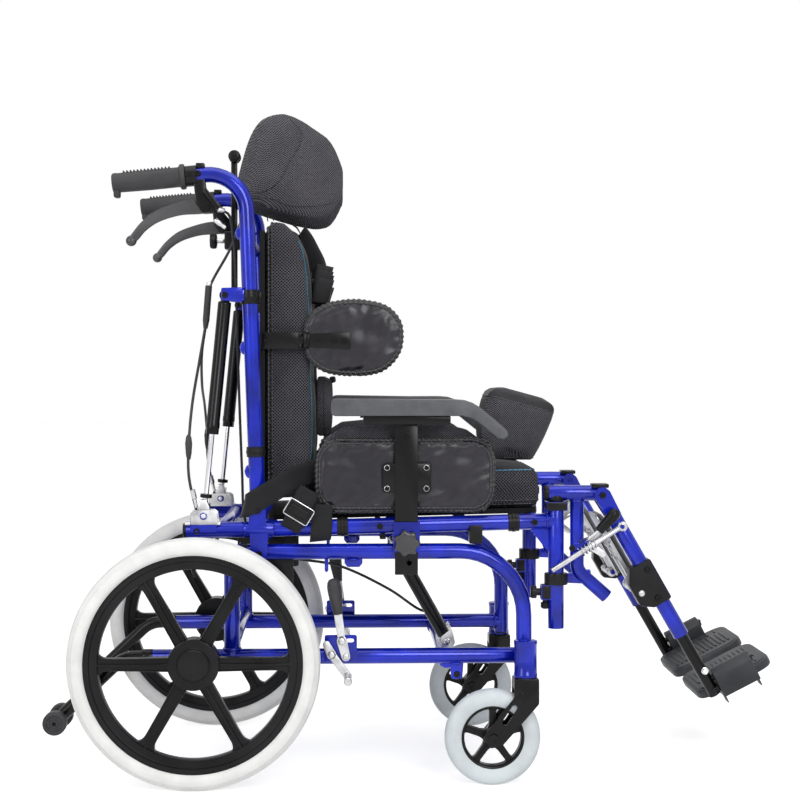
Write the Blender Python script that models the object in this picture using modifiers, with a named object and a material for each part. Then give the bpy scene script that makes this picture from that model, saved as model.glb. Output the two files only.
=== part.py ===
"""Pediatric reclining wheelchair: a tilting seat on a wheeled base, a reclining back with push
handles and a head pad, swing-away elevating leg supports, side pads and arm pads.

Metres, +Z up, +X forward, +Y to the sitter's left. While modelling, X is measured from the rear
axle and Z from the floor. ROOT_X then brings the origin under the middle of the whole chair.
"""

import math

import bmesh
import bpy
from mathutils import Matrix, Vector

# From the rear axle back to the middle of the whole chair.
ROOT_X = -0.3505

# Clearances.
FIT = 0.0004  # between a piece and the piece that it turns or slides on
COLLAR_FREE = 0.0010  # between the leg supports' collars and the front posts
SEAT_GAP = 0.0003  # between a piece and what it rests on
SIDE_GAP = 0.0010  # beside a plate that swings past another

# Tubes.
TUBE_R = 0.0127
SLIM_R = 0.0110
TUBE_SIDES = 2  # bevel resolution, so eight sides
BEND_STEP = math.radians(22.5)

# Base frame.
RAIL_Y = 0.192
LOWER_Z = 0.2015
UPPER_Z = 0.371
LOWER_REAR_X = -0.075
LOWER_FRONT_X = 0.529
UPRIGHT_X = 0.0565
FRONT_BEND_R = 0.104
FRONT_FOOT_Z = 0.182
FRONT_CROSS_X = 0.404
FRONT_CROSS_Z = 0.192
UPPER_REAR_X = 0.082
UPRIGHT_TOP_Z = 0.244
SIDE_PLATE_T = 0.003
PLUG_DEPTH = 0.045
PLUG_R = 0.0095
TILT_PIVOT = (0.1009, 0.369)

# Rear wheels.
WHEEL_R = 0.200
TYRE_H = 0.027
TYRE_W = 0.044
WHEEL_Y = 0.250
RIM_H = 0.023
RIM_W = 0.030
HUB_R = 0.041
HUB_W = 0.046
SPOKES = 6
SPOKE_W = 0.024
SPOKE_T = 0.014
SPOKE_FLARE = 0.020
RIB_T = 0.005
RIB_RISE = 0.003
CAP_RISE = 0.021
AXLE_R = 0.006
AXLE_PAST = 0.010
AXLE_FREE = 0.002
WHEEL_STEPS = 28

# Casters.
STEM_X = 0.528
CASTER_Y = 0.227
TRAIL = 0.0532
CASTER_R = 0.077
CASTER_RIM_R = 0.052
CASTER_W = 0.030
CASTER_STEPS = 20
HOUSING_R = 0.0185
HOUSING_LOW_Z = 0.172
HOUSING_HIGH_Z = 0.231
STEM_R = 0.006
STEM_DEPTH = 0.048
FORK_T = 0.004
FORK_TOP_T = 0.018
FORK_HALF_X = 0.020
CASTER_HUB_R = 0.016
CASTER_SPOKES = 5
CASTER_SPOKE_W = 0.012
CASTER_FLARE = 0.008
CASTER_AXLE_R = 0.004

# Anti-tippers, carried in the rear ends of the lower rails.
TIP_WHEEL = (-0.2223, 0.1029)
TIP_WHEEL_R = 0.019
TIP_WHEEL_W = 0.020
TIP_WHEEL_SPREAD = 0.032
TIP_AXLE_R = 0.0045
TIP_BEND_X = -0.118
TIP_EYE_R = 0.0125

# Brakes. The lever and the shoe arm swing beside the slotted plate, in layers going outwards.
BRAKE_PIVOT = (0.2338, 0.2295)
BRAKE_LINK = (0.2402, 0.2039)
BRAKE_TOP = (0.2195, 0.330)
BRAKE_GRIP_Z = 0.273
BRAKE_GRIP_R = 0.0115
SHOE_PIVOT = (0.2170, 0.2070)
SHOE_TIP = (0.2434, 0.1718)
SHOE_REAR = (0.2090, 0.2232)
SHOE_R = 0.006
BRAKE_T = 0.0035
BRAKE_PIN_R = 0.0035
BRAKE_PLATE_X = (0.206, 0.258)
BRAKE_PLATE_TOP_Z = 0.238
BRAKE_PLATE_T = 0.003

# Seat frame. Its side rails rise a little to the front.
SEAT_REAR = (-0.019, 0.405)
SEAT_FRONT = (0.568, 0.419)
POST_X = 0.5813
POST_LOW_Z = 0.248
POST_HIGH_Z = 0.440
RECLINE_PIVOT = (0.0986, 0.4384)
EAR_T = 0.004
EAR_R = 0.013
PIVOT_R = 0.004
SEAT_CROSS_X = (0.040, 0.150, 0.335, 0.545)
CLEVIS_HALF_X = 0.021
CHEEK_T = 0.003
SADDLE_X = (0.440, 0.460)
POST_CAP_Z = 0.4510
POST_PIN_R = 0.006
POST_PIN_DEPTH = 0.040
SOCKET_Z = (0.372, 0.420)
SOCKET_WALL = 0.0025

# Arm bars, which slide in sockets on the seat rails, and what they carry.
ARM_BAR_X = (0.319, 0.356)
ARM_BAR_LOW_Z = 0.335
ARM_BAR_HIGH_Z = 0.577
ARM_BAR_T = 0.004
ARM_KNOB = (0.3375, 0.387)
ARM_KNOB_R = 0.022
ARM_KNOB_T = 0.018
ARM_SCREW_R = 0.004
ARM_PAD_X = (0.215, 0.500)
ARM_PAD_Z = (0.588, 0.616)
ARM_PAD_W = 0.046
ARM_PAD_DROP_Z = 0.556
ARM_STRIP_X = (0.268, 0.408)
HIP_PAD_X = (0.187, 0.485)
HIP_PAD_Z = (0.4315, 0.556)
HIP_PAD_Y = (0.1685, 0.2020)

# Back frame.
CANE_TOP = (0.0785, 0.984)
HANDLE_END = (-0.124, 0.9642)
CANE_BEND_R = 0.060
GRIP_LENGTH = 0.1175
GRIP_PAST = 0.010
GRIP_R = 0.0165
CLAMP_LENGTH = 0.020
LEVER_PIVOT = (0.0180, 0.9240)
LEVER_ELBOW = (-0.058, 0.930)
LEVER_TIP = (-0.1037, 0.8714)
LEVER_R = 0.0055
GRIP_RIBS = 4
BACK_CROSS_Z = (0.500, 0.700, 0.885)
BACK_CROSS_SET = 0.0078
SPRING_TOP = (0.0467, 0.7842)
SPRING_LOW = (0.0121, 0.4300)
SPRING_R = 0.0105
SPRING_LENGTH = 0.215
ROD_R = 0.004
EYE_R = 0.009
RECLINE_BORE = 0.150
RECLINE_IN = 0.060
CABLE_R = 0.0022
CABLE_STEP = 0.060
BARREL_TOP = (0.0160, -0.140, 0.802)  # the barrel behind the back, where the cable divides
BARREL_FOOT = (0.0105, -0.140, 0.732)
BARREL_R = 0.0055
FERRULE_REAR = (0.034, 0.192, 0.9220)
FERRULE_FRONT = (0.046, 0.190, 0.9205)
FERRULE_R = 0.0038

# Tilt springs, two beside each other.
TILT_LOW = (0.4099, 0.2119)
TILT_HIGH = (0.3055, 0.398)
TILT_SPRING_Y = (-0.100, -0.040)
TILT_SPRING_LENGTH = 0.150
TILT_BORE = 0.107
TILT_IN = 0.100

# Cushions and pads.
BOARD_T = 0.008
BOARD_X = (0.112, 0.556)
CUSHION_HALF_W = 0.164
CUSHION_X = (0.190, 0.5626)
CUSHION_T = 0.078
BACK_BOARD_X = 0.1005
BACK_CUSHION_T = 0.070
BACK_Z = (0.446, 0.911)
BACK_HALF_W = 0.163
BACK_TOP_RECESS = 0.030  # how far the cushion's face leans back at its top
POMMEL_HALF_W = 0.060
POMMEL_CORNERS = [(0.478, 0.5106), (0.562, 0.5106), (0.604, 0.607), (0.492, 0.6385)]
POMMEL_ROUND = 0.012
POMMEL_RIM = 0.010
LATERAL_HINGE = (0.1745, 0.1690)
LATERAL_Z = (0.654, 0.778)
LATERAL_ARM_Z = (0.699, 0.723)
LATERAL_T = 0.030
STRIP_T = 0.004
HEAD_STEM_X = 0.046
HEAD_STEM_Z = (0.800, 1.000)
HEAD_STEM_HALF = 0.009
HEAD_CLAMP_Z = (0.862, 0.912)
HEAD_KNOB = (0.050, 1.0316)
HEAD_PAD_REAR = (0.058, 0.963)
HEAD_PAD_LEAN = math.radians(18)
HEAD_PAD_H = 0.134
HEAD_PAD_T = 0.050
HEAD_PAD_HALF_W = 0.112
HEAD_WING = (0.128, 0.100)
HEAD_WING_DROP = 0.042

# Leg supports.
LEG_Y = RAIL_Y
HANGER_TUBE_Z = 0.4647
HANGER_REAR_X = 0.565
KNEE = (0.6547, 0.4621)
HANGER_DOWN_X = 0.6154
HANGER_DOWN_R = 0.0105
HANGER_BEND = (0.6154, 0.350)
HANGER_STUB = (0.663, 0.293)
COLLAR_Z = (0.316, 0.335)
LEG_ANGLE = math.radians(-60.2)
LEG_LENGTH = 0.265
CALF_PIVOT = (0.7175, 0.3038)
CLAMP_ALONG = (0.128, 0.200)
CLAMP_HALF_W = 0.0153
FOOT_R = 0.0095
FOOT_IN = 0.120
FOOT_END = 0.376
FOOT_HINGE_ALONG = 0.350
PLATE_ANGLE = math.radians(27)
FOOTPLATE_A = (-0.050, 0.113)
FOOTPLATE_Y = (0.018, 0.178)
FOOTPLATE_N = (-0.032, -0.016)
SLEEVE_A = (0.012, 0.078)
SLEEVE_Y = (0.174, 0.210)
SLEEVE_N = (-0.034, 0.014)
CALF_Y = (0.050, 0.154)
CALF_ALONG = (-0.140, 0.012)
CALF_T = 0.014
CALF_PIN_Y = (0.070, 0.190)
CALF_ANGLE = math.radians(-60.2)
FOOT_RIBS = 9
ELEVATION_R = 0.0035
ELEVATION_LOW = (0.5720, 0.3410)
ELEVATION_TOP = (0.6851, 0.4119)
RATCHET = (0.6364, 0.3796)


# Places that follow from the sizes above.
SIDE_NAMES = {-1: "right", 1: "left"}
RAIL_IN_Y = RAIL_Y - TUBE_R
RAIL_OUT_Y = RAIL_Y + TUBE_R
PLATE_OUT_Y = RAIL_IN_Y - 0.0006
PLATE_IN_Y = PLATE_OUT_Y - SIDE_PLATE_T
EAR_OUT_Y = RAIL_OUT_Y + SIDE_GAP
EAR_IN_Y = PLATE_IN_Y - SIDE_GAP
HUB_IN_Y = WHEEL_Y - HUB_W / 2
BRAKE_PLATE_Y = RAIL_OUT_Y + BRAKE_PLATE_T / 2
SHOE_IN_Y = BRAKE_PLATE_Y + BRAKE_PLATE_T / 2 + SIDE_GAP
LEVER_IN_Y = SHOE_IN_Y + BRAKE_T + SIDE_GAP
CASTER_X = STEM_X - TRAIL
CASTER_CHEEK_Y = CASTER_W / 2 + SIDE_GAP
TILT_CHEEK_Y = SPRING_R + SIDE_GAP
LEG_DIRECTION = (math.cos(LEG_ANGLE), math.sin(LEG_ANGLE))
SEAT_SLOPE = math.atan2(SEAT_FRONT[1] - SEAT_REAR[1], SEAT_FRONT[0] - SEAT_REAR[0])
BAR_IN_Y = RAIL_OUT_Y + SIDE_GAP + SOCKET_WALL + FIT
BAR_OUT_Y = BAR_IN_Y + ARM_BAR_T
SOCKET_OUT_Y = BAR_OUT_Y + FIT + SOCKET_WALL

KNEE_EAR_Y = TUBE_R + SIDE_GAP
ELEVATION_Y = LEG_Y + KNEE_EAR_Y + EAR_T + SIDE_GAP + ELEVATION_R
PIVOTS = {}
MATERIALS = {}


def clear_scene():
    for obj in list(bpy.data.objects):
        bpy.data.objects.remove(obj, do_unlink=True)


def new_collection(name):
    collection = bpy.data.collections.new(name)
    bpy.context.scene.collection.children.link(collection)
    return collection


def principled(name, colour, roughness, metallic=0.0):
    material = bpy.data.materials.new(name)
    material.use_nodes = True
    shader = material.node_tree.nodes["Principled BSDF"]
    shader.inputs["Base Color"].default_value = (*colour, 1.0)
    shader.inputs["Roughness"].default_value = roughness
    shader.inputs["Metallic"].default_value = metallic
    material.diffuse_color = (*colour, 1.0)
    return material


def linked(name, data):
    obj = bpy.data.objects.new(name, data)
    PARTS.objects.link(obj)
    return obj


def as_mesh(obj, weld=0.00001):
    """The object as a plain mesh with its modifiers applied, in world space. The object is removed."""
    bpy.context.view_layer.update()
    graph = bpy.context.evaluated_depsgraph_get()
    evaluated = obj.evaluated_get(graph)
    mesh = bpy.data.meshes.new_from_object(evaluated)
    mesh.transform(obj.matrix_world)
    name = obj.name
    bpy.data.objects.remove(obj, do_unlink=True)
    bm = bmesh.new()
    bm.from_mesh(mesh)
    bmesh.ops.remove_doubles(bm, verts=bm.verts, dist=weld)
    bmesh.ops.recalc_face_normals(bm, faces=bm.faces)
    bm.to_mesh(mesh)
    bm.free()
    return linked(name, mesh)


def from_bmesh(name, bm):
    mesh = bpy.data.meshes.new(name)
    bm.to_mesh(mesh)
    bm.free()
    return linked(name, mesh)


def box(low, high, turn=0.0, centre=None):
    """A block between two corners, turned by an angle from +X to +Z about a line along Y."""
    low = Vector(low)
    high = Vector(high)
    middle = (low + high) / 2
    about = middle if centre is None else Vector(centre)
    bm = bmesh.new()
    bmesh.ops.create_cube(bm, size=1.0)
    bmesh.ops.scale(bm, vec=high - low, verts=bm.verts)
    bmesh.ops.translate(bm, vec=middle, verts=bm.verts)
    bmesh.ops.rotate(bm, cent=about, matrix=Matrix.Rotation(-turn, 3, "Y"), verts=bm.verts)
    return from_bmesh("box", bm)


def rod(start, end, radius, sides=8, end_radius=None):
    """A round bar, or a cone, between two points."""
    start = Vector(start)
    end = Vector(end)
    bm = bmesh.new()
    bmesh.ops.create_cone(
        bm,
        cap_ends=True,
        segments=sides,
        radius1=radius,
        radius2=radius if end_radius is None else end_radius,
        depth=(end - start).length,
    )
    turn = (end - start).to_track_quat("Z", "Y").to_matrix()
    bmesh.ops.rotate(bm, cent=(0, 0, 0), matrix=turn, verts=bm.verts)
    bmesh.ops.translate(bm, vec=(start + end) / 2, verts=bm.verts)
    return from_bmesh("rod", bm)


def across(x, z, side, inner, outer, radius, sides=8):
    """A round bar along Y between two distances from the middle plane."""
    return rod((x, side * inner, z), (x, side * outer, z), radius, sides)


def rounded_route(corners, radius):
    """The points of a route whose corners are arcs of one bend radius."""
    corners = [Vector(corner) for corner in corners]
    points = [corners[0]]
    for before, corner, after in zip(corners, corners[1:], corners[2:]):
        back = (before - corner).normalized()
        ahead = (after - corner).normalized()
        half = back.angle(ahead) / 2
        sweep = math.pi - 2 * half
        centre = corner + (back + ahead).normalized() * (radius / math.sin(half))
        first = corner + back * (radius / math.tan(half)) - centre
        axis = ahead.cross(back)
        steps = max(2, round(sweep / BEND_STEP))
        for step in range(steps + 1):
            points.append(centre + Matrix.Rotation(sweep * step / steps, 3, axis) @ first)
    points.append(corners[-1])
    return points


def tube(corners, radius, bend=None, resolution=TUBE_SIDES):
    """A bent tube, solid inside, as a mesh that a Boolean can take."""
    points = rounded_route(corners, bend) if bend else [Vector(corner) for corner in corners]
    curve = bpy.data.curves.new("tube", "CURVE")
    curve.dimensions = "3D"
    curve.twist_mode = "MINIMUM"
    curve.bevel_depth = radius
    curve.bevel_resolution = resolution
    curve.use_fill_caps = True
    spline = curve.splines.new("POLY")
    spline.points.add(len(points) - 1)
    for spot, point in zip(spline.points, points):
        spot.co = (*point, 1.0)
    return as_mesh(linked("tube", curve))


def arc(centre, radius, start, end, steps):
    """Points of an arc from one angle to another, in degrees."""
    return [
        (
            centre[0] + radius * math.cos(math.radians(start + (end - start) * step / steps)),
            centre[1] + radius * math.sin(math.radians(start + (end - start) * step / steps)),
        )
        for step in range(steps + 1)
    ]


def bar_outline(start, end, radius, end_radius=None, steps=4):
    """The outline of a flat bar with round ends, from one centre to the other."""
    end_radius = radius if end_radius is None else end_radius
    angle = math.degrees(math.atan2(end[1] - start[1], end[0] - start[0]))
    first = arc(start, radius, angle + 90, angle + 270, steps)
    return first + arc(end, end_radius, angle - 90, angle + 90, steps)


def plate(outlines, y_low, y_high):
    """A flat sheet standing in the XZ plane. The outlines after the first are its holes."""
    curve = bpy.data.curves.new("plate", "CURVE")
    curve.dimensions = "2D"
    curve.fill_mode = "BOTH"
    curve.extrude = (y_high - y_low) / 2
    for outline in outlines:
        spline = curve.splines.new("POLY")
        spline.points.add(len(outline) - 1)
        spline.use_cyclic_u = True
        for spot, (x, z) in zip(spline.points, outline):
            spot.co = (x, z, 0.0, 1.0)
    obj = linked("plate", curve)
    obj.rotation_euler = (math.pi / 2, 0.0, 0.0)
    obj.location = (0.0, (y_low + y_high) / 2, 0.0)
    return as_mesh(obj)


def turned(profile, centre, axis, steps):
    """A profile of (radius, height) points turned about an axis through the centre.

    The profile runs down its outer side, and closes on the axis or on itself.
    """
    closed = all(radius > 0.0 for radius, _ in profile)
    edges = [(i, i + 1) for i in range(len(profile) - 1)]
    if closed:
        edges.append((len(profile) - 1, 0))
    mesh = bpy.data.meshes.new("turned")
    mesh.from_pydata([(radius, 0.0, height) for radius, height in profile], edges, [])
    obj = linked("turned", mesh)
    screw = obj.modifiers.new("turn", "SCREW")
    screw.axis = "Z"
    screw.steps = steps
    screw.render_steps = steps
    screw.use_merge_vertices = True
    screw.merge_threshold = 0.00001
    obj.rotation_mode = "QUATERNION"
    obj.rotation_quaternion = Vector(axis).to_track_quat("Z", "Y")
    obj.location = centre
    return as_mesh(obj)


def fuse(pieces, cuts=()):
    """One solid from pieces that overlap, less the cutters."""
    body = pieces[0]
    helpers = []
    for operation, others in (("UNION", pieces[1:]), ("DIFFERENCE", list(cuts))):
        if not others:
            continue
        group = bpy.data.collections.new(operation)
        CUTTERS.children.link(group)
        for other in others:
            PARTS.objects.unlink(other)
            group.objects.link(other)
            other.hide_render = True
            other.display_type = "WIRE"
        modifier = body.modifiers.new(operation, "BOOLEAN")
        modifier.operation = operation
        modifier.solver = "EXACT"
        modifier.operand_type = "COLLECTION"
        modifier.collection = group
        helpers.append(group)
    solid = as_mesh(body)
    for group in helpers:
        for other in list(group.objects):
            bpy.data.objects.remove(other, do_unlink=True)
        bpy.data.collections.remove(group)
    return solid


def place(obj, name, material, parent, pivot, smooth=True):
    """Names a finished piece, with its origin on its joint and its parent as given."""
    obj.name = name
    obj.data.name = name
    obj.data.materials.clear()
    obj.data.materials.append(MATERIALS[material])
    pivot = Vector(pivot)
    obj.data.transform(Matrix.Translation(-pivot))
    obj.parent = parent
    above = Vector(PIVOTS.get(parent.name, (0.0, 0.0, 0.0)))
    obj.location = pivot - above
    PIVOTS[name] = tuple(pivot)
    if smooth:
        obj.data.shade_smooth()
        obj.data.set_sharp_from_angle(angle=math.radians(40))
    return obj


def rail_z(x):
    """Height of the seat rails' centre line."""
    share = (x - SEAT_REAR[0]) / (SEAT_FRONT[0] - SEAT_REAR[0])
    return SEAT_REAR[1] + share * (SEAT_FRONT[1] - SEAT_REAR[1])


def span(side, inner, outer):
    """The low and high Y of a stretch between two distances from the middle plane."""
    return (inner, outer) if side > 0 else (-outer, -inner)


def between(start, end, share):
    """A point part of the way from one (x, z) to another."""
    return (start[0] + share * (end[0] - start[0]), start[1] + share * (end[1] - start[1]))


def past(start, end, distance):
    """The (x, z) at a distance from the start, on the line to the end."""
    length = math.hypot(end[0] - start[0], end[1] - start[1])
    return between(start, end, distance / length)


def base_side(side):
    """One side loop of the base, with its caster housing, side plate, brake plate and tabs."""
    y = side * RAIL_Y
    upper = tube(
        [
            (UPPER_REAR_X, y, UPPER_Z),
            (LOWER_FRONT_X, y, UPPER_Z),
            (LOWER_FRONT_X, y, FRONT_FOOT_Z),
        ],
        TUBE_R,
        bend=FRONT_BEND_R,
    )
    lower = rod((LOWER_REAR_X, y, LOWER_Z), (LOWER_FRONT_X, y, LOWER_Z), TUBE_R)
    upright = rod((UPRIGHT_X, y, LOWER_Z), (UPRIGHT_X, y, UPRIGHT_TOP_Z), TUBE_R)
    cap = rod((UPRIGHT_X, y, UPRIGHT_TOP_Z - 0.002), (UPRIGHT_X, y, UPRIGHT_TOP_Z + 0.012), TUBE_R + 0.0015)
    stem_low = (STEM_X, side * CASTER_Y, HOUSING_LOW_Z)
    stem_high = (STEM_X, side * CASTER_Y, HOUSING_HIGH_Z)
    housing = rod(stem_low, stem_high, HOUSING_R, 12)
    low_y, high_y = span(side, RAIL_Y, CASTER_Y)
    saddle = box(
        (STEM_X - 0.011, low_y, HOUSING_LOW_Z + 0.012),
        (STEM_X + 0.011, high_y, HOUSING_HIGH_Z - 0.006),
    )
    outline = (
        [(0.0460, UPRIGHT_TOP_Z - 0.012), (0.0460, 0.360)]
        + arc((0.060, 0.368), 0.013, 160, 85, 3)
        + [(0.146, 0.380), (0.157, 0.371), (0.157, 0.340), (0.122, 0.306), (0.080, UPRIGHT_TOP_Z - 0.012)]
    )
    side_plate = plate([outline], *span(side, PLATE_IN_Y, PLATE_OUT_Y))
    low_y, high_y = span(side, PLATE_IN_Y + 0.001, RAIL_Y)
    spacers = [
        box((0.118, low_y, UPPER_Z - 0.007), (0.150, high_y, UPPER_Z + 0.007)),
        box(
            (UPRIGHT_X - 0.006, low_y, UPRIGHT_TOP_Z - 0.010),
            (UPRIGHT_X + 0.006, high_y, UPRIGHT_TOP_Z + 0.004),
        ),
    ]
    x, z = TILT_PIVOT
    pin = across(x, z, side, EAR_IN_Y - EAR_T - 0.001, EAR_OUT_Y + EAR_T + 0.001, PIVOT_R)
    axle = across(0.0, WHEEL_R, side, RAIL_IN_Y - 0.004, WHEEL_Y + AXLE_PAST, AXLE_R, 10)
    collar = across(0.0, WHEEL_R, side, RAIL_IN_Y - 0.002, HUB_IN_Y - FIT, AXLE_R + 0.005)
    tubes = [upper, lower, upright, cap, housing, saddle]
    return [*tubes, side_plate, pin, axle, collar, *spacers, *base_tabs(side)]


def base_bores(side):
    """The bores for the caster stem and for the anti-tipper's plug."""
    stem = rod(
        (STEM_X, side * CASTER_Y, HOUSING_LOW_Z - 0.010),
        (STEM_X, side * CASTER_Y, HOUSING_LOW_Z + STEM_DEPTH + 0.002),
        STEM_R + FIT,
        12,
    )
    plug = rod(
        (LOWER_REAR_X - 0.010, side * RAIL_Y, LOWER_Z),
        (LOWER_REAR_X + PLUG_DEPTH + 0.002, side * RAIL_Y, LOWER_Z),
        PLUG_R + FIT,
        12,
    )
    return [stem, plug]


def base_tabs(side):
    """The slotted brake plate with its pins, the tab under the lower rail and two under the upper rail."""
    inner, outer = span(side, BRAKE_PLATE_Y - BRAKE_PLATE_T / 2 - 0.0003, BRAKE_PLATE_Y + BRAKE_PLATE_T / 2)
    left, right = BRAKE_PLATE_X
    top = BRAKE_PLATE_TOP_Z
    brake = plate(
        [
            [
                (left, LOWER_Z - 0.006),
                (right, LOWER_Z - 0.006),
                (right, top - 0.005),
                (right - 0.005, top),
                (left, top),
            ],
            bar_outline((right - 0.017, top - 0.009), (right - 0.009, top - 0.009), 0.0035, steps=3),
        ],
        inner,
        outer,
    )
    low, high = span(side, RAIL_Y, BRAKE_PLATE_Y)
    foot = box((left + 0.003, low, LOWER_Z - 0.005), (right - 0.003, high, LOWER_Z + 0.006))
    tab_low, tab_high = span(side, RAIL_Y - 0.002, RAIL_Y + 0.002)
    tab = plate(
        [[(0.408, LOWER_Z), *arc((0.420, 0.171), 0.010, 200, 340, 4), (0.432, LOWER_Z)]],
        tab_low,
        tab_high,
    )
    bolt = rod((0.420, side * (RAIL_Y - 0.005), 0.171), (0.420, side * (RAIL_Y + 0.006), 0.171), 0.0045, 8)
    pins = [
        across(*SHOE_PIVOT, side, BRAKE_PLATE_Y, SHOE_IN_Y + BRAKE_T + 0.0005, BRAKE_PIN_R, 8),
        across(*BRAKE_PIVOT, side, BRAKE_PLATE_Y, LEVER_IN_Y + BRAKE_T + 0.001, BRAKE_PIN_R, 8),
    ]
    hook = plate([[(0.206, UPPER_Z), (0.206, 0.338), (0.211, 0.338), (0.211, UPPER_Z)]], tab_low, tab_high)
    lug = plate(
        [
            [
                (0.238, UPPER_Z),
                (0.238, 0.352),
                (0.243, 0.348),
                (0.262, 0.348),
                (0.267, 0.352),
                (0.267, UPPER_Z),
            ]
        ],
        tab_low,
        tab_high,
    )
    return [brake, foot, tab, bolt, hook, lug, *pins]


def tilt_cheek(middle):
    """One ear of the tilt springs' bracket, welded to the front cross tube."""
    x, z = TILT_LOW
    outline = [
        (FRONT_CROSS_X - 0.009, FRONT_CROSS_Z),
        (FRONT_CROSS_X + 0.009, FRONT_CROSS_Z - 0.002),
        (x + 0.013, z - 0.002),
        (x + 0.007, z + 0.022),
        (x - 0.010, z + 0.008),
    ]
    hole = arc(TILT_LOW, PIVOT_R + FIT, 0, 315, 7)
    return plate([outline, hole], middle - CHEEK_T / 2, middle + CHEEK_T / 2)


def base_frame(root):
    """Two side loops joined by two cross tubes, with the tilt springs' bracket in front."""
    sides = base_side(-1) + base_side(1)
    crosses = [
        rod((x, -RAIL_Y, z), (x, RAIL_Y, z), SLIM_R)
        for x, z in (
            (FRONT_CROSS_X, FRONT_CROSS_Z),
            (UPRIGHT_X, LOWER_Z + 0.018),
        )
    ]
    bracket = [
        tilt_cheek(y + edge * (TILT_CHEEK_Y + CHEEK_T / 2)) for y in TILT_SPRING_Y for edge in (-1, 1)
    ]
    solid = fuse(sides + crosses + bracket, base_bores(-1) + base_bores(1))
    return place(solid, "base_frame", "blue_paint", root, (0.0, 0.0, LOWER_Z))


def rear_tyre(side, label, wheel):
    half = TYRE_W / 2
    inner = WHEEL_R - TYRE_H
    profile = [
        (WHEEL_R, 0.008),
        (WHEEL_R, -0.008),
        (WHEEL_R - 0.010, -half),
        (inner + 0.005, -half + 0.002),
        (inner, -RIM_W / 2),
        (inner, RIM_W / 2),
        (inner + 0.005, half - 0.002),
        (WHEEL_R - 0.010, half),
    ]
    solid = turned(profile, (0.0, side * WHEEL_Y, WHEEL_R), (0.0, side, 0.0), WHEEL_STEPS)
    return place(solid, "rear_tyre_" + label, "white_tyre", wheel, (0.0, side * WHEEL_Y, WHEEL_R))


def spoke_outline(inner, outer, width, flare):
    """A spoke pointing along +X, flared at the rim."""
    half = width / 2
    reach = outer - flare
    return [
        (inner, -half),
        (reach, -half * 0.8),
        (outer - 0.004, -half - flare * 0.8),
        (outer - 0.004, half + flare * 0.8),
        (reach, half * 0.8),
        (inner, half),
    ]


def turned_outline(outline, angle, centre):
    """An outline turned about the origin and moved to a centre."""
    return [
        (
            centre[0] + x * math.cos(angle) - z * math.sin(angle),
            centre[1] + x * math.sin(angle) + z * math.cos(angle),
        )
        for x, z in outline
    ]


def rear_wheel(side, label, base):
    """A moulded wheel: hub with a domed cap, six flared and ribbed spokes, and a channelled rim."""
    centre = (0.0, WHEEL_R)
    outer = WHEEL_R - TYRE_H - SEAT_GAP
    inner = outer - RIM_H
    half = RIM_W / 2
    rim = turned(
        [(outer, half), (outer, -half), (inner, -half + 0.004), (inner, half - 0.004)],
        (0.0, side * WHEEL_Y, WHEEL_R),
        (0.0, side, 0.0),
        WHEEL_STEPS,
    )
    bore = AXLE_R + FIT
    hub = turned(
        [
            (0.0, CAP_RISE),
            (0.024, CAP_RISE - 0.001),
            (0.027, CAP_RISE - 0.005),
            (HUB_R, CAP_RISE - 0.007),
            (HUB_R, -HUB_W / 2),
            (bore, -HUB_W / 2),
            (bore, AXLE_PAST + AXLE_FREE),
            (0.0, AXLE_PAST + AXLE_FREE),
        ],
        (0.0, side * WHEEL_Y, WHEEL_R),
        (0.0, side, 0.0),
        14,
    )
    spokes = []
    for index in range(SPOKES):
        angle = math.tau * index / SPOKES
        outline = spoke_outline(HUB_R - 0.010, inner + 0.006, SPOKE_W, SPOKE_FLARE)
        middle = side * WHEEL_Y
        half_t = SPOKE_T / 2
        spokes.append(plate([turned_outline(outline, angle, centre)], middle - half_t, middle + half_t))
        low, high = HUB_R - 0.006, inner + 0.004
        rib = [(low, -RIB_T / 2), (high, -RIB_T / 2), (high, RIB_T / 2), (low, RIB_T / 2)]
        half_t += RIB_RISE
        spokes.append(plate([turned_outline(rib, angle, centre)], middle - half_t, middle + half_t))
    solid = fuse([rim, hub, *spokes])
    return place(solid, "rear_wheel_" + label, "black_plastic", base, (0.0, side * WHEEL_Y, WHEEL_R))


def caster_fork(side, label, base):
    """A stem and top block with two slanted cheeks that carry the caster's axle."""
    y = side * CASTER_Y
    top = HOUSING_LOW_Z - SEAT_GAP
    inner = CASTER_CHEEK_Y
    outer = inner + FORK_T
    block = box((STEM_X - FORK_HALF_X, y - outer, top - FORK_TOP_T), (STEM_X + FORK_HALF_X, y + outer, top))
    stem = rod((STEM_X, y, top - FORK_TOP_T / 2), (STEM_X, y, HOUSING_LOW_Z + STEM_DEPTH), STEM_R, 12)
    outline = (
        [(STEM_X - FORK_HALF_X, top), (STEM_X - FORK_HALF_X, top - 0.030)]
        + arc((CASTER_X, CASTER_R), 0.0145, 150, 330, 5)
        + [(STEM_X + FORK_HALF_X, top - 0.040), (STEM_X + FORK_HALF_X, top)]
    )
    low_end = between((CASTER_X, CASTER_R), (STEM_X, top - 0.030), 0.42)
    high_end = between((CASTER_X, CASTER_R), (STEM_X, top - 0.030), 0.66)
    slot = bar_outline(low_end, high_end, 0.0045, steps=3)
    cheeks = []
    heads = []
    for edge in (-1, 1):
        middle = y + edge * (inner + FORK_T / 2)
        cheeks.append(plate([outline, slot], middle - FORK_T / 2, middle + FORK_T / 2))
        head = (CASTER_X, y + edge * (outer - 0.001), CASTER_R)
        heads.append(rod(head, (CASTER_X, y + edge * (outer + 0.004), CASTER_R), 0.0075, 6))
    pin = rod((CASTER_X, y - outer - 0.004, CASTER_R), (CASTER_X, y + outer + 0.004, CASTER_R), CASTER_AXLE_R)
    solid = fuse([block, stem, *cheeks, pin, *heads])
    return place(solid, "caster_fork_" + label, "black_metal", base, (STEM_X, y, CASTER_R))


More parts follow.
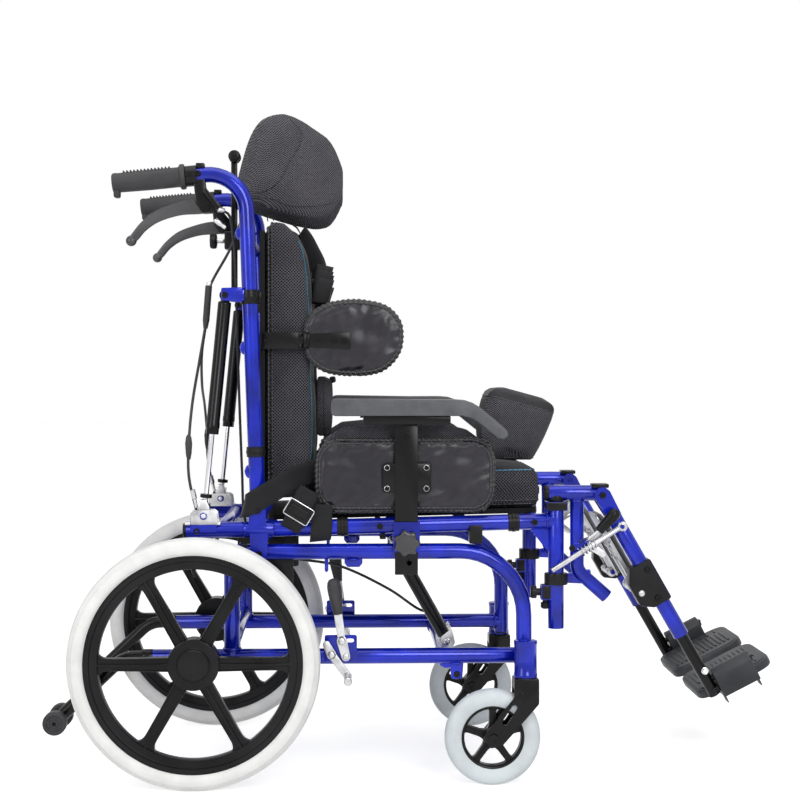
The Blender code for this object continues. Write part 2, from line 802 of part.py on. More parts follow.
def caster_wheel(side, label, fork):
    """A moulded caster: hub, curved spokes, rim, and the grey tyre moulded on it."""
    y = side * CASTER_Y
    half = CASTER_W / 2
    centre = (CASTER_X, CASTER_R)
    tyre = turned(
        [
            (CASTER_R, 0.006),
            (CASTER_R, -0.006),
            (CASTER_R - 0.009, -half),
            (CASTER_RIM_R - 0.006, -half + 0.003),
            (CASTER_RIM_R - 0.006, half - 0.003),
            (CASTER_R - 0.009, half),
        ],
        (CASTER_X, y, CASTER_R),
        (0.0, side, 0.0),
        CASTER_STEPS,
    )
    bore = CASTER_AXLE_R + FIT
    hub = turned(
        [
            (CASTER_HUB_R, half - 0.001),
            (CASTER_HUB_R, -half + 0.001),
            (bore, -half + 0.001),
            (bore, half - 0.001),
        ],
        (CASTER_X, y, CASTER_R),
        (0.0, side, 0.0),
        12,
    )
    spokes = []
    for index in range(CASTER_SPOKES):
        angle = math.tau * (index + 0.25) / CASTER_SPOKES
        outline = spoke_outline(CASTER_HUB_R - 0.004, CASTER_RIM_R + 0.001, CASTER_SPOKE_W, CASTER_FLARE)
        spokes.append(plate([turned_outline(outline, angle, centre)], y - 0.007, y + 0.007))
    solid = fuse([tyre, hub, *spokes])
    return place(solid, "caster_wheel_" + label, "black_plastic", fork, (CASTER_X, y, CASTER_R))


def anti_tipper(side, label, base):
    """A bent tube plugged into the lower rail's rear end, with an eye for the wheels' axle."""
    y = side * RAIL_Y
    plug = rod((LOWER_REAR_X + PLUG_DEPTH, y, LOWER_Z), (LOWER_REAR_X - 0.006, y, LOWER_Z), PLUG_R, 12)
    shoulder = rod((LOWER_REAR_X - SEAT_GAP, y, LOWER_Z), (LOWER_REAR_X - 0.012, y, LOWER_Z), TUBE_R)
    x, z = TIP_WHEEL
    arm = tube([(LOWER_REAR_X - 0.004, y, LOWER_Z), (TIP_BEND_X, y, LOWER_Z), (x, y, z)], 0.0105, bend=0.050)
    eye = across(x, z, side, RAIL_Y - 0.010, RAIL_Y + 0.010, TIP_EYE_R, 10)
    bore = across(x, z, side, RAIL_Y - 0.020, RAIL_Y + 0.020, TIP_AXLE_R + FIT)
    solid = fuse([plug, shoulder, arm, eye], [bore])
    return place(solid, "anti_tipper_" + label, "black_metal", base, (LOWER_REAR_X, y, LOWER_Z))


def anti_tip_wheels(side, label, arm):
    """Two small wheels on one axle, one on each side of the arm."""
    x, z = TIP_WHEEL
    half = TIP_WHEEL_W / 2
    inner = RAIL_Y - TIP_WHEEL_SPREAD
    outer = RAIL_Y + TIP_WHEEL_SPREAD
    axle = across(x, z, side, inner, outer, TIP_AXLE_R)
    profile = [
        (0.0, half),
        (TIP_WHEEL_R - 0.004, half),
        (TIP_WHEEL_R, half - 0.004),
        (TIP_WHEEL_R, -half + 0.004),
        (TIP_WHEEL_R - 0.004, -half),
        (0.0, -half),
    ]
    wheels = [turned(profile, (x, side * distance, z), (0.0, side, 0.0), 14) for distance in (inner, outer)]
    solid = fuse([axle, *wheels])
    return place(solid, "anti_tip_wheels_" + label, "black_rubber", arm, (x, side * RAIL_Y, z))


def brake_lever(side, label, base):
    """A flat lever with a swelling grip, turning on the brake plate's upper pin."""
    low_y, high_y = span(side, LEVER_IN_Y, LEVER_IN_Y + BRAKE_T)
    hole = arc(BRAKE_PIVOT, BRAKE_PIN_R + FIT, 0, 315, 7)
    lower = plate([bar_outline(BRAKE_LINK, BRAKE_PIVOT, 0.0070, 0.0085), hole], low_y, high_y)
    upper = plate(
        [bar_outline(past(BRAKE_PIVOT, BRAKE_TOP, 0.012), past(BRAKE_PIVOT, BRAKE_TOP, 0.070), 0.0065)],
        low_y,
        high_y,
    )
    foot = past(BRAKE_PIVOT, BRAKE_TOP, BRAKE_GRIP_Z - BRAKE_PIVOT[1])
    length = math.hypot(BRAKE_TOP[0] - foot[0], BRAKE_TOP[1] - foot[1])
    radius = BRAKE_GRIP_R
    grip = turned(
        [
            (0.0, length),
            (radius * 0.55, length - 0.001),
            (radius * 0.90, length - 0.006),
            (radius, length - 0.014),
            (radius * 0.92, length * 0.45),
            (radius * 0.70, 0.002),
            (radius * 0.62, 0.0),
            (0.0, 0.0),
        ],
        (foot[0], side * (LEVER_IN_Y + BRAKE_T / 2), foot[1]),
        (BRAKE_TOP[0] - foot[0], 0.0, BRAKE_TOP[1] - foot[1]),
        10,
    )
    bolt = across(*BRAKE_LINK, side, LEVER_IN_Y + BRAKE_T / 2, LEVER_IN_Y + BRAKE_T + 0.003, 0.0045, 6)
    solid = fuse([lower, upper, grip, bolt])
    pivot = (BRAKE_PIVOT[0], side * (LEVER_IN_Y + BRAKE_T / 2), BRAKE_PIVOT[1])
    return place(solid, "brake_lever_" + label, "brushed_steel", base, pivot)


def brake_shoe(side, label, base):
    """A flat arm on the brake plate's lower pin, with the round shoe that presses on the tread."""
    low_y, high_y = span(side, SHOE_IN_Y, SHOE_IN_Y + BRAKE_T)
    hole = arc(SHOE_PIVOT, BRAKE_PIN_R + FIT, 0, 315, 7)
    rear = plate([bar_outline(SHOE_REAR, SHOE_PIVOT, 0.0060, 0.0080), hole], low_y, high_y)
    front = plate([bar_outline(past(SHOE_PIVOT, SHOE_TIP, 0.014), SHOE_TIP, 0.0065)], low_y, high_y)
    shoe = across(*SHOE_TIP, side, SHOE_IN_Y, WHEEL_Y + TYRE_W / 2 - 0.010, SHOE_R)
    solid = fuse([rear, front, shoe])
    pivot = (SHOE_PIVOT[0], side * (SHOE_IN_Y + BRAKE_T / 2), SHOE_PIVOT[1])
    return place(solid, "brake_shoe_" + label, "brushed_steel", base, pivot)


def ear_pair(pivot, foot_z, block_z, side, hole_r):
    """Two ears that straddle a tube's end, and the block that joins them to the seat rail."""
    x, z = pivot
    inner, outer = EAR_IN_Y, EAR_OUT_Y
    base_w = EAR_R * 1.15
    start, end = (180, 0) if foot_z < z else (180, 360)
    outline = [(x - base_w, foot_z), *arc(pivot, EAR_R, start, end, 6), (x + base_w, foot_z)]
    hole = arc(pivot, hole_r, 0, 315, 7)
    pieces = []
    for low, high in ((inner - EAR_T, inner), (outer, outer + EAR_T)):
        pieces.append(plate([outline, hole], *span(side, low, high)))
    low_y, high_y = span(side, inner - EAR_T + 0.0002, outer + EAR_T - 0.0002)
    block = box((x - 0.010, low_y, block_z[0]), (x + 0.010, high_y, block_z[1]))
    return [*pieces, block]


def seat_side(side):
    """One seat rail with its front post, ears, spring clevis, saddle and arm socket."""
    y = side * RAIL_Y
    rail = rod((SEAT_REAR[0], y, SEAT_REAR[1]), (POST_X, y, rail_z(POST_X)), TUBE_R)
    post = rod((POST_X, y, POST_LOW_Z), (POST_X, y, POST_HIGH_Z), TUBE_R)
    cap = box((POST_X - 0.017, y - 0.014, POST_HIGH_Z - 0.003), (POST_X + 0.017, y + 0.014, POST_CAP_Z))
    gusset = plate(
        [[(0.530, rail_z(0.530)), (0.575, rail_z(0.575)), (0.575, 0.368), (0.566, 0.372)]],
        y - 0.0025,
        y + 0.0025,
    )
    x, z = TILT_PIVOT
    tilt_ears = ear_pair(TILT_PIVOT, rail_z(x), (z + 0.024, rail_z(x)), side, PIVOT_R + FIT)
    x, z = RECLINE_PIVOT
    top = z - TUBE_R - SIDE_GAP
    back_ears = ear_pair(RECLINE_PIVOT, rail_z(x), (rail_z(x), top), side, PIVOT_R + FIT)
    clevis = spring_clevis(side)
    low_y, high_y = span(side, RAIL_Y - 0.011, RAIL_OUT_Y)
    saddle_low = (SADDLE_X[0], low_y, UPPER_Z + TUBE_R + SEAT_GAP)
    saddle = box(saddle_low, (SADDLE_X[1], high_y, rail_z(SADDLE_X[0])))
    low_y, high_y = span(side, RAIL_OUT_Y + SIDE_GAP, SOCKET_OUT_Y)
    left, right = ARM_BAR_X[0] - FIT - SOCKET_WALL, ARM_BAR_X[1] + FIT + SOCKET_WALL
    socket = box((left, low_y, SOCKET_Z[0]), (right, high_y, SOCKET_Z[1]))
    low_y, high_y = span(side, RAIL_Y, RAIL_OUT_Y + SIDE_GAP + 0.001)
    bridge = box((left + 0.004, low_y, rail_z(left) - 0.008), (right - 0.004, high_y, rail_z(left) + 0.004))
    latch = box((POST_X - 0.025, y - 0.010, 0.292), (POST_X - 0.008, y + 0.010, 0.316))
    return [rail, post, cap, gusset, *tilt_ears, *back_ears, *clevis, saddle, socket, bridge, latch]


def seat_bores(side):
    """The bore for the hanger's pin in the post, and the arm bar's slot through its socket."""
    y = side * RAIL_Y
    pin_top = (POST_X, y, POST_CAP_Z + 0.005)
    pin_foot = (POST_X, y, POST_CAP_Z - POST_PIN_DEPTH - 0.002)
    pin = rod(pin_top, pin_foot, POST_PIN_R + FIT, 10)
    low_y, high_y = span(side, BAR_IN_Y - FIT, BAR_OUT_Y + FIT)
    slot = box(
        (ARM_BAR_X[0] - FIT, low_y, SOCKET_Z[0] - 0.010),
        (ARM_BAR_X[1] + FIT, high_y, SOCKET_Z[1] + 0.010),
    )
    screw = across(*ARM_KNOB, side, BAR_OUT_Y, SOCKET_OUT_Y + 0.005, ARM_SCREW_R + FIT)
    return [pin, slot, screw]


def spring_clevis(side):
    """The bracket on the seat rail's rear end that takes the recline spring's lower end."""
    x, z = SPRING_LOW
    pieces = []
    for edge in (-1, 1):
        middle = side * RAIL_Y + edge * (SPRING_R + SIDE_GAP + CHEEK_T / 2)
        outline = [
            (x - CLEVIS_HALF_X, rail_z(x) - 0.002),
            (x + CLEVIS_HALF_X, rail_z(x) - 0.002),
            (x + CLEVIS_HALF_X, z + 0.004),
            (x + CLEVIS_HALF_X - 0.005, z + 0.009),
            (x - CLEVIS_HALF_X + 0.005, z + 0.009),
            (x - CLEVIS_HALF_X, z + 0.004),
        ]
        pieces.append(plate([outline], middle - CHEEK_T / 2, middle + CHEEK_T / 2))
        head = middle + edge * CHEEK_T / 2
        pieces.append(rod((x, head - edge * 0.001, z), (x, head + edge * 0.003, z), 0.006, 6))
    return pieces


def tilt_hangers():
    """The ears under the seat's middle cross tube that stand beside the tilt rods' upper ends."""
    x, z = TILT_HIGH
    cross = SEAT_CROSS_X[2]
    pieces = []
    for y, edge in zip(TILT_SPRING_Y, (-1, 1)):
        middle = y + edge * (TILT_CHEEK_Y + CHEEK_T / 2)
        outline = [
            (x - 0.010, z - 0.010),
            (x + 0.006, z - 0.012),
            (cross + 0.008, rail_z(cross) - 0.004),
            (cross - 0.008, rail_z(cross) + 0.008),
            (x - 0.008, z + 0.008),
        ]
        pieces.append(plate([outline], middle - CHEEK_T / 2, middle + CHEEK_T / 2))
    return pieces


def seat_frame(base):
    """Two seat rails on four cross tubes, turning on the base's pins to tilt the whole seat."""
    crosses = [rod((x, -RAIL_Y, rail_z(x)), (x, RAIL_Y, rail_z(x)), SLIM_R) for x in SEAT_CROSS_X]
    solid = fuse(seat_side(-1) + seat_side(1) + crosses + tilt_hangers(), seat_bores(-1) + seat_bores(1))
    return place(solid, "seat_frame", "blue_paint", base, (TILT_PIVOT[0], 0.0, TILT_PIVOT[1]))


def seat_level(x, height):
    """Height of a plane that lies parallel to the seat rails, at a distance above their centre lines."""
    return rail_z(x) + height


def seat_board(seat):
    """The board on the cross tubes, with rounded corners."""
    low = SLIM_R + SEAT_GAP
    middle_x = sum(BOARD_X) / 2
    half = (BOARD_X[1] - BOARD_X[0]) / 2
    board = rounded_slab(half, CUSHION_HALF_W - 0.006, BOARD_T, 0.020)
    board.data.transform(Matrix.Rotation(-SEAT_SLOPE, 4, "Y"))
    board.data.transform(Matrix.Translation((middle_x, 0.0, seat_level(middle_x, low + BOARD_T / 2))))
    return place(board, "seat_board", "black_board", seat, (TILT_PIVOT[0], 0.0, TILT_PIVOT[1]))


def rounded_slab(half_x, half_y, thickness, corner):
    """A flat slab about the origin whose corners are rounded as seen from above."""
    bm = bmesh.new()
    bmesh.ops.create_cube(bm, size=1.0)
    bmesh.ops.scale(bm, vec=(2 * half_x, 2 * half_y, thickness), verts=bm.verts)
    upright = [edge for edge in bm.edges if abs(edge.verts[0].co.z - edge.verts[1].co.z) > thickness / 2]
    bmesh.ops.bevel(bm, geom=upright, offset=corner, segments=3, profile=0.5, affect="EDGES")
    return from_bmesh("slab", bm)


def padded_block(half_x, half_y, half_z, corner, cells, swell):
    """A soft block about the origin: a cage with rounded edges, swollen by a formula.

    The swell takes a point's shares of the half sizes, from -1 to 1, and gives its move in metres.
    """
    bm = bmesh.new()
    bmesh.ops.create_cube(bm, size=2.0)
    for axis, count in enumerate(cells):
        direction = Vector([1.0 if index == axis else 0.0 for index in range(3)])
        for cut in range(1, count):
            bmesh.ops.bisect_plane(
                bm,
                geom=bm.verts[:] + bm.edges[:] + bm.faces[:],
                plane_co=direction * (2 * cut / count - 1),
                plane_no=direction,
                dist=0.000001,
            )
    for vert in bm.verts:
        share = vert.co.copy()
        halves = (half_x, half_y, half_z)
        inside = Vector([max(-1.0, min(1.0, value)) * (half - corner) for value, half in zip(share, halves)])
        outward = Vector([value if abs(value) > 0.999 else 0.0 for value in share])
        vert.co = inside + outward.normalized() * corner + swell(share)
    return from_bmesh("pad", bm)


def seat_cushion(seat):
    """A crowned cushion with drawn-in sides and a raised front edge."""
    half_x = (CUSHION_X[1] - CUSHION_X[0]) / 2
    low = SLIM_R + SEAT_GAP * 2 + BOARD_T

    def swell(share):
        crown = (1 - share.x ** 2) * (1 - share.y ** 2)
        up = 0.010 * crown if share.z > 0.5 else 0.0
        dip = -0.006 * math.exp(-((share.x - 0.1) / 0.5) ** 2) * (1 - share.y ** 2) if share.z > 0.5 else 0.0
        level = 1 - abs(share.z)
        drawn = -0.004 * (1 - level)
        side = drawn * (1.0 if share.y > 0.999 else -1.0 if share.y < -0.999 else 0.0)
        front = 0.004 * level * (1.0 if share.x > 0.999 else 0.0)
        return Vector((front, side, up + dip))

    pad = padded_block(half_x, CUSHION_HALF_W, CUSHION_T / 2 - 0.004, 0.018, (10, 8, 4), swell)
    lowest = min(vert.co.z for vert in pad.data.vertices)
    pad.data.transform(Matrix.Translation((0.0, 0.0, -lowest)))
    pad.data.transform(Matrix.Rotation(-SEAT_SLOPE, 4, "Y"))
    middle_x = sum(CUSHION_X) / 2
    pad.data.transform(Matrix.Translation((middle_x, 0.0, seat_level(middle_x, low))))
    return place(pad, "seat_cushion", "black_fabric", seat, (TILT_PIVOT[0], 0.0, TILT_PIVOT[1]))


def pommel(seat):
    """The wedge between the knees, standing on the cushion's front, with rounded faces."""
    outline = rounded_outline(POMMEL_CORNERS, POMMEL_ROUND)
    block = plate([outline], -POMMEL_HALF_W, POMMEL_HALF_W)
    bevel_rim(block, POMMEL_RIM, 2)
    return place(block, "pommel", "black_fabric", seat, (TILT_PIVOT[0], 0.0, TILT_PIVOT[1]))


def rounded_outline(corners, radius, steps=3):
    """An outline whose corners are arcs. The corners run anticlockwise."""
    points = []
    count = len(corners)
    for index, corner in enumerate(corners):
        here = Vector(corner)
        back = (Vector(corners[index - 1]) - here).normalized()
        ahead = (Vector(corners[(index + 1) % count]) - here).normalized()
        half = back.angle(ahead) / 2
        centre = here + (back + ahead).normalized() * (radius / math.sin(half))
        first = here + back * (radius / math.tan(half)) - centre
        last = here + ahead * (radius / math.tan(half)) - centre
        turn = first.angle_signed(last)
        angle = math.atan2(first.y, first.x)
        for step in range(steps + 1):
            now = angle - turn * step / steps
            points.append((centre.x + radius * math.cos(now), centre.y + radius * math.sin(now)))
    return points


def bevel_rim(obj, width, segments):
    """Rounds the edges where a slab's two flat faces meet its rim."""
    bm = bmesh.new()
    bm.from_mesh(obj.data)
    bmesh.ops.dissolve_limit(bm, angle_limit=0.001, verts=bm.verts, edges=bm.edges)
    flat = [face for face in bm.faces if abs(face.normal.y) > 0.999]
    rim = {edge for face in flat for edge in face.edges if len(edge.link_faces) == 2}
    rim = [edge for edge in rim if any(abs(face.normal.y) < 0.5 for face in edge.link_faces)]
    bmesh.ops.bevel(bm, geom=rim, offset=width, segments=segments, profile=0.5, affect="EDGES")
    bm.to_mesh(obj.data)
    bm.free()


def cane_x(z):
    """X of the back canes' centre line at a height below their bend."""
    share = (z - RECLINE_PIVOT[1]) / (CANE_TOP[1] - RECLINE_PIVOT[1])
    return RECLINE_PIVOT[0] + share * (CANE_TOP[0] - RECLINE_PIVOT[0])


def back_side(side):
    """One cane, with its pivot disc and pin, and the lug that holds the recline spring."""
    y = side * RAIL_Y
    x, z = RECLINE_PIVOT
    cane = tube(
        [(x, y, z), (CANE_TOP[0], y, CANE_TOP[1]), (HANDLE_END[0], y, HANDLE_END[1])],
        TUBE_R,
        bend=CANE_BEND_R,
    )
    disc = across(x, z, side, RAIL_IN_Y - 0.0003, RAIL_OUT_Y + 0.0003, TUBE_R, 12)
    pin = across(x, z, side, EAR_IN_Y - EAR_T - 0.001, EAR_OUT_Y + EAR_T + 0.001, PIVOT_R)
    ax, az = SPRING_TOP
    reach = SPRING_R + SIDE_GAP
    cheeks = []
    for edge in (-1, 1):
        middle = y + edge * (reach + CHEEK_T / 2)
        outline = [(cane_x(az), az - 0.010), (cane_x(az), az + 0.011), *arc(SPRING_TOP, 0.010, 90, 270, 4)]
        cheeks.append(plate([outline], middle - CHEEK_T / 2, middle + CHEEK_T / 2))
    low_y, high_y = span(side, RAIL_Y - reach - CHEEK_T + 0.0002, RAIL_Y + reach + CHEEK_T - 0.0002)
    web = box((cane_x(az) - 0.020, low_y, az - 0.009), (cane_x(az), high_y, az + 0.009))
    bolt = across(ax, az, side, RAIL_Y - reach - CHEEK_T - 0.002, RAIL_Y + reach + CHEEK_T + 0.003, PIVOT_R)
    return [cane, disc, pin, *cheeks, web, bolt]


def back_frame(seat):
    """Two canes joined by three cross tubes, with the clamp for the head pad's stem."""
    crosses = [
        rod((cane_x(z) - BACK_CROSS_SET, -RAIL_Y, z), (cane_x(z) - BACK_CROSS_SET, RAIL_Y, z), SLIM_R)
        for z in BACK_CROSS_Z
    ]
    low, high = HEAD_CLAMP_Z
    half = HEAD_STEM_HALF + 0.007
    clamp = box((HEAD_STEM_X - half, -half, low), (cane_x(low), half, high))
    knob_z = (low + high) / 2
    shaft = rod((HEAD_STEM_X - half + 0.002, 0.0, knob_z), (HEAD_STEM_X - half - 0.012, 0.0, knob_z), 0.004)
    knob = rod((HEAD_STEM_X - half - 0.010, 0.0, knob_z), (HEAD_STEM_X - half - 0.022, 0.0, knob_z), 0.014, 8)
    bore_half = HEAD_STEM_HALF + FIT
    bore = box(
        (HEAD_STEM_X - bore_half, -bore_half, low - 0.010),
        (HEAD_STEM_X + bore_half, bore_half, high + 0.010),
    )
    solid = fuse(back_side(-1) + back_side(1) + crosses + [clamp, shaft, knob], [bore])
    return place(solid, "back_frame", "blue_paint", seat, (RECLINE_PIVOT[0], 0.0, RECLINE_PIVOT[1]))


def back_board(back):
    """The board behind the back cushion, with the two arms that carry the side pads."""
    low, high = BACK_Z
    front = BACK_BOARD_X + BOARD_T
    board = box((BACK_BOARD_X, -BACK_HALF_W, low + 0.004), (front, BACK_HALF_W, high - 0.020))
    pieces = [board]
    hinge_x, hinge_y = LATERAL_HINGE
    arm_low, arm_high = LATERAL_ARM_Z
    for side in (-1, 1):
        low_y, high_y = span(side, BACK_HALF_W - 0.020, hinge_y - STRIP_T / 2 + STRIP_T)
        root = box((BACK_BOARD_X - 0.0005, low_y, arm_low), (front - 0.001, high_y, arm_high))
        low_y, high_y = span(side, hinge_y - STRIP_T / 2, hinge_y + STRIP_T / 2)
        arm = box((BACK_BOARD_X + 0.0005, low_y, arm_low), (hinge_x - 0.008, high_y, arm_high))
        pieces += [root, arm]
        for z_low, z_high in ((arm_low, arm_low + 0.007), (arm_high - 0.007, arm_high)):
            pieces.append(rod((hinge_x, side * hinge_y, z_low), (hinge_x, side * hinge_y, z_high), 0.0048))
            pieces.append(box((hinge_x - 0.012, low_y, z_low), (hinge_x, high_y, z_high)))
        pin_foot = (hinge_x, side * hinge_y, arm_low - 0.001)
        pieces.append(rod(pin_foot, (hinge_x, side * hinge_y, arm_high + 0.001), 0.0022, 8))
    solid = fuse(pieces)
    return place(solid, "back_board", "black_board", back, (RECLINE_PIVOT[0], 0.0, RECLINE_PIVOT[1]))


def lateral_pad(side, label, back):
    """A side pad on a plate whose knuckle turns on the arm's pin."""
    hinge_x, hinge_y = LATERAL_HINGE
    arm_low, arm_high = LATERAL_ARM_Z
    knuckle = rod(
        (hinge_x, side * hinge_y, arm_low + 0.007 + FIT),
        (hinge_x, side * hinge_y, arm_high - 0.007 - FIT),
        0.0048,
    )
    low_y, high_y = span(side, hinge_y - STRIP_T / 2, hinge_y + STRIP_T / 2)
    strip = box((hinge_x, low_y, arm_low + 0.008), (hinge_x + 0.014, high_y, arm_high - 0.008))
    wide = box((hinge_x + 0.010, low_y, arm_low), (hinge_x + 0.052, high_y, arm_high))
    outer = hinge_y - STRIP_T / 2 + 0.0005
    low, high = LATERAL_Z
    front = hinge_x + 0.1625
    corners = [
        (hinge_x + 0.006, low + 0.012),
        (hinge_x + 0.100, low),
        (front, low + 0.020),
        (front, high - 0.030),
        (hinge_x + 0.100, high),
        (hinge_x + 0.006, high - 0.012),
    ]
    pad = plate([rounded_outline(corners, 0.022, 2)], *span(side, outer - LATERAL_T, outer))
    bevel_rim(pad, 0.007, 2)
    bore = rod((hinge_x, side * hinge_y, arm_low), (hinge_x, side * hinge_y, arm_high), 0.0022 + FIT, 8)
    solid = fuse([pad, wide, strip, knuckle], [bore])
    pivot = (hinge_x, side * hinge_y, (low + high) / 2)
    return place(solid, "lateral_pad_" + label, "black_fabric", back, pivot)


def back_cushion(back):
    """A tall cushion with a crowned face, drawn-in sides and two shallow channels across."""
    low, high = BACK_Z
    half_z = (high - low) / 2

    def swell(share):
        crown = (1 - share.y ** 2) * (1 - 0.6 * share.z ** 2)
        channel = sum(math.exp(-((share.z - place_z) / 0.10) ** 2) for place_z in (-0.32, 0.34))
        face = 0.008 * crown - 0.006 * channel * (1 - share.y ** 4)
        front = face if share.x > 0.5 else 0.0
        recess = BACK_TOP_RECESS * max(0.0, (share.z - 0.70) / 0.30) ** 1.6 if share.x > 0.5 else 0.0
        drawn = -0.004 * (share.y if abs(share.y) > 0.999 else 0.0) * (1 - share.x) / 2
        return Vector((front - recess, drawn, 0.0))

    pad = padded_block(BACK_CUSHION_T / 2 - 0.003, BACK_HALF_W, half_z, 0.018, (3, 8, 14), swell)
    rear = min(vert.co.x for vert in pad.data.vertices)
    x = BACK_BOARD_X + BOARD_T + SEAT_GAP - rear
    pad.data.transform(Matrix.Translation((x, 0.0, (low + high) / 2)))
    return place(pad, "back_cushion", "black_fabric", back, (RECLINE_PIVOT[0], 0.0, RECLINE_PIVOT[1]))


def headrest_stem(back):
    """A square stem that slides in the back frame's clamp, with the head pad's pivot at its top."""
    half = HEAD_STEM_HALF
    low, high = HEAD_STEM_Z
    stem = box((HEAD_STEM_X - half, -half, low), (HEAD_STEM_X + half, half, high))
    x, z = HEAD_KNOB
    outline = bar_outline((HEAD_STEM_X, high - 0.006), HEAD_KNOB, half, 0.010)
    cheeks = [plate([outline], edge * 0.0065 - 0.0025, edge * 0.0065 + 0.0025) for edge in (-1, 1)]
    pin = rod((x, -0.011, z), (x, 0.011, z), PIVOT_R)
    solid = fuse([stem, *cheeks, pin])
    return place(solid, "headrest_stem", "black_metal", back, (HEAD_STEM_X, 0.0, HEAD_CLAMP_Z[0]))


def headrest_pad(stem):
    """A curved head pad whose wings reach forward, with its tongue on the stem's pin."""
    half_z = HEAD_PAD_H / 2

    def swell(share):
        up = (share.z + 1) / 2
        reach = HEAD_WING[0] * (1 - up) + HEAD_WING[1] * up
        wing = max(0.0, (abs(share.y) - 0.35) / 0.65) ** 1.3
        front = (share.x + 1) / 2
        forward = reach * wing * front + 0.020 * wing * (1 - front)
        lift = 0.010 * (1 - share.y ** 2) * share.z - HEAD_WING_DROP * wing * front * up
        return Vector((forward, 0.0, lift))

    pad = padded_block(HEAD_PAD_T / 2, HEAD_PAD_HALF_W, half_z, 0.020, (4, 12, 5), swell)
    pad.data.transform(Matrix.Translation((HEAD_PAD_T / 2, 0.0, half_z)))
    pad.data.transform(Matrix.Rotation(HEAD_PAD_LEAN, 4, "Y"))
    pad.data.transform(Matrix.Translation((HEAD_PAD_REAR[0], 0.0, HEAD_PAD_REAR[1])))
    x, z = HEAD_KNOB
    hole = arc(HEAD_KNOB, PIVOT_R + FIT, 0, 315, 7)
    tongue = plate([bar_outline(HEAD_KNOB, (x + 0.060, z + 0.004), 0.0095), hole], -0.0035, 0.0035)
    solid = fuse([pad, tongue])
    return place(solid, "headrest_pad", "black_fabric", stem, (x, 0.0, z))


def along_handle(distance):
    """A point on the handle tube's centre line, at a distance back from its rear end towards the front."""
    return past(HANDLE_END, CANE_TOP, distance)


def push_grip(side, label, back):
    """A ribbed grip over the handle tube's end, and the lever's clamp in front of it."""
    y = side * RAIL_Y
    rear = along_handle(-GRIP_PAST)
    direction = Vector((HANDLE_END[0] - CANE_TOP[0], 0.0, HANDLE_END[1] - CANE_TOP[1])).normalized()
    length = GRIP_LENGTH
    profile = [
        (0.0, 0.0),
        (GRIP_R - 0.002, 0.0),
        (GRIP_R, -0.003),
        (GRIP_R - 0.001, -length + 0.010),
        (GRIP_R + 0.004, -length + 0.006),
        (GRIP_R + 0.004, -length),
        (0.0, -length),
    ]
    grip = turned(profile, (rear[0], y, rear[1]), direction, 12)
    start = along_handle(length - GRIP_PAST - 0.001)
    end = along_handle(length - GRIP_PAST + CLAMP_LENGTH)
    clamp = rod((start[0], y, start[1]), (end[0], y, end[1]), TUBE_R + 0.004, 12)
    hollow = along_handle(-FIT)
    beyond = along_handle(length - GRIP_PAST + CLAMP_LENGTH + 0.005)
    cut = rod((hollow[0], y, hollow[1]), (beyond[0], y, beyond[1]), TUBE_R + FIT)
    top = between(start, end, 0.5)
    cheeks = []
    for edge in (-1, 1):
        middle = y + edge * (LEVER_R + SIDE_GAP + 0.0015)
        outline = bar_outline((top[0], top[1] - 0.010), LEVER_PIVOT, 0.009, 0.007)
        cheeks.append(plate([outline], middle - 0.0015, middle + 0.0015))
    pin_half = LEVER_R + SIDE_GAP + 0.004
    pin_end = (LEVER_PIVOT[0], y + pin_half, LEVER_PIVOT[1])
    pin = rod((LEVER_PIVOT[0], y - pin_half, LEVER_PIVOT[1]), pin_end, 0.0025, 8)
    ribs = []
    for index in range(GRIP_RIBS):
        spot = along_handle(0.020 + index * 0.0085)
        top_z = spot[1] + GRIP_R
        rib_high = (spot[0] + 0.0011, y + 0.006, top_z + 0.003)
        ribs.append(box((spot[0] - 0.0011, y - 0.006, top_z - 0.004), rib_high))
    low_z = rear[1] - GRIP_R
    hook = box((rear[0] + 0.0005, y - 0.010, low_z - 0.007), (rear[0] + 0.0115, y + 0.010, low_z + 0.006))
    solid = fuse([grip, clamp, hook, *cheeks, *ribs], [cut])
    solid = fuse([solid, pin])
    return place(solid, "push_grip_" + label, "black_rubber", back, (rear[0], y, rear[1]))


def release_lever(side, label, back):
    """A curved lever with a ball end, turning on the clamp's pin."""
    y = side * RAIL_Y
    x, z = LEVER_PIVOT
    hub = across(x, z, side, RAIL_Y - LEVER_R, RAIL_Y + LEVER_R, 0.0075)
    tip = (LEVER_TIP[0], y, LEVER_TIP[1])
    blade = tube([(x, y, z), (LEVER_ELBOW[0], y, LEVER_ELBOW[1]), tip], LEVER_R, bend=0.060)
    web = plate(
        [[(x, z - 0.006), (x + 0.006, z - 0.004), (x + 0.018, z - 0.022), (x - 0.020, z - 0.016)]],
        y - 0.003,
        y + 0.003,
    )
    bm = bmesh.new()
    bmesh.ops.create_uvsphere(bm, u_segments=10, v_segments=6, radius=0.0085)
    ball = from_bmesh("ball", bm)
    ball.location = (LEVER_TIP[0], y, LEVER_TIP[1])
    ball = as_mesh(ball)
    bore = across(x, z, side, RAIL_Y - 0.010, RAIL_Y + 0.010, 0.0025 + FIT, 8)
    solid = fuse([hub, blade, web, ball], [bore])
    return place(solid, "release_lever_" + label, "black_plastic", back, (x, y, z))


def tangent_rod(start, end, y, low, high, radius, sides=8):
    """A round bar in a plane at Y, between two distances along the line from one (x, z) to another."""
    first = past(start, end, low)
    last = past(start, end, high)
    return rod((first[0], y, first[1]), (last[0], y, last[1]), radius, sides)


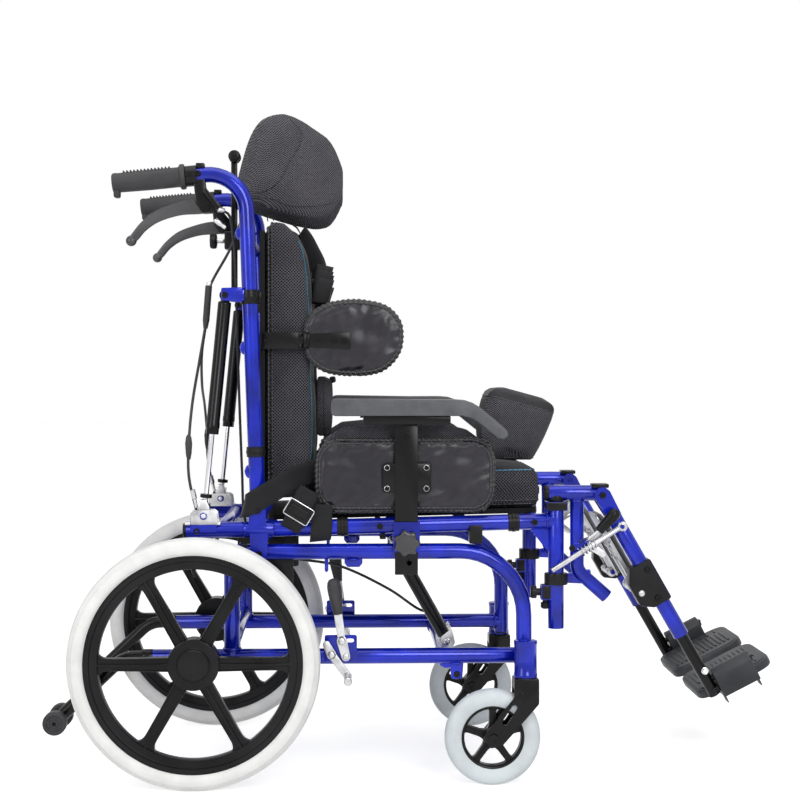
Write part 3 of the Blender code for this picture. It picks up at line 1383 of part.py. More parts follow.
def recline_cylinder(side, label, back):
    """A gas spring's cylinder, hung by its eye from the lug behind the cane."""
    y = side * RAIL_Y
    tail = EYE_R + SPRING_LENGTH
    eye = across(*SPRING_TOP, side, RAIL_Y - SPRING_R, RAIL_Y + SPRING_R, EYE_R, 10)
    neck = tangent_rod(SPRING_TOP, SPRING_LOW, y, 0.004, EYE_R + 0.004, 0.007)
    body = tangent_rod(SPRING_TOP, SPRING_LOW, y, EYE_R + 0.002, tail, SPRING_R, 10)
    pin = across(*SPRING_TOP, side, RAIL_Y - 0.020, RAIL_Y + 0.020, PIVOT_R + FIT)
    bore = tangent_rod(SPRING_TOP, SPRING_LOW, y, tail - RECLINE_BORE, tail + 0.005, ROD_R + FIT)
    solid = fuse([eye, neck, body], [pin, bore])
    return place(solid, "recline_cylinder_" + label, "black_metal", back, (SPRING_TOP[0], y, SPRING_TOP[1]))


def recline_rod(side, label, cylinder):
    """The spring's rod, with its nut and release head between the cheeks of the clevis."""
    y = side * RAIL_Y
    length = math.dist(SPRING_TOP, SPRING_LOW)
    tail = EYE_R + SPRING_LENGTH
    shaft = tangent_rod(SPRING_TOP, SPRING_LOW, y, tail - RECLINE_IN, length, ROD_R)
    nut = tangent_rod(SPRING_TOP, SPRING_LOW, y, length - 0.020, length - 0.013, 0.0085, 6)
    head = across(*SPRING_LOW, side, RAIL_Y - SPRING_R, RAIL_Y + SPRING_R, 0.0085, 10)
    neck = tangent_rod(SPRING_TOP, SPRING_LOW, y, length - 0.014, length, 0.0070)
    solid = fuse([shaft, nut, head, neck])
    pivot = (SPRING_TOP[0], y, SPRING_TOP[1])
    return place(solid, "recline_rod_" + label, "chrome", cylinder, pivot)


def tilt_cylinders(base):
    """The two tilt springs' cylinders, joined by the long pin through the base's bracket."""
    pieces = []
    bores = []
    x, z = TILT_LOW
    tail = EYE_R + TILT_SPRING_LENGTH
    for y in TILT_SPRING_Y:
        pieces.append(rod((x, y - SPRING_R, z), (x, y + SPRING_R, z), EYE_R, 10))
        pieces.append(tangent_rod(TILT_LOW, TILT_HIGH, y, 0.004, EYE_R + 0.004, 0.007))
        pieces.append(tangent_rod(TILT_LOW, TILT_HIGH, y, EYE_R + 0.002, tail, SPRING_R, 10))
        bores.append(tangent_rod(TILT_LOW, TILT_HIGH, y, tail - TILT_BORE, tail + 0.005, ROD_R + FIT))
    reach = TILT_CHEEK_Y + CHEEK_T + 0.003
    pin = rod((x, TILT_SPRING_Y[0] - reach, z), (x, TILT_SPRING_Y[1] + reach, z), PIVOT_R)
    spot = past(TILT_LOW, TILT_HIGH, 0.045)
    bridge = box(
        (spot[0] - 0.006, TILT_SPRING_Y[0] + 0.004, spot[1] - 0.006),
        (spot[0] + 0.006, TILT_SPRING_Y[1] - 0.004, spot[1] + 0.006),
    )
    solid = fuse([*pieces, pin, bridge], bores)
    return place(solid, "tilt_cylinders", "black_metal", base, (x, sum(TILT_SPRING_Y) / 2, z))


def tilt_rods(cylinders):
    """The two tilt springs' rods, joined by the pin through their upper eyes."""
    x, z = TILT_HIGH
    length = math.dist(TILT_LOW, TILT_HIGH)
    tail = EYE_R + TILT_SPRING_LENGTH
    pieces = []
    for y in TILT_SPRING_Y:
        pieces.append(tangent_rod(TILT_LOW, TILT_HIGH, y, tail - TILT_IN, length, ROD_R))
        pieces.append(rod((x, y - 0.008, z), (x, y + 0.008, z), 0.0080))
    pieces.append(rod((x, TILT_SPRING_Y[0], z), (x, TILT_SPRING_Y[1], z), PIVOT_R))
    solid = fuse(pieces)
    pivot = (TILT_LOW[0], sum(TILT_SPRING_Y) / 2, TILT_LOW[1])
    return place(solid, "tilt_rods", "chrome", cylinders, pivot)


def arm_post(side, label, seat):
    """A flat bar in the seat's socket, with the arm pad's strip and the hip pad's plate."""
    low_y, high_y = span(side, BAR_IN_Y, BAR_OUT_Y)
    bar = box((ARM_BAR_X[0], low_y, ARM_BAR_LOW_Z), (ARM_BAR_X[1], high_y, ARM_BAR_HIGH_Z + 0.004))
    middle = (BAR_IN_Y + BAR_OUT_Y) / 2
    low_y, high_y = span(side, middle - 0.013, middle + 0.013)
    strip = box((ARM_STRIP_X[0], low_y, ARM_BAR_HIGH_Z), (ARM_STRIP_X[1], high_y, ARM_PAD_Z[0] - SEAT_GAP))
    low_y, high_y = span(side, HIP_PAD_Y[1] + SEAT_GAP, BAR_IN_Y + 0.001)
    outline = rounded_outline([(0.300, 0.466), (0.378, 0.466), (0.378, 0.516), (0.300, 0.516)], 0.007)
    backing = plate([outline], low_y, high_y)
    solid = fuse([bar, strip, backing])
    pivot = (sum(ARM_BAR_X) / 2, side * middle, ARM_BAR_LOW_Z)
    return place(solid, "arm_post_" + label, "black_metal", seat, pivot)


def armrest(side, label, post):
    """A padded arm rest whose front end curves down."""
    low, high = ARM_PAD_Z
    rear, front = ARM_PAD_X
    corners = [
        (rear, low + 0.001),
        (front - 0.062, low),
        (front - 0.030, low - 0.014),
        (front - 0.016, ARM_PAD_DROP_Z),
        (front + 0.004, ARM_PAD_DROP_Z + 0.004),
        (front - 0.002, low - 0.004),
        (front - 0.026, high - 0.008),
        (front - 0.070, high),
        (rear, high - 0.003),
    ]
    middle = (BAR_IN_Y + BAR_OUT_Y) / 2
    low_y, high_y = span(side, middle - ARM_PAD_W / 2, middle + ARM_PAD_W / 2)
    pad = plate([rounded_outline(corners, 0.007, 2)], low_y, high_y)
    bevel_rim(pad, 0.006, 2)
    pivot = (sum(ARM_BAR_X) / 2, side * middle, ARM_BAR_LOW_Z)
    return place(pad, "armrest_" + label, "black_vinyl", post, pivot)


def hip_pad(side, label, post):
    """A flat pad with round corners at the sitter's hip."""
    low, high = HIP_PAD_Z
    rear, front = HIP_PAD_X
    corners = [(rear, low), (front, low), (front, high), (rear, high)]
    pad = plate([rounded_outline(corners, 0.030, 4)], *span(side, *HIP_PAD_Y))
    bevel_rim(pad, 0.008, 2)
    middle = (BAR_IN_Y + BAR_OUT_Y) / 2
    pivot = (sum(ARM_BAR_X) / 2, side * middle, ARM_BAR_LOW_Z)
    return place(pad, "hip_pad_" + label, "black_fabric", post, pivot)


def arm_knob(side, label, seat):
    """A lobed clamping knob whose screw passes through the socket's outer wall."""
    x, z = ARM_KNOB
    lobes = 7
    points = 21
    outline = []
    for index in range(points):
        angle = math.tau * index / points
        radius = ARM_KNOB_R * (1 - 0.07 * (1 - math.cos(lobes * angle)))
        outline.append((x + radius * math.cos(angle), z + radius * math.sin(angle)))
    inner = SOCKET_OUT_Y + 0.003
    knob = plate([outline], *span(side, inner, inner + ARM_KNOB_T))
    bevel_rim(knob, 0.003, 1)
    screw = across(x, z, side, BAR_OUT_Y + FIT, inner + 0.004, ARM_SCREW_R)
    solid = fuse([knob, screw])
    return place(solid, "arm_knob_" + label, "black_plastic", seat, (x, side * inner, z))


def leg_point(along, normal=0.0):
    """The (x, z) at a distance along the leg tube from the knee, and in front of its centre line."""
    dx, dz = LEG_DIRECTION
    return (KNEE[0] + dx * along - dz * normal, KNEE[1] + dz * along + dx * normal)


def leg_rod(side, low, high, radius, sides=8, normal=0.0):
    """A round bar along the leg tube."""
    first = leg_point(low, normal)
    last = leg_point(high, normal)
    return rod((first[0], side * LEG_Y, first[1]), (last[0], side * LEG_Y, last[1]), radius, sides)


def leg_hanger(side, label, seat):
    """A swing-away hanger: top tube, down tube with stub, collar round the post and ratchet block."""
    y = side * LEG_Y
    top = rod((HANGER_REAR_X, y, HANGER_TUBE_Z), (KNEE[0], y, HANGER_TUBE_Z), TUBE_R)
    disc = across(*KNEE, side, LEG_Y - TUBE_R - 0.0003, LEG_Y + TUBE_R + 0.0003, TUBE_R, 12)
    down = tube(
        [
            (HANGER_DOWN_X, y, HANGER_TUBE_Z),
            (HANGER_BEND[0], y, HANGER_BEND[1]),
            (HANGER_STUB[0], y, HANGER_STUB[1]),
        ],
        HANGER_DOWN_R,
        bend=0.040,
    )
    pin = rod((POST_X, y, HANGER_TUBE_Z), (POST_X, y, POST_CAP_Z - POST_PIN_DEPTH), POST_PIN_R, 10)
    foot = rod((POST_X, y, HANGER_TUBE_Z), (POST_X, y, POST_CAP_Z + SEAT_GAP), 0.0120)
    low, high = COLLAR_Z
    collar = rod((POST_X, y, low), (POST_X, y, high), TUBE_R + COLLAR_FREE + 0.005, 12)
    arm = plate(
        [[
            (POST_X + 0.008, low + 0.003),
            (HANGER_BEND[0] + 0.024, low + 0.002),
            (HANGER_BEND[0] + 0.022, high + 0.006),
            (POST_X + 0.008, high - 0.003),
        ]],
        y - 0.0025,
        y + 0.0025,
    )
    knee_reach = KNEE_EAR_Y + EAR_T + 0.003
    knee_pin = across(*KNEE, side, LEG_Y - knee_reach, LEG_Y + knee_reach, PIVOT_R)
    low_y, high_y = span(side, LEG_Y + 0.004, LEG_Y + TUBE_R)
    outline = bar_outline((HANGER_DOWN_X, RATCHET[1] - 0.006), RATCHET, 0.010, 0.009)
    ratchet = plate([outline], low_y, high_y)
    bore = rod((POST_X, y, low - 0.010), (POST_X, y, high + 0.010), TUBE_R + COLLAR_FREE, 12)
    body = fuse([down, arm, collar], [bore])
    solid = fuse([top, disc, body, pin, foot, knee_pin, ratchet])
    return place(solid, "leg_hanger_" + label, "blue_paint", seat, (POST_X, y, POST_CAP_Z))


def leg_tube(side, label, hanger):
    """A hollow leg tube with knee ears, the elevation rod's pin and the calf pad's clamp."""
    shell = leg_rod(side, 0.033, LEG_LENGTH, TUBE_R, 10)
    ears = []
    end = leg_point(0.040)
    for edge in (-1, 1):
        middle = side * LEG_Y + edge * (KNEE_EAR_Y + EAR_T / 2)
        hole = arc(KNEE, PIVOT_R + FIT, 0, 315, 7)
        outline = bar_outline(KNEE, end, 0.0135, 0.0115)
        ears.append(plate([outline, hole], middle - EAR_T / 2, middle + EAR_T / 2))
    spread = KNEE_EAR_Y + EAR_T - 0.0002
    start = leg_point(0.040)
    block = box(
        (start[0] - 0.009, side * LEG_Y - spread, start[1] - 0.010),
        (start[0] + 0.009, side * LEG_Y + spread, start[1] + 0.010),
        turn=LEG_ANGLE + math.pi / 2,
    )
    peg = across(*ELEVATION_TOP, side, LEG_Y, ELEVATION_Y + 0.006, PIVOT_R - 0.0005)
    low, high = CLAMP_ALONG
    outline = rounded_outline(
        [
            leg_point(low, 0.0155),
            leg_point(low, -0.020),
            leg_point(0.150, -0.034),
            leg_point(0.188, -0.034),
            leg_point(high, -0.016),
            leg_point(high, 0.0155),
        ],
        0.004,
        2,
    )
    clamp = plate([outline], side * LEG_Y - CLAMP_HALF_W, side * LEG_Y + CLAMP_HALF_W)
    pin_low, pin_high = CALF_PIN_Y
    pin = across(*CALF_PIVOT, side, pin_low, pin_high, PIVOT_R)
    bore = leg_rod(side, LEG_LENGTH - FOOT_IN - 0.010, LEG_LENGTH + 0.010, FOOT_R + FIT, 10)
    solid = fuse([shell, *ears, block, peg, clamp, pin], [bore])
    return place(solid, "leg_tube_" + label, "blue_paint", hanger, (KNEE[0], side * LEG_Y, KNEE[1]))


def foot_tube(side, label, leg):
    """The tube that slides in the leg tube, with the pin that the footplate turns on."""
    tube_body = leg_rod(side, LEG_LENGTH - FOOT_IN, FOOT_END, FOOT_R, 10)
    start = plate_point(0.0, 0.0)
    end = plate_point(SLEEVE_A[1] + 0.004, 0.0)
    pin = rod((start[0], side * LEG_Y, start[1]), (end[0], side * LEG_Y, end[1]), 0.005, 10)
    solid = fuse([tube_body, pin])
    top = leg_point(LEG_LENGTH)
    return place(solid, "foot_tube_" + label, "black_metal", leg, (top[0], side * LEG_Y, top[1]))


def plate_point(along, up):
    """The (x, z) at distances along the footplate's hinge pin and above it."""
    x, z = leg_point(FOOT_HINGE_ALONG)
    cosine, sine = math.cos(PLATE_ANGLE), math.sin(PLATE_ANGLE)
    return (x + cosine * along - sine * up, z + sine * along + cosine * up)


def footplate(side, label, foot):
    """A ribbed plate with a round front, carried by a boxed sleeve on the foot tube's pin."""
    rear, front = FOOTPLATE_A
    inner, outer = FOOTPLATE_Y
    low, high = FOOTPLATE_N
    slab = rounded_slab((front - rear) / 2, (outer - inner) / 2, high - low, 0.030)
    middle = ((front + rear) / 2, side * (outer + inner) / 2, (high + low) / 2)
    slab.data.transform(Matrix.Translation(middle))
    ribs = []
    for index in range(FOOT_RIBS):
        x = rear + 0.026 + index * (front - rear - 0.052) / (FOOT_RIBS - 1)
        low_y, high_y = span(side, inner + 0.030, outer - 0.030)
        ribs.append(box((x - 0.0018, low_y, high - 0.001), (x + 0.0018, high_y, high + 0.0015)))
    low_y, high_y = span(side, *SLEEVE_Y)
    sleeve = box((SLEEVE_A[0], low_y, SLEEVE_N[0]), (SLEEVE_A[1], high_y, 0.002))
    round_top = rod((SLEEVE_A[0], side * LEG_Y, 0.0), (SLEEVE_A[1], side * LEG_Y, 0.0), SLEEVE_N[1], 12)
    bore_start = (SLEEVE_A[0] - 0.010, side * LEG_Y, 0.0)
    bore = rod(bore_start, (SLEEVE_A[1] + 0.010, side * LEG_Y, 0.0), 0.005 + FIT, 10)
    solid = fuse([slab, sleeve, round_top, *ribs], [bore])
    solid.data.transform(Matrix.Rotation(-PLATE_ANGLE, 4, "Y"))
    origin = plate_point(0.0, 0.0)
    solid.data.transform(Matrix.Translation((origin[0], 0.0, origin[1])))
    return place(solid, "footplate_" + label, "grey_plastic", foot, (origin[0], side * LEG_Y, origin[1]))


def calf_pad(side, label, leg):
    """A calf pad on two knuckles that turn on the clamp's pin."""
    low, high = CALF_ALONG
    inner, outer = CALF_Y
    half = (high - low) / 2
    slab = rounded_slab(half, (outer - inner) / 2, CALF_T, 0.025)
    bm = bmesh.new()
    bm.from_mesh(slab.data)
    rim = [edge for edge in bm.edges if sum(abs(face.normal.z) > 0.99 for face in edge.link_faces) == 1]
    bmesh.ops.bevel(bm, geom=rim, offset=0.004, segments=1, profile=0.5, affect="EDGES")
    bm.to_mesh(slab.data)
    bm.free()
    middle = ((high + low) / 2, side * (outer + inner) / 2, CALF_T / 2 + 0.003)
    slab.data.transform(Matrix.Translation(middle))
    knuckles = [
        rod((0.0, side * first, 0.0), (0.0, side * (first + 0.020), 0.0), 0.0085, 10)
        for first in (inner + 0.030, outer - 0.020)
    ]
    bore = rod((0.0, side * (CALF_PIN_Y[0] - 0.004), 0.0), (0.0, side * (outer + 0.010), 0.0), PIVOT_R + FIT)
    solid = fuse([slab, *knuckles], [bore])
    solid.data.transform(Matrix.Rotation(-CALF_ANGLE, 4, "Y"))
    x, z = CALF_PIVOT
    solid.data.transform(Matrix.Translation((x, 0.0, z)))
    return place(solid, "calf_pad_" + label, "black_fabric", leg, (x, side * LEG_Y, z))


def elevation_rod(side, label, leg):
    """The stay rod on the leg tube's peg, which runs back beside the hanger's ratchet block."""
    y = side * ELEVATION_Y
    eye = across(*ELEVATION_TOP, side, ELEVATION_Y - 0.0035, ELEVATION_Y + 0.0035, 0.0075)
    length = math.dist(ELEVATION_TOP, ELEVATION_LOW)
    shaft = tangent_rod(ELEVATION_TOP, ELEVATION_LOW, y, 0.003, length, ELEVATION_R)
    hole = across(*ELEVATION_TOP, side, ELEVATION_Y - 0.010, ELEVATION_Y + 0.010, PIVOT_R - 0.0005 + FIT)
    solid = fuse([eye, shaft], [hole])
    return place(solid, "elevation_rod_" + label, "chrome", leg, (ELEVATION_TOP[0], y, ELEVATION_TOP[1]))


def smooth_route(points, spacing):
    """Points at an even spacing along a smooth curve through a cable's own points."""
    points = [Vector(point) for point in points]
    padded = [2 * points[0] - points[1], *points, 2 * points[-1] - points[-2]]
    fine = []
    for before, start, end, after in zip(padded, padded[1:], padded[2:], padded[3:]):
        steps = 24
        for step in range(steps):
            t = step / steps
            fine.append(
                0.5
                * (
                    2 * start
                    + (end - before) * t
                    + (2 * before - 5 * start + 4 * end - after) * t ** 2
                    + (3 * start - before - 3 * end + after) * t ** 3
                )
            )
    fine.append(points[-1])
    travelled = [0.0]
    for first, second in zip(fine, fine[1:]):
        travelled.append(travelled[-1] + (second - first).length)
    count = max(2, round(travelled[-1] / spacing))
    route = []
    at = 0
    for index in range(count + 1):
        target = travelled[-1] * index / count
        while at < len(fine) - 2 and travelled[at + 1] < target:
            at += 1
        share = (target - travelled[at]) / max(1e-9, travelled[at + 1] - travelled[at])
        route.append(fine[at].lerp(fine[at + 1], min(1.0, share)))
    return route


def ferrule(side):
    """The cable's end where it enters a release lever's foot."""
    rear, front = [(x, side * y, z) for x, y, z in (FERRULE_REAR, FERRULE_FRONT)]
    return rod(rear, front, FERRULE_R)


def recline_cable(back):
    """From the left lever to a barrel behind the back, and on in two branches to the release heads."""
    trunk = [
        (0.040, 0.192, 0.921),
        (0.062, 0.168, 0.915),
        (0.068, 0.110, 0.925),
        (0.066, 0.040, 0.935),
        (0.062, -0.040, 0.915),
        (0.048, -0.100, 0.865),
        (0.026, -0.130, 0.820),
        (0.0155, -0.140, 0.797),
    ]
    right = [
        (0.0105, -0.142, 0.735),
        (0.0020, -0.155, 0.680),
        (-0.0080, -0.176, 0.610),
        (-0.0127, -0.190, 0.543),
        (-0.0120, -0.192, 0.490),
        (0.0011, -0.192, 0.4320),
    ]
    left = [
        (0.0105, -0.138, 0.735),
        (0.0020, -0.110, 0.690),
        (-0.0060, -0.010, 0.640),
        (-0.0110, 0.110, 0.600),
        (-0.0127, 0.180, 0.550),
        (-0.0120, 0.192, 0.500),
        (0.0011, 0.192, 0.4320),
    ]
    routes = [smooth_route(points, CABLE_STEP) for points in (trunk, right, left)]
    pieces = [tube(route, CABLE_R, resolution=2) for route in routes]
    sleeve = rod(BARREL_TOP, BARREL_FOOT, BARREL_R)
    solid = fuse([sleeve, *pieces, ferrule(1)])
    return place(solid, "recline_cable", "black_rubber", back, (RECLINE_PIVOT[0], 0.0, RECLINE_PIVOT[1]))


def tilt_cable(seat):
    """From the right lever down behind the back board and under the seat to the tilt springs."""
    route = [
        (0.040, -0.192, 0.921),
        (0.052, -0.168, 0.914),
        (0.0565, -0.152, 0.880),
        (0.060, -0.146, 0.830),
        (0.065, -0.146, 0.650),
        (0.070, -0.142, 0.500),
        (0.074, -0.132, 0.420),
        (0.095, -0.115, 0.372),
        (0.150, -0.092, 0.350),
        (0.230, -0.074, 0.334),
        (0.310, -0.070, 0.296),
        (0.360, -0.070, 0.262),
        (0.3805, -0.070, 0.2545),
    ]
    cable = tube(smooth_route(route, CABLE_STEP), CABLE_R, resolution=2)
    solid = fuse([cable, ferrule(-1)])
    return place(solid, "tilt_cable", "black_rubber", seat, (TILT_PIVOT[0], 0.0, TILT_PIVOT[1]))


def make_materials():
    MATERIALS["blue_paint"] = principled("blue_paint", (0.010, 0.022, 0.400), 0.25, 0.55)
    MATERIALS["white_tyre"] = principled("white_tyre", (0.80, 0.81, 0.82), 0.60)
    MATERIALS["black_plastic"] = principled("black_plastic", (0.022, 0.023, 0.025), 0.45)
    MATERIALS["black_rubber"] = principled("black_rubber", (0.030, 0.031, 0.033), 0.70)
    MATERIALS["black_metal"] = principled("black_metal", (0.018, 0.018, 0.020), 0.40, 0.30)
    MATERIALS["black_board"] = principled("black_board", (0.020, 0.020, 0.022), 0.60)
    MATERIALS["black_fabric"] = principled("black_fabric", (0.026, 0.027, 0.030), 0.90)
    MATERIALS["black_vinyl"] = principled("black_vinyl", (0.045, 0.047, 0.052), 0.65)
    MATERIALS["grey_plastic"] = principled("grey_plastic", (0.090, 0.095, 0.105), 0.55)
    MATERIALS["brushed_steel"] = principled("brushed_steel", (0.72, 0.73, 0.75), 0.30, 1.0)
    MATERIALS["chrome"] = principled("chrome", (0.80, 0.81, 0.83), 0.12, 1.0)


def build():
    make_materials()
    root = bpy.data.objects.new("chair", None)
    root.location = (ROOT_X, 0.0, 0.0)
    PARTS.objects.link(root)
    base = base_frame(root)
    seat = seat_frame(base)
    back = back_frame(seat)
    for side, label in SIDE_NAMES.items():
        wheel = rear_wheel(side, label, base)
        rear_tyre(side, label, wheel)
        fork = caster_fork(side, label, base)
        caster_wheel(side, label, fork)
        tipper = anti_tipper(side, label, base)
        anti_tip_wheels(side, label, tipper)
        brake_lever(side, label, base)
        brake_shoe(side, label, base)
        post = arm_post(side, label, seat)
        armrest(side, label, post)
        hip_pad(side, label, post)
        arm_knob(side, label, seat)
        push_grip(side, label, back)
        release_lever(side, label, back)
        lateral_pad(side, label, back)
        cylinder = recline_cylinder(side, label, back)
        recline_rod(side, label, cylinder)
        hanger = leg_hanger(side, label, seat)
        leg = leg_tube(side, label, hanger)
        foot = foot_tube(side, label, leg)
        footplate(side, label, foot)
        calf_pad(side, label, leg)
        elevation_rod(side, label, leg)
    tilt_rods(tilt_cylinders(base))
    seat_board(seat)
    seat_cushion(seat)
    pommel(seat)
    back_board(back)
    back_cushion(back)
    headrest_pad(headrest_stem(back))
    recline_cable(back)
    tilt_cable(seat)


clear_scene()
PARTS = new_collection("pediatric_reclining_wheelchair")
CUTTERS = new_collection("cutters")
build()
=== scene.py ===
import math

import bpy
from mathutils import Matrix, Vector, noise


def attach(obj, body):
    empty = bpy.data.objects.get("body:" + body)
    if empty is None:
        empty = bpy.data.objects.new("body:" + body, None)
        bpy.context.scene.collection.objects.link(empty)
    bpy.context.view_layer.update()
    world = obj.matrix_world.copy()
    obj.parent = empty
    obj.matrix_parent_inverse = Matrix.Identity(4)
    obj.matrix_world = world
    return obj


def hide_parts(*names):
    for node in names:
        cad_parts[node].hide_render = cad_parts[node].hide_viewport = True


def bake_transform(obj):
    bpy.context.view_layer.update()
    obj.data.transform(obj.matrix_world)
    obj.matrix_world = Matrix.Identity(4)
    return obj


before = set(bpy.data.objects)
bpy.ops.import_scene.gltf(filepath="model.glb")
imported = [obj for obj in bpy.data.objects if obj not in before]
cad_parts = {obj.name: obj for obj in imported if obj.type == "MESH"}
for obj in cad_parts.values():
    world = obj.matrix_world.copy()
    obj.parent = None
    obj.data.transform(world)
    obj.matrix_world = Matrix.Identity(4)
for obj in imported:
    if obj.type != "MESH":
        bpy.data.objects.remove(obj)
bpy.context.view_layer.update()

# The chair is laid out from its rear axle, as the model's source is, and shifted under the origin.
ROOT_X = -0.3505
TUBE_R = 0.0127
SLIM_R = 0.011
SKIN = 0.00015  # how far a smooth tube stands outside the solid that it covers
RAIL_Y = 0.192
WHEEL_Y = 0.25
WHEEL_R = 0.2
CASTER_Y = 0.227
AHEAD, BEHIND = (1, 0, 0), (-1, 0, 0)
OUT, ACROSS = (0, -1, 0), (0, 1, 0)  # away from the chair on its right, and to its left
UP, DOWN = (0, 0, 1), (0, 0, -1)
SPIN_SENSE = -1.0  # spinning in edit mode turns against the axis


def at(x, y, z):
    return Vector((x + ROOT_X, y, z))


# The camera stands at the photograph's place, level with the arm rests and far off.
camera_data = bpy.data.cameras.new("camera")
camera_data.lens = 75.0
camera_data.sensor_width = 36.0
camera_data.clip_end = 60.0
camera = bpy.data.objects.new("camera", camera_data)
bpy.context.scene.collection.objects.link(camera)
camera.location = at(0.2315, -2.8841, 0.6552)
camera.rotation_euler = (math.radians(90.0 - 0.84), 0.0, math.radians(-2.05))
bpy.context.scene.camera = camera
bpy.context.scene.view_settings.view_transform = "Standard"


# Material building blocks.
def sockets(group, wanted, made):
    for name, kind, value in wanted:
        socket = group.interface.new_socket(name, in_out="INPUT", socket_type=kind)
        if value is not None:
            socket.default_value = value
    for name, kind in made:
        group.interface.new_socket(name, in_out="OUTPUT", socket_type=kind)
    return group.nodes.new("NodeGroupInput"), group.nodes.new("NodeGroupOutput")


def math_node(tree, operation, first, second=None, clamp=False):
    node = tree.nodes.new("ShaderNodeMath")
    node.operation = operation
    node.use_clamp = clamp
    for index, value in enumerate((first, second)):
        if value is None:
            continue
        if isinstance(value, (int, float)):
            node.inputs[index].default_value = value
        else:
            tree.links.new(value, node.inputs[index])
    return node.outputs[0]


def make_grain_group():
    """Fine moulded or cast grain: a height, and a slow shade that drifts over the piece."""
    group = bpy.data.node_groups.new("surface grain", "ShaderNodeTree")
    inward, outward = sockets(group, [("Vector", "NodeSocketVector", None),
        ("Grain Scale", "NodeSocketFloat", 900.0), ("Cloud Scale", "NodeSocketFloat", 12.0)],
        [("Height", "NodeSocketFloat"), ("Shade", "NodeSocketFloat")])
    grain = group.nodes.new("ShaderNodeTexNoise")
    grain.inputs["Detail"].default_value = 3.0
    cloud = group.nodes.new("ShaderNodeTexNoise")
    cloud.inputs["Detail"].default_value = 4.0
    for node, scale in ((grain, "Grain Scale"), (cloud, "Cloud Scale")):
        group.links.new(inward.outputs["Vector"], node.inputs["Vector"])
        group.links.new(inward.outputs[scale], node.inputs["Scale"])
    group.links.new(grain.outputs["Fac"], outward.inputs["Height"])
    group.links.new(cloud.outputs["Fac"], outward.inputs["Shade"])
    return group


def make_mesh_cloth_group():
    """Spacer mesh cloth: rows of small holes, with a height for its ribs and a mask for its holes."""
    group = bpy.data.node_groups.new("spacer mesh", "ShaderNodeTree")
    inward, outward = sockets(group, [("Vector", "NodeSocketVector", None),
        ("Holes per Metre", "NodeSocketFloat", 330.0)], [("Height", "NodeSocketFloat"),
        ("Hole", "NodeSocketFloat"), ("Cloud", "NodeSocketFloat")])
    turns_per_metre = math_node(group, "MULTIPLY", inward.outputs["Holes per Metre"], math.pi)
    waves = []
    for direction in ((1.0, 1.2, 1.0), (1.0, 0.4, -1.0)):
        along = group.nodes.new("ShaderNodeVectorMath")
        along.operation = "DOT_PRODUCT"
        along.inputs[1].default_value = direction
        group.links.new(inward.outputs["Vector"], along.inputs[0])
        wave = math_node(group, "SINE", math_node(group, "MULTIPLY", along.outputs["Value"],
            turns_per_metre))
        waves.append(math_node(group, "ABSOLUTE", wave))
    ramp = group.nodes.new("ShaderNodeMapRange")
    ramp.interpolation_type = "SMOOTHSTEP"
    ramp.inputs["From Min"].default_value = 0.72
    ramp.inputs["From Max"].default_value = 0.18
    group.links.new(math_node(group, "MULTIPLY", *waves), ramp.inputs["Value"])
    cloud = group.nodes.new("ShaderNodeTexNoise")
    cloud.inputs["Scale"].default_value = 22.0
    cloud.inputs["Detail"].default_value = 5.0
    group.links.new(inward.outputs["Vector"], cloud.inputs["Vector"])
    hole = math_node(group, "SUBTRACT", 1.0, ramp.outputs["Result"])
    group.links.new(ramp.outputs["Result"], outward.inputs["Height"])
    group.links.new(hole, outward.inputs["Hole"])
    group.links.new(cloud.outputs["Fac"], outward.inputs["Cloud"])
    return group


def make_weave_group():
    """Plain weave from two crossed waves, in the piece's own directions."""
    group = bpy.data.node_groups.new("plain weave", "ShaderNodeTree")
    inward, outward = sockets(group, [("Vector", "NodeSocketVector", None),
        ("Threads per Metre", "NodeSocketFloat", 900.0)], [("Height", "NodeSocketFloat")])
    heights = []
    for direction in ("X", "Z"):
        wave = group.nodes.new("ShaderNodeTexWave")
        wave.bands_direction = direction
        wave.inputs["Distortion"].default_value = 0.6
        group.links.new(inward.outputs["Vector"], wave.inputs["Vector"])
        scale = math_node(group, "MULTIPLY", inward.outputs["Threads per Metre"], 0.31)
        group.links.new(scale, wave.inputs["Scale"])
        heights.append(wave.outputs["Fac"])
    both = math_node(group, "MULTIPLY", heights[0], heights[1])
    group.links.new(both, outward.inputs["Height"])
    return group


GRAIN = make_grain_group()
SPACER_MESH = make_mesh_cloth_group()
WEAVE = make_weave_group()


def new_material(name, colour, roughness, metallic=0.0, coat=0.0, coat_roughness=0.06, sheen=0.0,
        specular=0.5):
    material = bpy.data.materials.new(name)
    material.use_nodes = True
    shader = material.node_tree.nodes["Principled BSDF"]
    shader.inputs["Base Color"].default_value = (*colour, 1.0)
    shader.inputs["Roughness"].default_value = roughness
    shader.inputs["Metallic"].default_value = metallic
    shader.inputs["Coat Weight"].default_value = coat
    shader.inputs["Coat Roughness"].default_value = coat_roughness
    shader.inputs["Sheen Weight"].default_value = sheen
    shader.inputs["Sheen Roughness"].default_value = 0.5
    shader.inputs["Specular IOR Level"].default_value = specular
    material.diffuse_color = (*colour, 1.0)
    return material, material.node_tree, shader


def object_coordinates(tree):
    return tree.nodes.new("ShaderNodeTexCoord").outputs["Object"]


def place_group(tree, group, vector, **values):
    node = tree.nodes.new("ShaderNodeGroup")
    node.node_tree = group
    tree.links.new(vector, node.inputs["Vector"])
    for name, value in values.items():
        node.inputs[name.replace("_", " ")].default_value = value
    return node


def two_colours(tree, factor, dark, light):
    mix = tree.nodes.new("ShaderNodeMix")
    mix.data_type = "RGBA"
    mix.inputs["A"].default_value = (*dark, 1.0)
    mix.inputs["B"].default_value = (*light, 1.0)
    tree.links.new(factor, mix.inputs["Factor"])
    return mix.outputs["Result"]


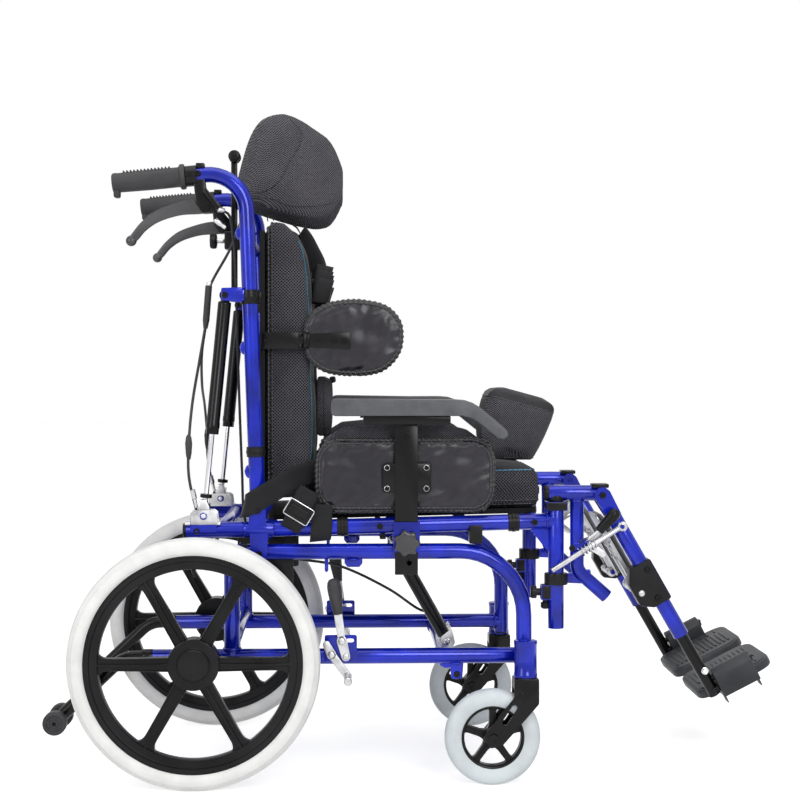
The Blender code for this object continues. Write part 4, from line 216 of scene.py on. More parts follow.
def add_bump(tree, shader, height, distance, strength=1.0):
    bump = tree.nodes.new("ShaderNodeBump")
    bump.inputs["Strength"].default_value = strength
    bump.inputs["Distance"].default_value = distance
    tree.links.new(height, bump.inputs["Height"])
    tree.links.new(bump.outputs["Normal"], shader.inputs["Normal"])


def remap(tree, value, low, high, from_low=0.3, from_high=0.7):
    node = tree.nodes.new("ShaderNodeMapRange")
    node.inputs["From Min"].default_value = from_low
    node.inputs["From Max"].default_value = from_high
    node.inputs["To Min"].default_value = low
    node.inputs["To Max"].default_value = high
    tree.links.new(value, node.inputs["Value"])
    return node.outputs["Result"]


def grained(name, dark, light, rough, bump_mm, grain_scale=900.0, cloud_scale=14.0, **finish):
    """A moulded, painted or cast finish: two near tones, grain in its gloss and a fine bump."""
    material, tree, shader = new_material(name, light, sum(rough) / 2, **finish)
    grain = place_group(tree, GRAIN, object_coordinates(tree), Grain_Scale=grain_scale,
        Cloud_Scale=cloud_scale)
    shade = remap(tree, grain.outputs["Shade"], 0.0, 1.0, 0.35, 0.65)
    tree.links.new(two_colours(tree, shade, dark, light), shader.inputs["Base Color"])
    tree.links.new(remap(tree, grain.outputs["Shade"], *rough), shader.inputs["Roughness"])
    if bump_mm:
        add_bump(tree, shader, grain.outputs["Height"], bump_mm / 1000)
    return material


def mesh_cloth(name, shaded_hole_colour, thread_colour, holes, bump_mm, sheen=0.25):
    material, tree, shader = new_material(name, thread_colour, 0.82, sheen=sheen, specular=0.12)
    cloth = place_group(tree, SPACER_MESH, object_coordinates(tree), Holes_per_Metre=holes)
    drift = remap(tree, cloth.outputs["Cloud"], 0.75, 1.15)
    # The mesh's holes are painted near black: painted shade inside its openings. The ribs take the
    # thread colour, with a slow random drift in tone.
    lit = math_node(tree, "MULTIPLY", cloth.outputs["Height"], drift, clamp=True)
    tree.links.new(two_colours(tree, lit, shaded_hole_colour, thread_colour), shader.inputs["Base Color"])
    add_bump(tree, shader, cloth.outputs["Height"], bump_mm / 1000)
    return material


def woven(name, dark, light, threads, bump_mm, roughness=0.7, sheen=0.3, crinkle_mm=0.0,
        crinkle_scale=60.0, shine=0.15):
    """Woven cloth or webbing, with crinkles where the real one has them."""
    material, tree, shader = new_material(name, light, roughness, sheen=sheen, specular=shine)
    vector = object_coordinates(tree)
    weave = place_group(tree, WEAVE, vector, Threads_per_Metre=threads)
    grain = place_group(tree, GRAIN, vector, Grain_Scale=crinkle_scale, Cloud_Scale=9.0)
    shade = remap(tree, grain.outputs["Shade"], 0.2, 1.0)
    # Darker where the weave runs low: painted shade between the threads, over a slow random drift in
    # tone.
    weave_shade_and_drift = math_node(tree, "MULTIPLY", shade, remap(tree, weave.outputs["Height"], 0.55, 1.0, 0.0, 0.6),
        clamp=True)
    tree.links.new(two_colours(tree, weave_shade_and_drift, dark, light), shader.inputs["Base Color"])
    height = math_node(tree, "MULTIPLY", weave.outputs["Height"], bump_mm / 1000)
    if crinkle_mm:
        crinkle = math_node(tree, "MULTIPLY", grain.outputs["Height"], crinkle_mm / 1000)
        height = math_node(tree, "ADD", height, crinkle)
    add_bump(tree, shader, height, 1.0)
    return material


LOOK = {
    "blue_paint": grained("blue gloss paint", (0.002, 0.009, 0.25), (0.005, 0.02, 0.5), (0.14, 0.22),
        0.02, 260.0, 18.0, metallic=0.25, coat=0.3, specular=0.25),
    "white_tyre": grained("pale tyre", (0.76, 0.76, 0.75), (0.86, 0.86, 0.84), (0.55, 0.72), 0.25, 420.0,
        26.0),
    "black_plastic": grained("black moulded plastic", (0.005, 0.005, 0.0056), (0.013, 0.013, 0.014),
        (0.26, 0.38), 0.05, specular=0.16),
    "black_rubber": grained("dark grip rubber", (0.032, 0.032, 0.034), (0.056, 0.056, 0.059),
        (0.42, 0.56), 0.1, 700.0, specular=0.2),
    "black_metal": grained("black painted metal", (0.002, 0.002, 0.0024), (0.005, 0.005, 0.0056),
        (0.18, 0.28), 0.03, specular=0.2),
    "black_board": grained("black board", (0.004, 0.004, 0.005), (0.009, 0.009, 0.01), (0.5, 0.6), 0.05,
        specular=0.15),
    "black_vinyl": grained("grey arm pad skin", (0.066, 0.067, 0.073), (0.104, 0.106, 0.116),
        (0.34, 0.46), 0.45, 620.0, 30.0, specular=0.35),
    "grey_plastic": grained("dark grey footplate", (0.022, 0.023, 0.026), (0.042, 0.044, 0.049),
        (0.38, 0.52), 0.18, 800.0, specular=0.25),
    "brushed_steel": grained("cast silver metal", (0.42, 0.42, 0.43), (0.62, 0.62, 0.63), (0.24, 0.42),
        0.06, 500.0, 40.0, metallic=1.0),
    "chrome": grained("chrome rod", (0.66, 0.66, 0.68), (0.8, 0.8, 0.82), (0.07, 0.16), 0.0,
        metallic=1.0),
    # Spacer meshes: near black holes, which are painted shade, and lighter threads.
    "black_fabric": mesh_cloth("black spacer mesh", (0.003, 0.003, 0.004), (0.135, 0.13, 0.148), 260.0,
        0.9, 0.1),
    "side_mesh": mesh_cloth("coarse side mesh", (0.002, 0.002, 0.003), (0.098, 0.096, 0.111), 195.0, 1.2,
        0.1),
    "smooth_cloth": woven("smooth black cloth", (0.014, 0.014, 0.016), (0.038, 0.038, 0.043), 700.0,
        0.05, 0.55, 0.12),
    "nylon": woven("crinkled nylon", (0.003, 0.002, 0.005), (0.012, 0.009, 0.018), 1300.0, 0.04, 0.27,
        0.03, 0.8, 30.0, 0.42),
    "webbing": woven("belt webbing", (0.004, 0.004, 0.005), (0.018, 0.018, 0.02), 520.0, 0.25, 0.55,
        0.1),
    # The knob and the release lever are black plastic in a lighter grey: painted light, for the front
    # light on their faces.
    "lit_black_knob": grained("black knob with painted light", (0.024, 0.024, 0.027), (0.048, 0.047, 0.052), (0.22, 0.34),
        0.04),
    "lit_black_lever": grained("black lever with painted light", (0.032, 0.032, 0.035), (0.058, 0.058, 0.062),
        (0.24, 0.36), 0.05),
    "caster_white": grained("caster tyre", (0.56, 0.6, 0.62), (0.68, 0.73, 0.75), (0.5, 0.68), 0.2,
        420.0, 26.0),
    "teal_trim": woven("teal piping", (0.01, 0.09, 0.16), (0.02, 0.18, 0.3), 700.0, 0.05),
    # A pale blue cord for the seat cushion's top edge: painted highlight, where light catches the
    # rounded edge.
    "seat_edge_highlight": woven("pale blue painted highlight", (0.06, 0.16, 0.24), (0.12, 0.3, 0.44), 700.0, 0.05),
    "thread": woven("black thread", (0.003, 0.003, 0.004), (0.022, 0.022, 0.025), 2000.0, 0.02, 0.38,
        0.05, shine=0.5),
    # A darker copy of the pale tyre, for its grooves: painted shade.
    "tread_groove_shade": grained("tyre shoulder, painted groove shade", (0.6, 0.6, 0.58), (0.74, 0.74, 0.72), (0.6, 0.75), 0.3,
        420.0, 26.0),
}


# Modelling by hand: each piece starts from a primitive at its size and place.
def deselect():
    bpy.ops.object.select_all(action="DESELECT")


def only(obj):
    deselect()
    obj.select_set(True)
    bpy.context.view_layer.objects.active = obj


def start_editing(obj):
    only(obj)
    bpy.ops.object.mode_set(mode="EDIT")


def stop_editing():
    bpy.ops.object.mode_set(mode="OBJECT")
    return bpy.context.active_object


def settle(obj):
    """The piece keeps its place in its mesh, and its object rests unturned at the origin."""
    only(obj)
    bpy.ops.object.transform_apply(location=True, rotation=True, scale=True)
    return obj


def facing(axis):
    return Vector(axis).to_track_quat("Z", "Y").to_euler()


def apply_modifier(obj, kind, **values):
    modifier = obj.modifiers.new(kind.lower(), kind)
    for name, value in values.items():
        setattr(modifier, name, value)
    only(obj)
    bpy.ops.object.modifier_apply(modifier=modifier.name)
    return obj


def cut_away(piece, cutter):
    """Take the cutter's shape out of the piece."""
    apply_modifier(piece, "BOOLEAN", object=cutter, operation="DIFFERENCE", solver="EXACT")
    bpy.data.objects.remove(cutter)


def soften(obj, width, segments=2, degrees=38.0):
    return apply_modifier(obj, "BEVEL", width=width, segments=segments, limit_method="ANGLE",
        angle_limit=math.radians(degrees))


def refine(obj, levels=1):
    return apply_modifier(obj, "SUBSURF", levels=levels, render_levels=levels)


def smooth(obj, degrees=40.0):
    only(obj)
    bpy.ops.object.shade_smooth_by_angle(angle=math.radians(degrees))
    return obj


def mend(obj, gap=0.00002):
    """Join coinciding points and turn every face outwards."""
    start_editing(obj)
    bpy.ops.mesh.select_all(action="SELECT")
    bpy.ops.mesh.remove_doubles(threshold=gap)
    bpy.ops.mesh.normals_make_consistent(inside=False)
    return stop_editing()


def join(parts):
    deselect()
    for part in parts:
        part.select_set(True)
    bpy.context.view_layer.objects.active = parts[0]
    bpy.ops.object.join()
    return parts[0]


def copied(obj):
    twin = obj.copy()
    twin.data = obj.data.copy()
    bpy.context.scene.collection.objects.link(twin)
    return twin


def mirrored(obj):
    """A copy for the other side of the chair, with its faces turned out again."""
    twin = copied(obj)
    twin.data.transform(Matrix.Diagonal((1.0, -1.0, 1.0, 1.0)))
    twin.data.flip_normals()
    return twin


def finished(obj, name, look, body, *nodes, slot=None):
    """Name the piece, give it its finish and body, and let it stand for the solids it covers.
    The slot argument is not used."""
    obj.name = name
    obj.data.name = name
    obj.data.materials.clear()
    obj.data.materials.append(LOOK[look])
    if nodes:
        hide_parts(*nodes)
    if body is not None:
        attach(obj, body)
    return obj


def tube(route, radius, bend=0.0, sides=28):
    """A tube along straight runs: its end is pulled along each run and spun round each bend."""
    points = [at(*point) for point in route]
    ahead = (points[1] - points[0]).normalized()
    deselect()
    bpy.ops.mesh.primitive_circle_add(vertices=sides, radius=radius, fill_type="NGON",
        location=points[0], rotation=facing(ahead))
    piece = settle(bpy.context.active_object)
    start_editing(piece)
    bpy.ops.mesh.select_all(action="SELECT")
    here = points[0]
    for index in range(1, len(points)):
        corner = points[index]
        if index == len(points) - 1:
            bpy.ops.mesh.extrude_region_move(TRANSFORM_OT_translate={"value": corner - here})
            break
        out = (points[index + 1] - corner).normalized()
        turn = ahead.angle(out)
        cut = bend * math.tan(turn / 2)
        bpy.ops.mesh.extrude_region_move(TRANSFORM_OT_translate={"value": corner - ahead * cut - here})
        axis = ahead.cross(out).normalized()
        centre = corner - ahead * cut + axis.cross(ahead) * bend
        steps = max(4, round(math.degrees(turn) / 9))
        bpy.ops.mesh.spin(steps=steps, angle=SPIN_SENSE * turn, center=centre, axis=axis)
        here = corner + out * cut
        ahead = out
    stop_editing()
    return mend(piece)


def bar(start, end, radius, rim=0.0008, sides=28):
    first = at(*start)
    last = at(*end)
    deselect()
    bpy.ops.mesh.primitive_cylinder_add(vertices=sides, radius=radius, depth=(last - first).length,
        location=(first + last) / 2, rotation=facing(last - first))
    piece = settle(bpy.context.active_object)
    return soften(piece, rim) if rim else piece


def turned(base, axis, profile, sides=40, ring=False):
    """A turned shape, built ring by ring: each ring is pulled along the axis and resized."""
    base = at(*base)
    axis = Vector(axis).normalized()
    radius, height = profile[0]
    deselect()
    bpy.ops.mesh.primitive_circle_add(vertices=sides, radius=radius,
        fill_type="NOTHING" if ring else "NGON", location=base + axis * height, rotation=facing(axis))
    piece = settle(bpy.context.active_object)
    start_editing(piece)
    bpy.ops.mesh.select_all(action="SELECT")
    for next_radius, next_height in profile[1:]:
        bpy.ops.mesh.extrude_region_move(TRANSFORM_OT_translate={"value": axis * (next_height - height)})
        centre = base + axis * next_height
        scale = next_radius / radius
        bpy.ops.transform.resize(value=(scale, scale, scale), center_override=centre)
        radius, height = next_radius, next_height
    stop_editing()
    return mend(piece)


def both_ways(half):
    """A turned profile that is the same on either side of its middle."""
    return half + [(radius, -height) for radius, height in reversed(half) if height]


def closed_ring(centre, axis, profile, sides):
    return turned(centre, axis, [*profile, profile[0]], sides, ring=True)


def pulled_out(corners, move, rim, segments):
    """A flat face with the given corners, pulled out to a solid whose rim is softened."""
    deselect()
    bpy.ops.mesh.primitive_circle_add(vertices=len(corners), radius=0.01, fill_type="NGON",
        location=(0, 0, 0))
    piece = bpy.context.active_object
    for vertex, corner in zip(piece.data.vertices, corners):
        vertex.co = corner
    start_editing(piece)
    bpy.ops.mesh.select_all(action="SELECT")
    bpy.ops.mesh.extrude_region_move(TRANSFORM_OT_translate={"value": move})
    bpy.ops.mesh.select_all(action="SELECT")
    bpy.ops.mesh.normals_make_consistent(inside=False)
    stop_editing()
    return soften(piece, rim, segments) if rim else piece


def sheet_plate(outline, low_y, high_y, rim=0.0008, segments=2):
    """A flat plate: its outline in the chair's side plane, pulled out to its thickness."""
    corners = [at(x, low_y, z) for x, z in outline]
    return pulled_out(corners, (0.0, high_y - low_y, 0.0), rim, segments)


def block(low, high, rim=0.001, segments=2):
    low = at(*low)
    high = at(*high)
    deselect()
    size = high - low
    bpy.ops.mesh.primitive_cube_add(size=1.0, location=(low + high) / 2,
        scale=[abs(value) for value in size])
    piece = settle(bpy.context.active_object)
    return soften(piece, rim, segments) if rim else piece


def smooth_path(points, gap=0.006):
    """Even points on one smooth curve through the given ones."""
    points = [Vector(point) for point in points]
    points = [points[0] * 2 - points[1], *points, points[-1] * 2 - points[-2]]
    fine = []
    for index in range(1, len(points) - 2):
        a, b, c, d = points[index - 1 : index + 3]
        for step in range(24):
            t = step / 24
            fine.append(0.5 * ((2 * b) + (c - a) * t + (2 * a - 5 * b + 4 * c - d) * t * t
                + (3 * b - a - 3 * c + d) * t ** 3))
    fine.append(points[-2])
    total = sum((b - a).length for a, b in zip(fine, fine[1:]))
    count = max(2, round(total / gap))
    even, walked, index = [fine[0]], 0.0, 0
    for step in range(1, count):
        target = total * step / count
        while walked + (fine[index + 1] - fine[index]).length < target:
            walked += (fine[index + 1] - fine[index]).length
            index += 1
        edge = fine[index + 1] - fine[index]
        even.append(fine[index] + edge * ((target - walked) / edge.length))
    return [*even, fine[-1]]


def wire(path, radius, resolution, closed=False, swell=None):
    """A round wire through the given places; swell gives its thickness from place to place."""
    deselect()
    bpy.ops.curve.primitive_nurbs_path_add(location=(0, 0, 0))
    piece = bpy.context.active_object
    curve = piece.data
    curve.splines.clear()
    spline = curve.splines.new("POLY")
    spline.points.add(len(path) - 1)
    for index, (point, place) in enumerate(zip(spline.points, path)):
        point.co = (*place, 1.0)
        point.radius = swell(index) if swell else 1.0
    spline.use_cyclic_u = closed
    curve.bevel_depth = radius
    curve.bevel_resolution = resolution
    curve.use_fill_caps = not closed
    only(piece)
    bpy.ops.object.convert(target="MESH")
    return mend(settle(bpy.context.active_object))


def hose(points, radius, gap=0.008, resolution=4):
    """A cable along one smooth curve."""
    return wire(smooth_path([at(*point) for point in points], gap), radius, resolution)


def strap(points, width, thickness, across, gap=0.008, rim=0.0004):
    """Webbing: a long strip of small squares laid along a smooth curve, then given its thickness.
    across is the strip's width direction, at each given point or the same all along."""
    path = smooth_path([at(*point) for point in points], gap)
    widths = [Vector(item) for item in across] if hasattr(across[0], "__len__") else [Vector(across)] * 2
    last = len(path) - 1
    deselect()
    bpy.ops.mesh.primitive_grid_add(x_subdivisions=last, y_subdivisions=4, size=1.0)
    piece = bpy.context.active_object
    for vertex in piece.data.vertices:
        along = round((vertex.co.x + 0.5) * last)
        share = along / last * (len(widths) - 1)
        part = min(int(share), len(widths) - 2)
        side = widths[part].lerp(widths[part + 1], share - part)
        ahead = path[min(along + 1, last)] - path[max(along - 1, 0)]
        side = (side - side.project(ahead)).normalized()
        vertex.co = path[along] + side * (vertex.co.y * width)
    apply_modifier(piece, "SOLIDIFY", thickness=thickness, offset=0.0)
    return smooth(soften(mend(piece), rim, 1, 60.0), 50.0)


def screw_head(centre, axis, radius=0.0042, height=0.0032):
    """A socket screw: a domed head with a hexagon sunk in it."""
    centre = Vector(centre)
    axis = Vector(axis).normalized()
    profile = [(radius, 0.0), (radius, height * 0.6), (radius * 0.86, height), (radius * 0.5, height),
        (radius * 0.5, height * 0.35)]
    piece = turned(centre, axis, profile, 12)
    return smooth(piece, 30.0)


def dome_rivet(centre, axis, radius, height=0.002):
    profile = [(radius, 0.0), (radius * 0.94, height * 0.45), (radius * 0.7, height * 0.85),
        (radius * 0.35, height)]
    return smooth(turned(centre, axis, profile, 18), 50.0)


def weld_bead(centre, axis, radius, thickness=0.0022, sides=36):
    """The rippled ring of weld round a tube's end."""
    deselect()
    bpy.ops.mesh.primitive_torus_add(major_segments=sides, minor_segments=8, major_radius=radius,
        minor_radius=thickness, location=at(*centre), rotation=facing(axis))
    piece = bpy.context.active_object
    for vertex in piece.data.vertices:
        turn = math.atan2(vertex.co.y, vertex.co.x)
        vertex.co *= 1.0 + 0.018 * math.sin(turn * 14) + 0.01 * math.sin(turn * 9 + 1.3)
    return smooth(settle(piece), 80.0)


def blown(obj, cap, voxel=0.0055, pressure=4.0):
    """Fill a pad: its cover is cloth that air presses out, and no point moves further than cap."""
    only(obj)
    obj.data.remesh_voxel_size = voxel
    obj.data.use_remesh_fix_poles = False
    bpy.ops.object.voxel_remesh()
    before = [vertex.co.copy() for vertex in obj.data.vertices]
    cloth = obj.modifiers.new("cover", "CLOTH")
    settings = cloth.settings
    settings.quality = 5
    settings.mass = 0.3
    settings.tension_stiffness = 15.0
    settings.compression_stiffness = 15.0
    settings.shear_stiffness = 5.0
    settings.bending_stiffness = 0.5
    settings.use_pressure = True
    settings.uniform_pressure_force = pressure
    settings.effector_weights.gravity = 0.0
    cloth.collision_settings.use_collision = False
    for number in range(1, 21):
        bpy.context.scene.frame_set(number)
    graph = bpy.context.evaluated_depsgraph_get()
    shaped = obj.evaluated_get(graph).to_mesh()
    moved = [vertex.co.copy() for vertex in shaped.vertices]
    obj.evaluated_get(graph).to_mesh_clear()
    obj.modifiers.remove(cloth)
    for vertex, old, new in zip(obj.data.vertices, before, moved):
        step = new - old
        if step.length > cap:
            step *= cap / step.length
        vertex.co = old + step
    bpy.context.scene.frame_set(1)
    return obj


def soft_skin(obj):
    return smooth(refine(obj), 180.0)


def cut_from(pieces, route):
    """Reads the route's points as vectors, and does nothing more with them or with the pieces."""
    route = [Vector(point) for point in route]


def push_points(obj, change):
    """Move each point by what change says for its place."""
    for vertex in obj.data.vertices:
        vertex.co += Vector(change(vertex.co))
    obj.data.update()
    return obj


def cord_welt(points, radius, closed=True):
    """The braided piping along a seam: a cord whose surface is twisted in small lumps."""
    points = [Vector(point) for point in points]
    if closed:
        points = [*points, points[0]]
    path = smooth_path(points, 0.0026)
    run = path[:-1] if closed else path
    return smooth(wire(run, radius, 2, closed, lambda index: 1.0 + 0.34 * math.sin(index * 1.9)), 80.0)


# Shapes whose flat and round faces are shaded apart.
def smooth_plate(*shape):
    return smooth(sheet_plate(*shape))


def smooth_bar(*shape):
    return smooth(bar(*shape))


def smooth_block(*shape):
    return smooth(block(*shape))


def smooth_turned(*shape):
    return smooth(turned(*shape))


def smooth_slab(*shape):
    return smooth(slanted(*shape))


# Outlines in the chair's side plane.
def arc(centre, radius, first, last, steps):
    return [(centre[0] + radius * math.cos(math.radians(first + (last - first) * step / steps)),
        centre[1] + radius * math.sin(math.radians(first + (last - first) * step / steps)))
        for step in range(steps + 1)]


def oblong(left, low, right, high):
    return [(left, low), (right, low), (right, high), (left, high)]


def rounded(corners, radius, steps=5):
    """An outline whose corners are rounded."""
    outline = []
    count = len(corners)
    for index in range(count):
        before, corner, after = (Vector(corners[(index + step) % count]) for step in (-1, 0, 1))
        to_before = (before - corner).normalized()
        to_after = (after - corner).normalized()
        cut = min(radius / math.tan(to_before.angle(to_after) / 2), (before - corner).length / 2,
            (after - corner).length / 2)
        start, end = corner + to_before * cut, corner + to_after * cut
        for step in range(steps + 1):
            t = step / steps
            outline.append(tuple(start * (1 - t) ** 2 + corner * (2 * t * (1 - t)) + end * t * t))
    return outline


def link_outline(start, end, start_r, end_r=None, steps=8):
    """Round ends at two points, joined by straight sides."""
    end_r = start_r if end_r is None else end_r
    angle = math.degrees(math.atan2(end[1] - start[1], end[0] - start[0]))
    return arc(start, start_r, angle + 90, angle + 270, steps) + arc(end, end_r, angle - 90, angle + 90,
        steps)


def turned_about(outline, angle, centre):
    return [(centre[0] + x * math.cos(angle) - z * math.sin(angle),
        centre[1] + x * math.sin(angle) + z * math.cos(angle)) for x, z in outline]


def pair(obj, name, look, body, *nodes, slot=None):
    """The piece on the chair's right and its mirrored twin on the left."""
    twin = mirrored(obj)
    for piece, label in ((obj, "right"), (twin, "left")):
        own = [node.format(label) for node in nodes]
        finished(piece, f"{name}_{label}", look, body.format(label), *own, slot=slot)
    return obj, twin


def repaint(node, look):
    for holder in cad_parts[node].material_slots:
        holder.material = LOOK[look]


R = -RAIL_Y
LOW_Z = 0.2015  # the lower rail
HIGH_Z = 0.371  # the upper rail
STEM_X = 0.528  # the caster's stem
CANE_FOOT = (0.0986, 0.4384)
CANE_TOP = (0.0785, 0.984)
HANDLE_END = (-0.124, 0.9642)
RECLINE_TOP = (0.0467, 0.7842)
RECLINE_FOOT = (0.0121, 0.43)
TILT_TOP = (0.3055, 0.398)
TILT_FOOT = (0.4099, 0.2119)
TILT_YS = (-0.1, -0.04)
BRAKE_PIVOT = (0.2338, 0.2295)
SHOE_PIVOT = (0.217, 0.207)
NEAR = R - TUBE_R
FAR = R + TUBE_R


def rail_z(x):
    return 0.405 + (x + 0.019) * (0.419 - 0.405) / (0.568 + 0.019)


def hex_bolt(x, z, y, direction=-1):
    """A socket bolt that stands on a face of constant y."""
    return screw_head((x, y, z), (0, direction, 0), 0.0052, 0.0035)


def cross_tubes(places, radius=SLIM_R, bead_step=0.0):
    """Tubes from side to side, with a weld bead at each end."""
    parts = []
    for x, z in places:
        parts.append(smooth_bar((x, R, z), (x, -R, z), radius))
        parts += [weld_bead((x + bead_step, y, z), ACROSS, SLIM_R) for y in (FAR, -FAR)]
    return join(parts)


def base():
    """The base's two side loops, their plates and the caster housings."""
    blue = [
        smooth(tube([(0.082, R, HIGH_Z), (0.529, R, HIGH_Z), (0.529, R, 0.182)], TUBE_R, 0.104)),
        smooth_bar((-0.075, R, LOW_Z), (0.529, R, LOW_Z), TUBE_R),
        smooth_bar((0.0565, R, LOW_Z), (0.0565, R, 0.345), TUBE_R),
        smooth(turned((STEM_X, -CASTER_Y, 0.172), UP, [(0.017, 0), (0.019, 0.0008), (0.019, 0.006),
            (0.0182, 0.0072), (0.0182, 0.052), (0.019, 0.0532), (0.019, 0.0585), (0.017, 0.0593)], 36)),
        smooth_block((0.517, -CASTER_Y, 0.184), (0.539, R, 0.225), 0.003),
        smooth_block((0.118, R, 0.364), (0.15, R + 0.0153, 0.378), 0.001),
        smooth_plate(rounded([(0.408, 0.205), (0.411, 0.163), (0.429, 0.163), (0.432, 0.205)], 0.006),
            R - 0.002, R + 0.002),
        smooth_plate([(0.206, 0.366), (0.206, 0.34), (0.209, 0.337), (0.212, 0.34), (0.212, 0.366)],
            R - 0.002, R + 0.002),
        smooth_plate(rounded([(0.238, 0.366), (0.238, 0.352), (0.243, 0.346), (0.262, 0.346),
            (0.267, 0.352), (0.267, 0.366)], 0.002), R - 0.0045, R + 0.0045),
        smooth_block((0.209, NEAR - 0.001, 0.196), (0.255, R, 0.207), 0.001),
        weld_bead((0.5166, R, LOW_Z), AHEAD, TUBE_R),
        weld_bead((0.0565, R, 0.2148), UP, TUBE_R),
        weld_bead((0.07, R, HIGH_Z), AHEAD, TUBE_R),
        weld_bead((STEM_X, R - 0.018, 0.226), UP, 0.012, 0.0016),
        weld_bead((STEM_X, R - 0.018, 0.183), UP, 0.012, 0.0016),
        weld_bead((0.42, R, 0.19), UP, 0.0085, 0.0014),
        weld_bead((0.2525, R, 0.3588), UP, 0.009, 0.0014),
    ]
    brake_plate = sheet_plate(rounded(oblong(0.206, 0.195, 0.258, 0.238), 0.004), NEAR - 0.003,
        NEAR - 0.0002)
    slot_cut = sheet_plate(link_outline((0.241, 0.229), (0.25, 0.229), 0.0032), NEAR - 0.01, NEAR + 0.01,
        0.0)
    cut_away(brake_plate, slot_cut)
    blue.append(smooth(brake_plate))
    pair(join(blue), "base_side", "blue_paint", "base", "base_frame")
    gusset = rounded([(0.043, 0.322), (0.043, 0.366), (0.06, 0.381), (0.146, 0.38), (0.155, 0.371),
        (0.155, 0.305), (0.112, 0.305)], 0.005)
    pair(smooth_plate(gusset, R + 0.0133, R + 0.0163), "base_gusset", "black_metal", "base")
    crosses = cross_tubes(((0.404, 0.192), (0.0565, 0.2195)))
    finished(crosses, "base_cross_tubes", "blue_paint", "base")
    black = [
        smooth_turned((-0.0752, R, LOW_Z), AHEAD, [(0.0132, -0.003), (0.0132, 0.004), (0.0126, 0.005)]),
        smooth_turned((0.529, R, 0.1825), DOWN, [(0.011, -0.002), (0.0124, 0.0), (0.0115, 0.003),
            (0.006, 0.004)]),
        smooth_bar((0.0, FAR - 0.004, 0.2), (0.0, -0.2268, 0.2), 0.0105, 0.001),
        hex_bolt(0.42, 0.171, R - 0.002),
        hex_bolt(0.1009, 0.369, NEAR - 0.0052),
        hex_bolt(0.13, 0.371, FAR + 0.0025, 1),
    ]
    pair(join(black), "base_fittings", "black_metal", "base")
    pins = [smooth_bar((x, NEAR, z), (x, y, z), 0.0036, 0.0006, 16)
        for (x, z), y in ((SHOE_PIVOT, -0.214), (BRAKE_PIVOT, -0.219))]
    heads = [dome_rivet((x, y, z), OUT, 0.0062, 0.003) for (x, z), y in ((SHOE_PIVOT, -0.2135),
        (BRAKE_PIVOT, -0.2185))]
    pair(join(pins + heads), "brake_pins", "brushed_steel", "base")
    cheeks = []
    outline = rounded([(0.395, 0.192), (0.413, 0.19), (0.4229, 0.2099), (0.4169, 0.2339),
        (0.3999, 0.2199)], 0.002)
    for y in TILT_YS:
        for edge in (-1, 1):
            middle = y + edge * 0.013
            cheeks.append(smooth_plate(outline, middle - 0.0016, middle + 0.0016))
            cheeks.append(dome_rivet((TILT_FOOT[0], middle + edge * 0.0016, TILT_FOOT[1]), (0, edge, 0),
                0.0065, 0.003))
    finished(join(cheeks), "tilt_spring_bracket", "brushed_steel", "base")


def ring_clip(centre, axis, radius, length=0.02):
    """A black clip round a tube, with a split and a raised middle."""
    profile = [(radius, 0), (radius + 0.0022, 0.0006), (radius + 0.0022, length * 0.32),
        (radius + 0.003, length * 0.38)]
    profile += [(radius + 0.003, length * 0.62), (radius + 0.0022, length * 0.68),
        (radius + 0.0022, length - 0.0006), (radius, length)]
    return smooth(turned(centre, axis, profile, 32), 30.0)


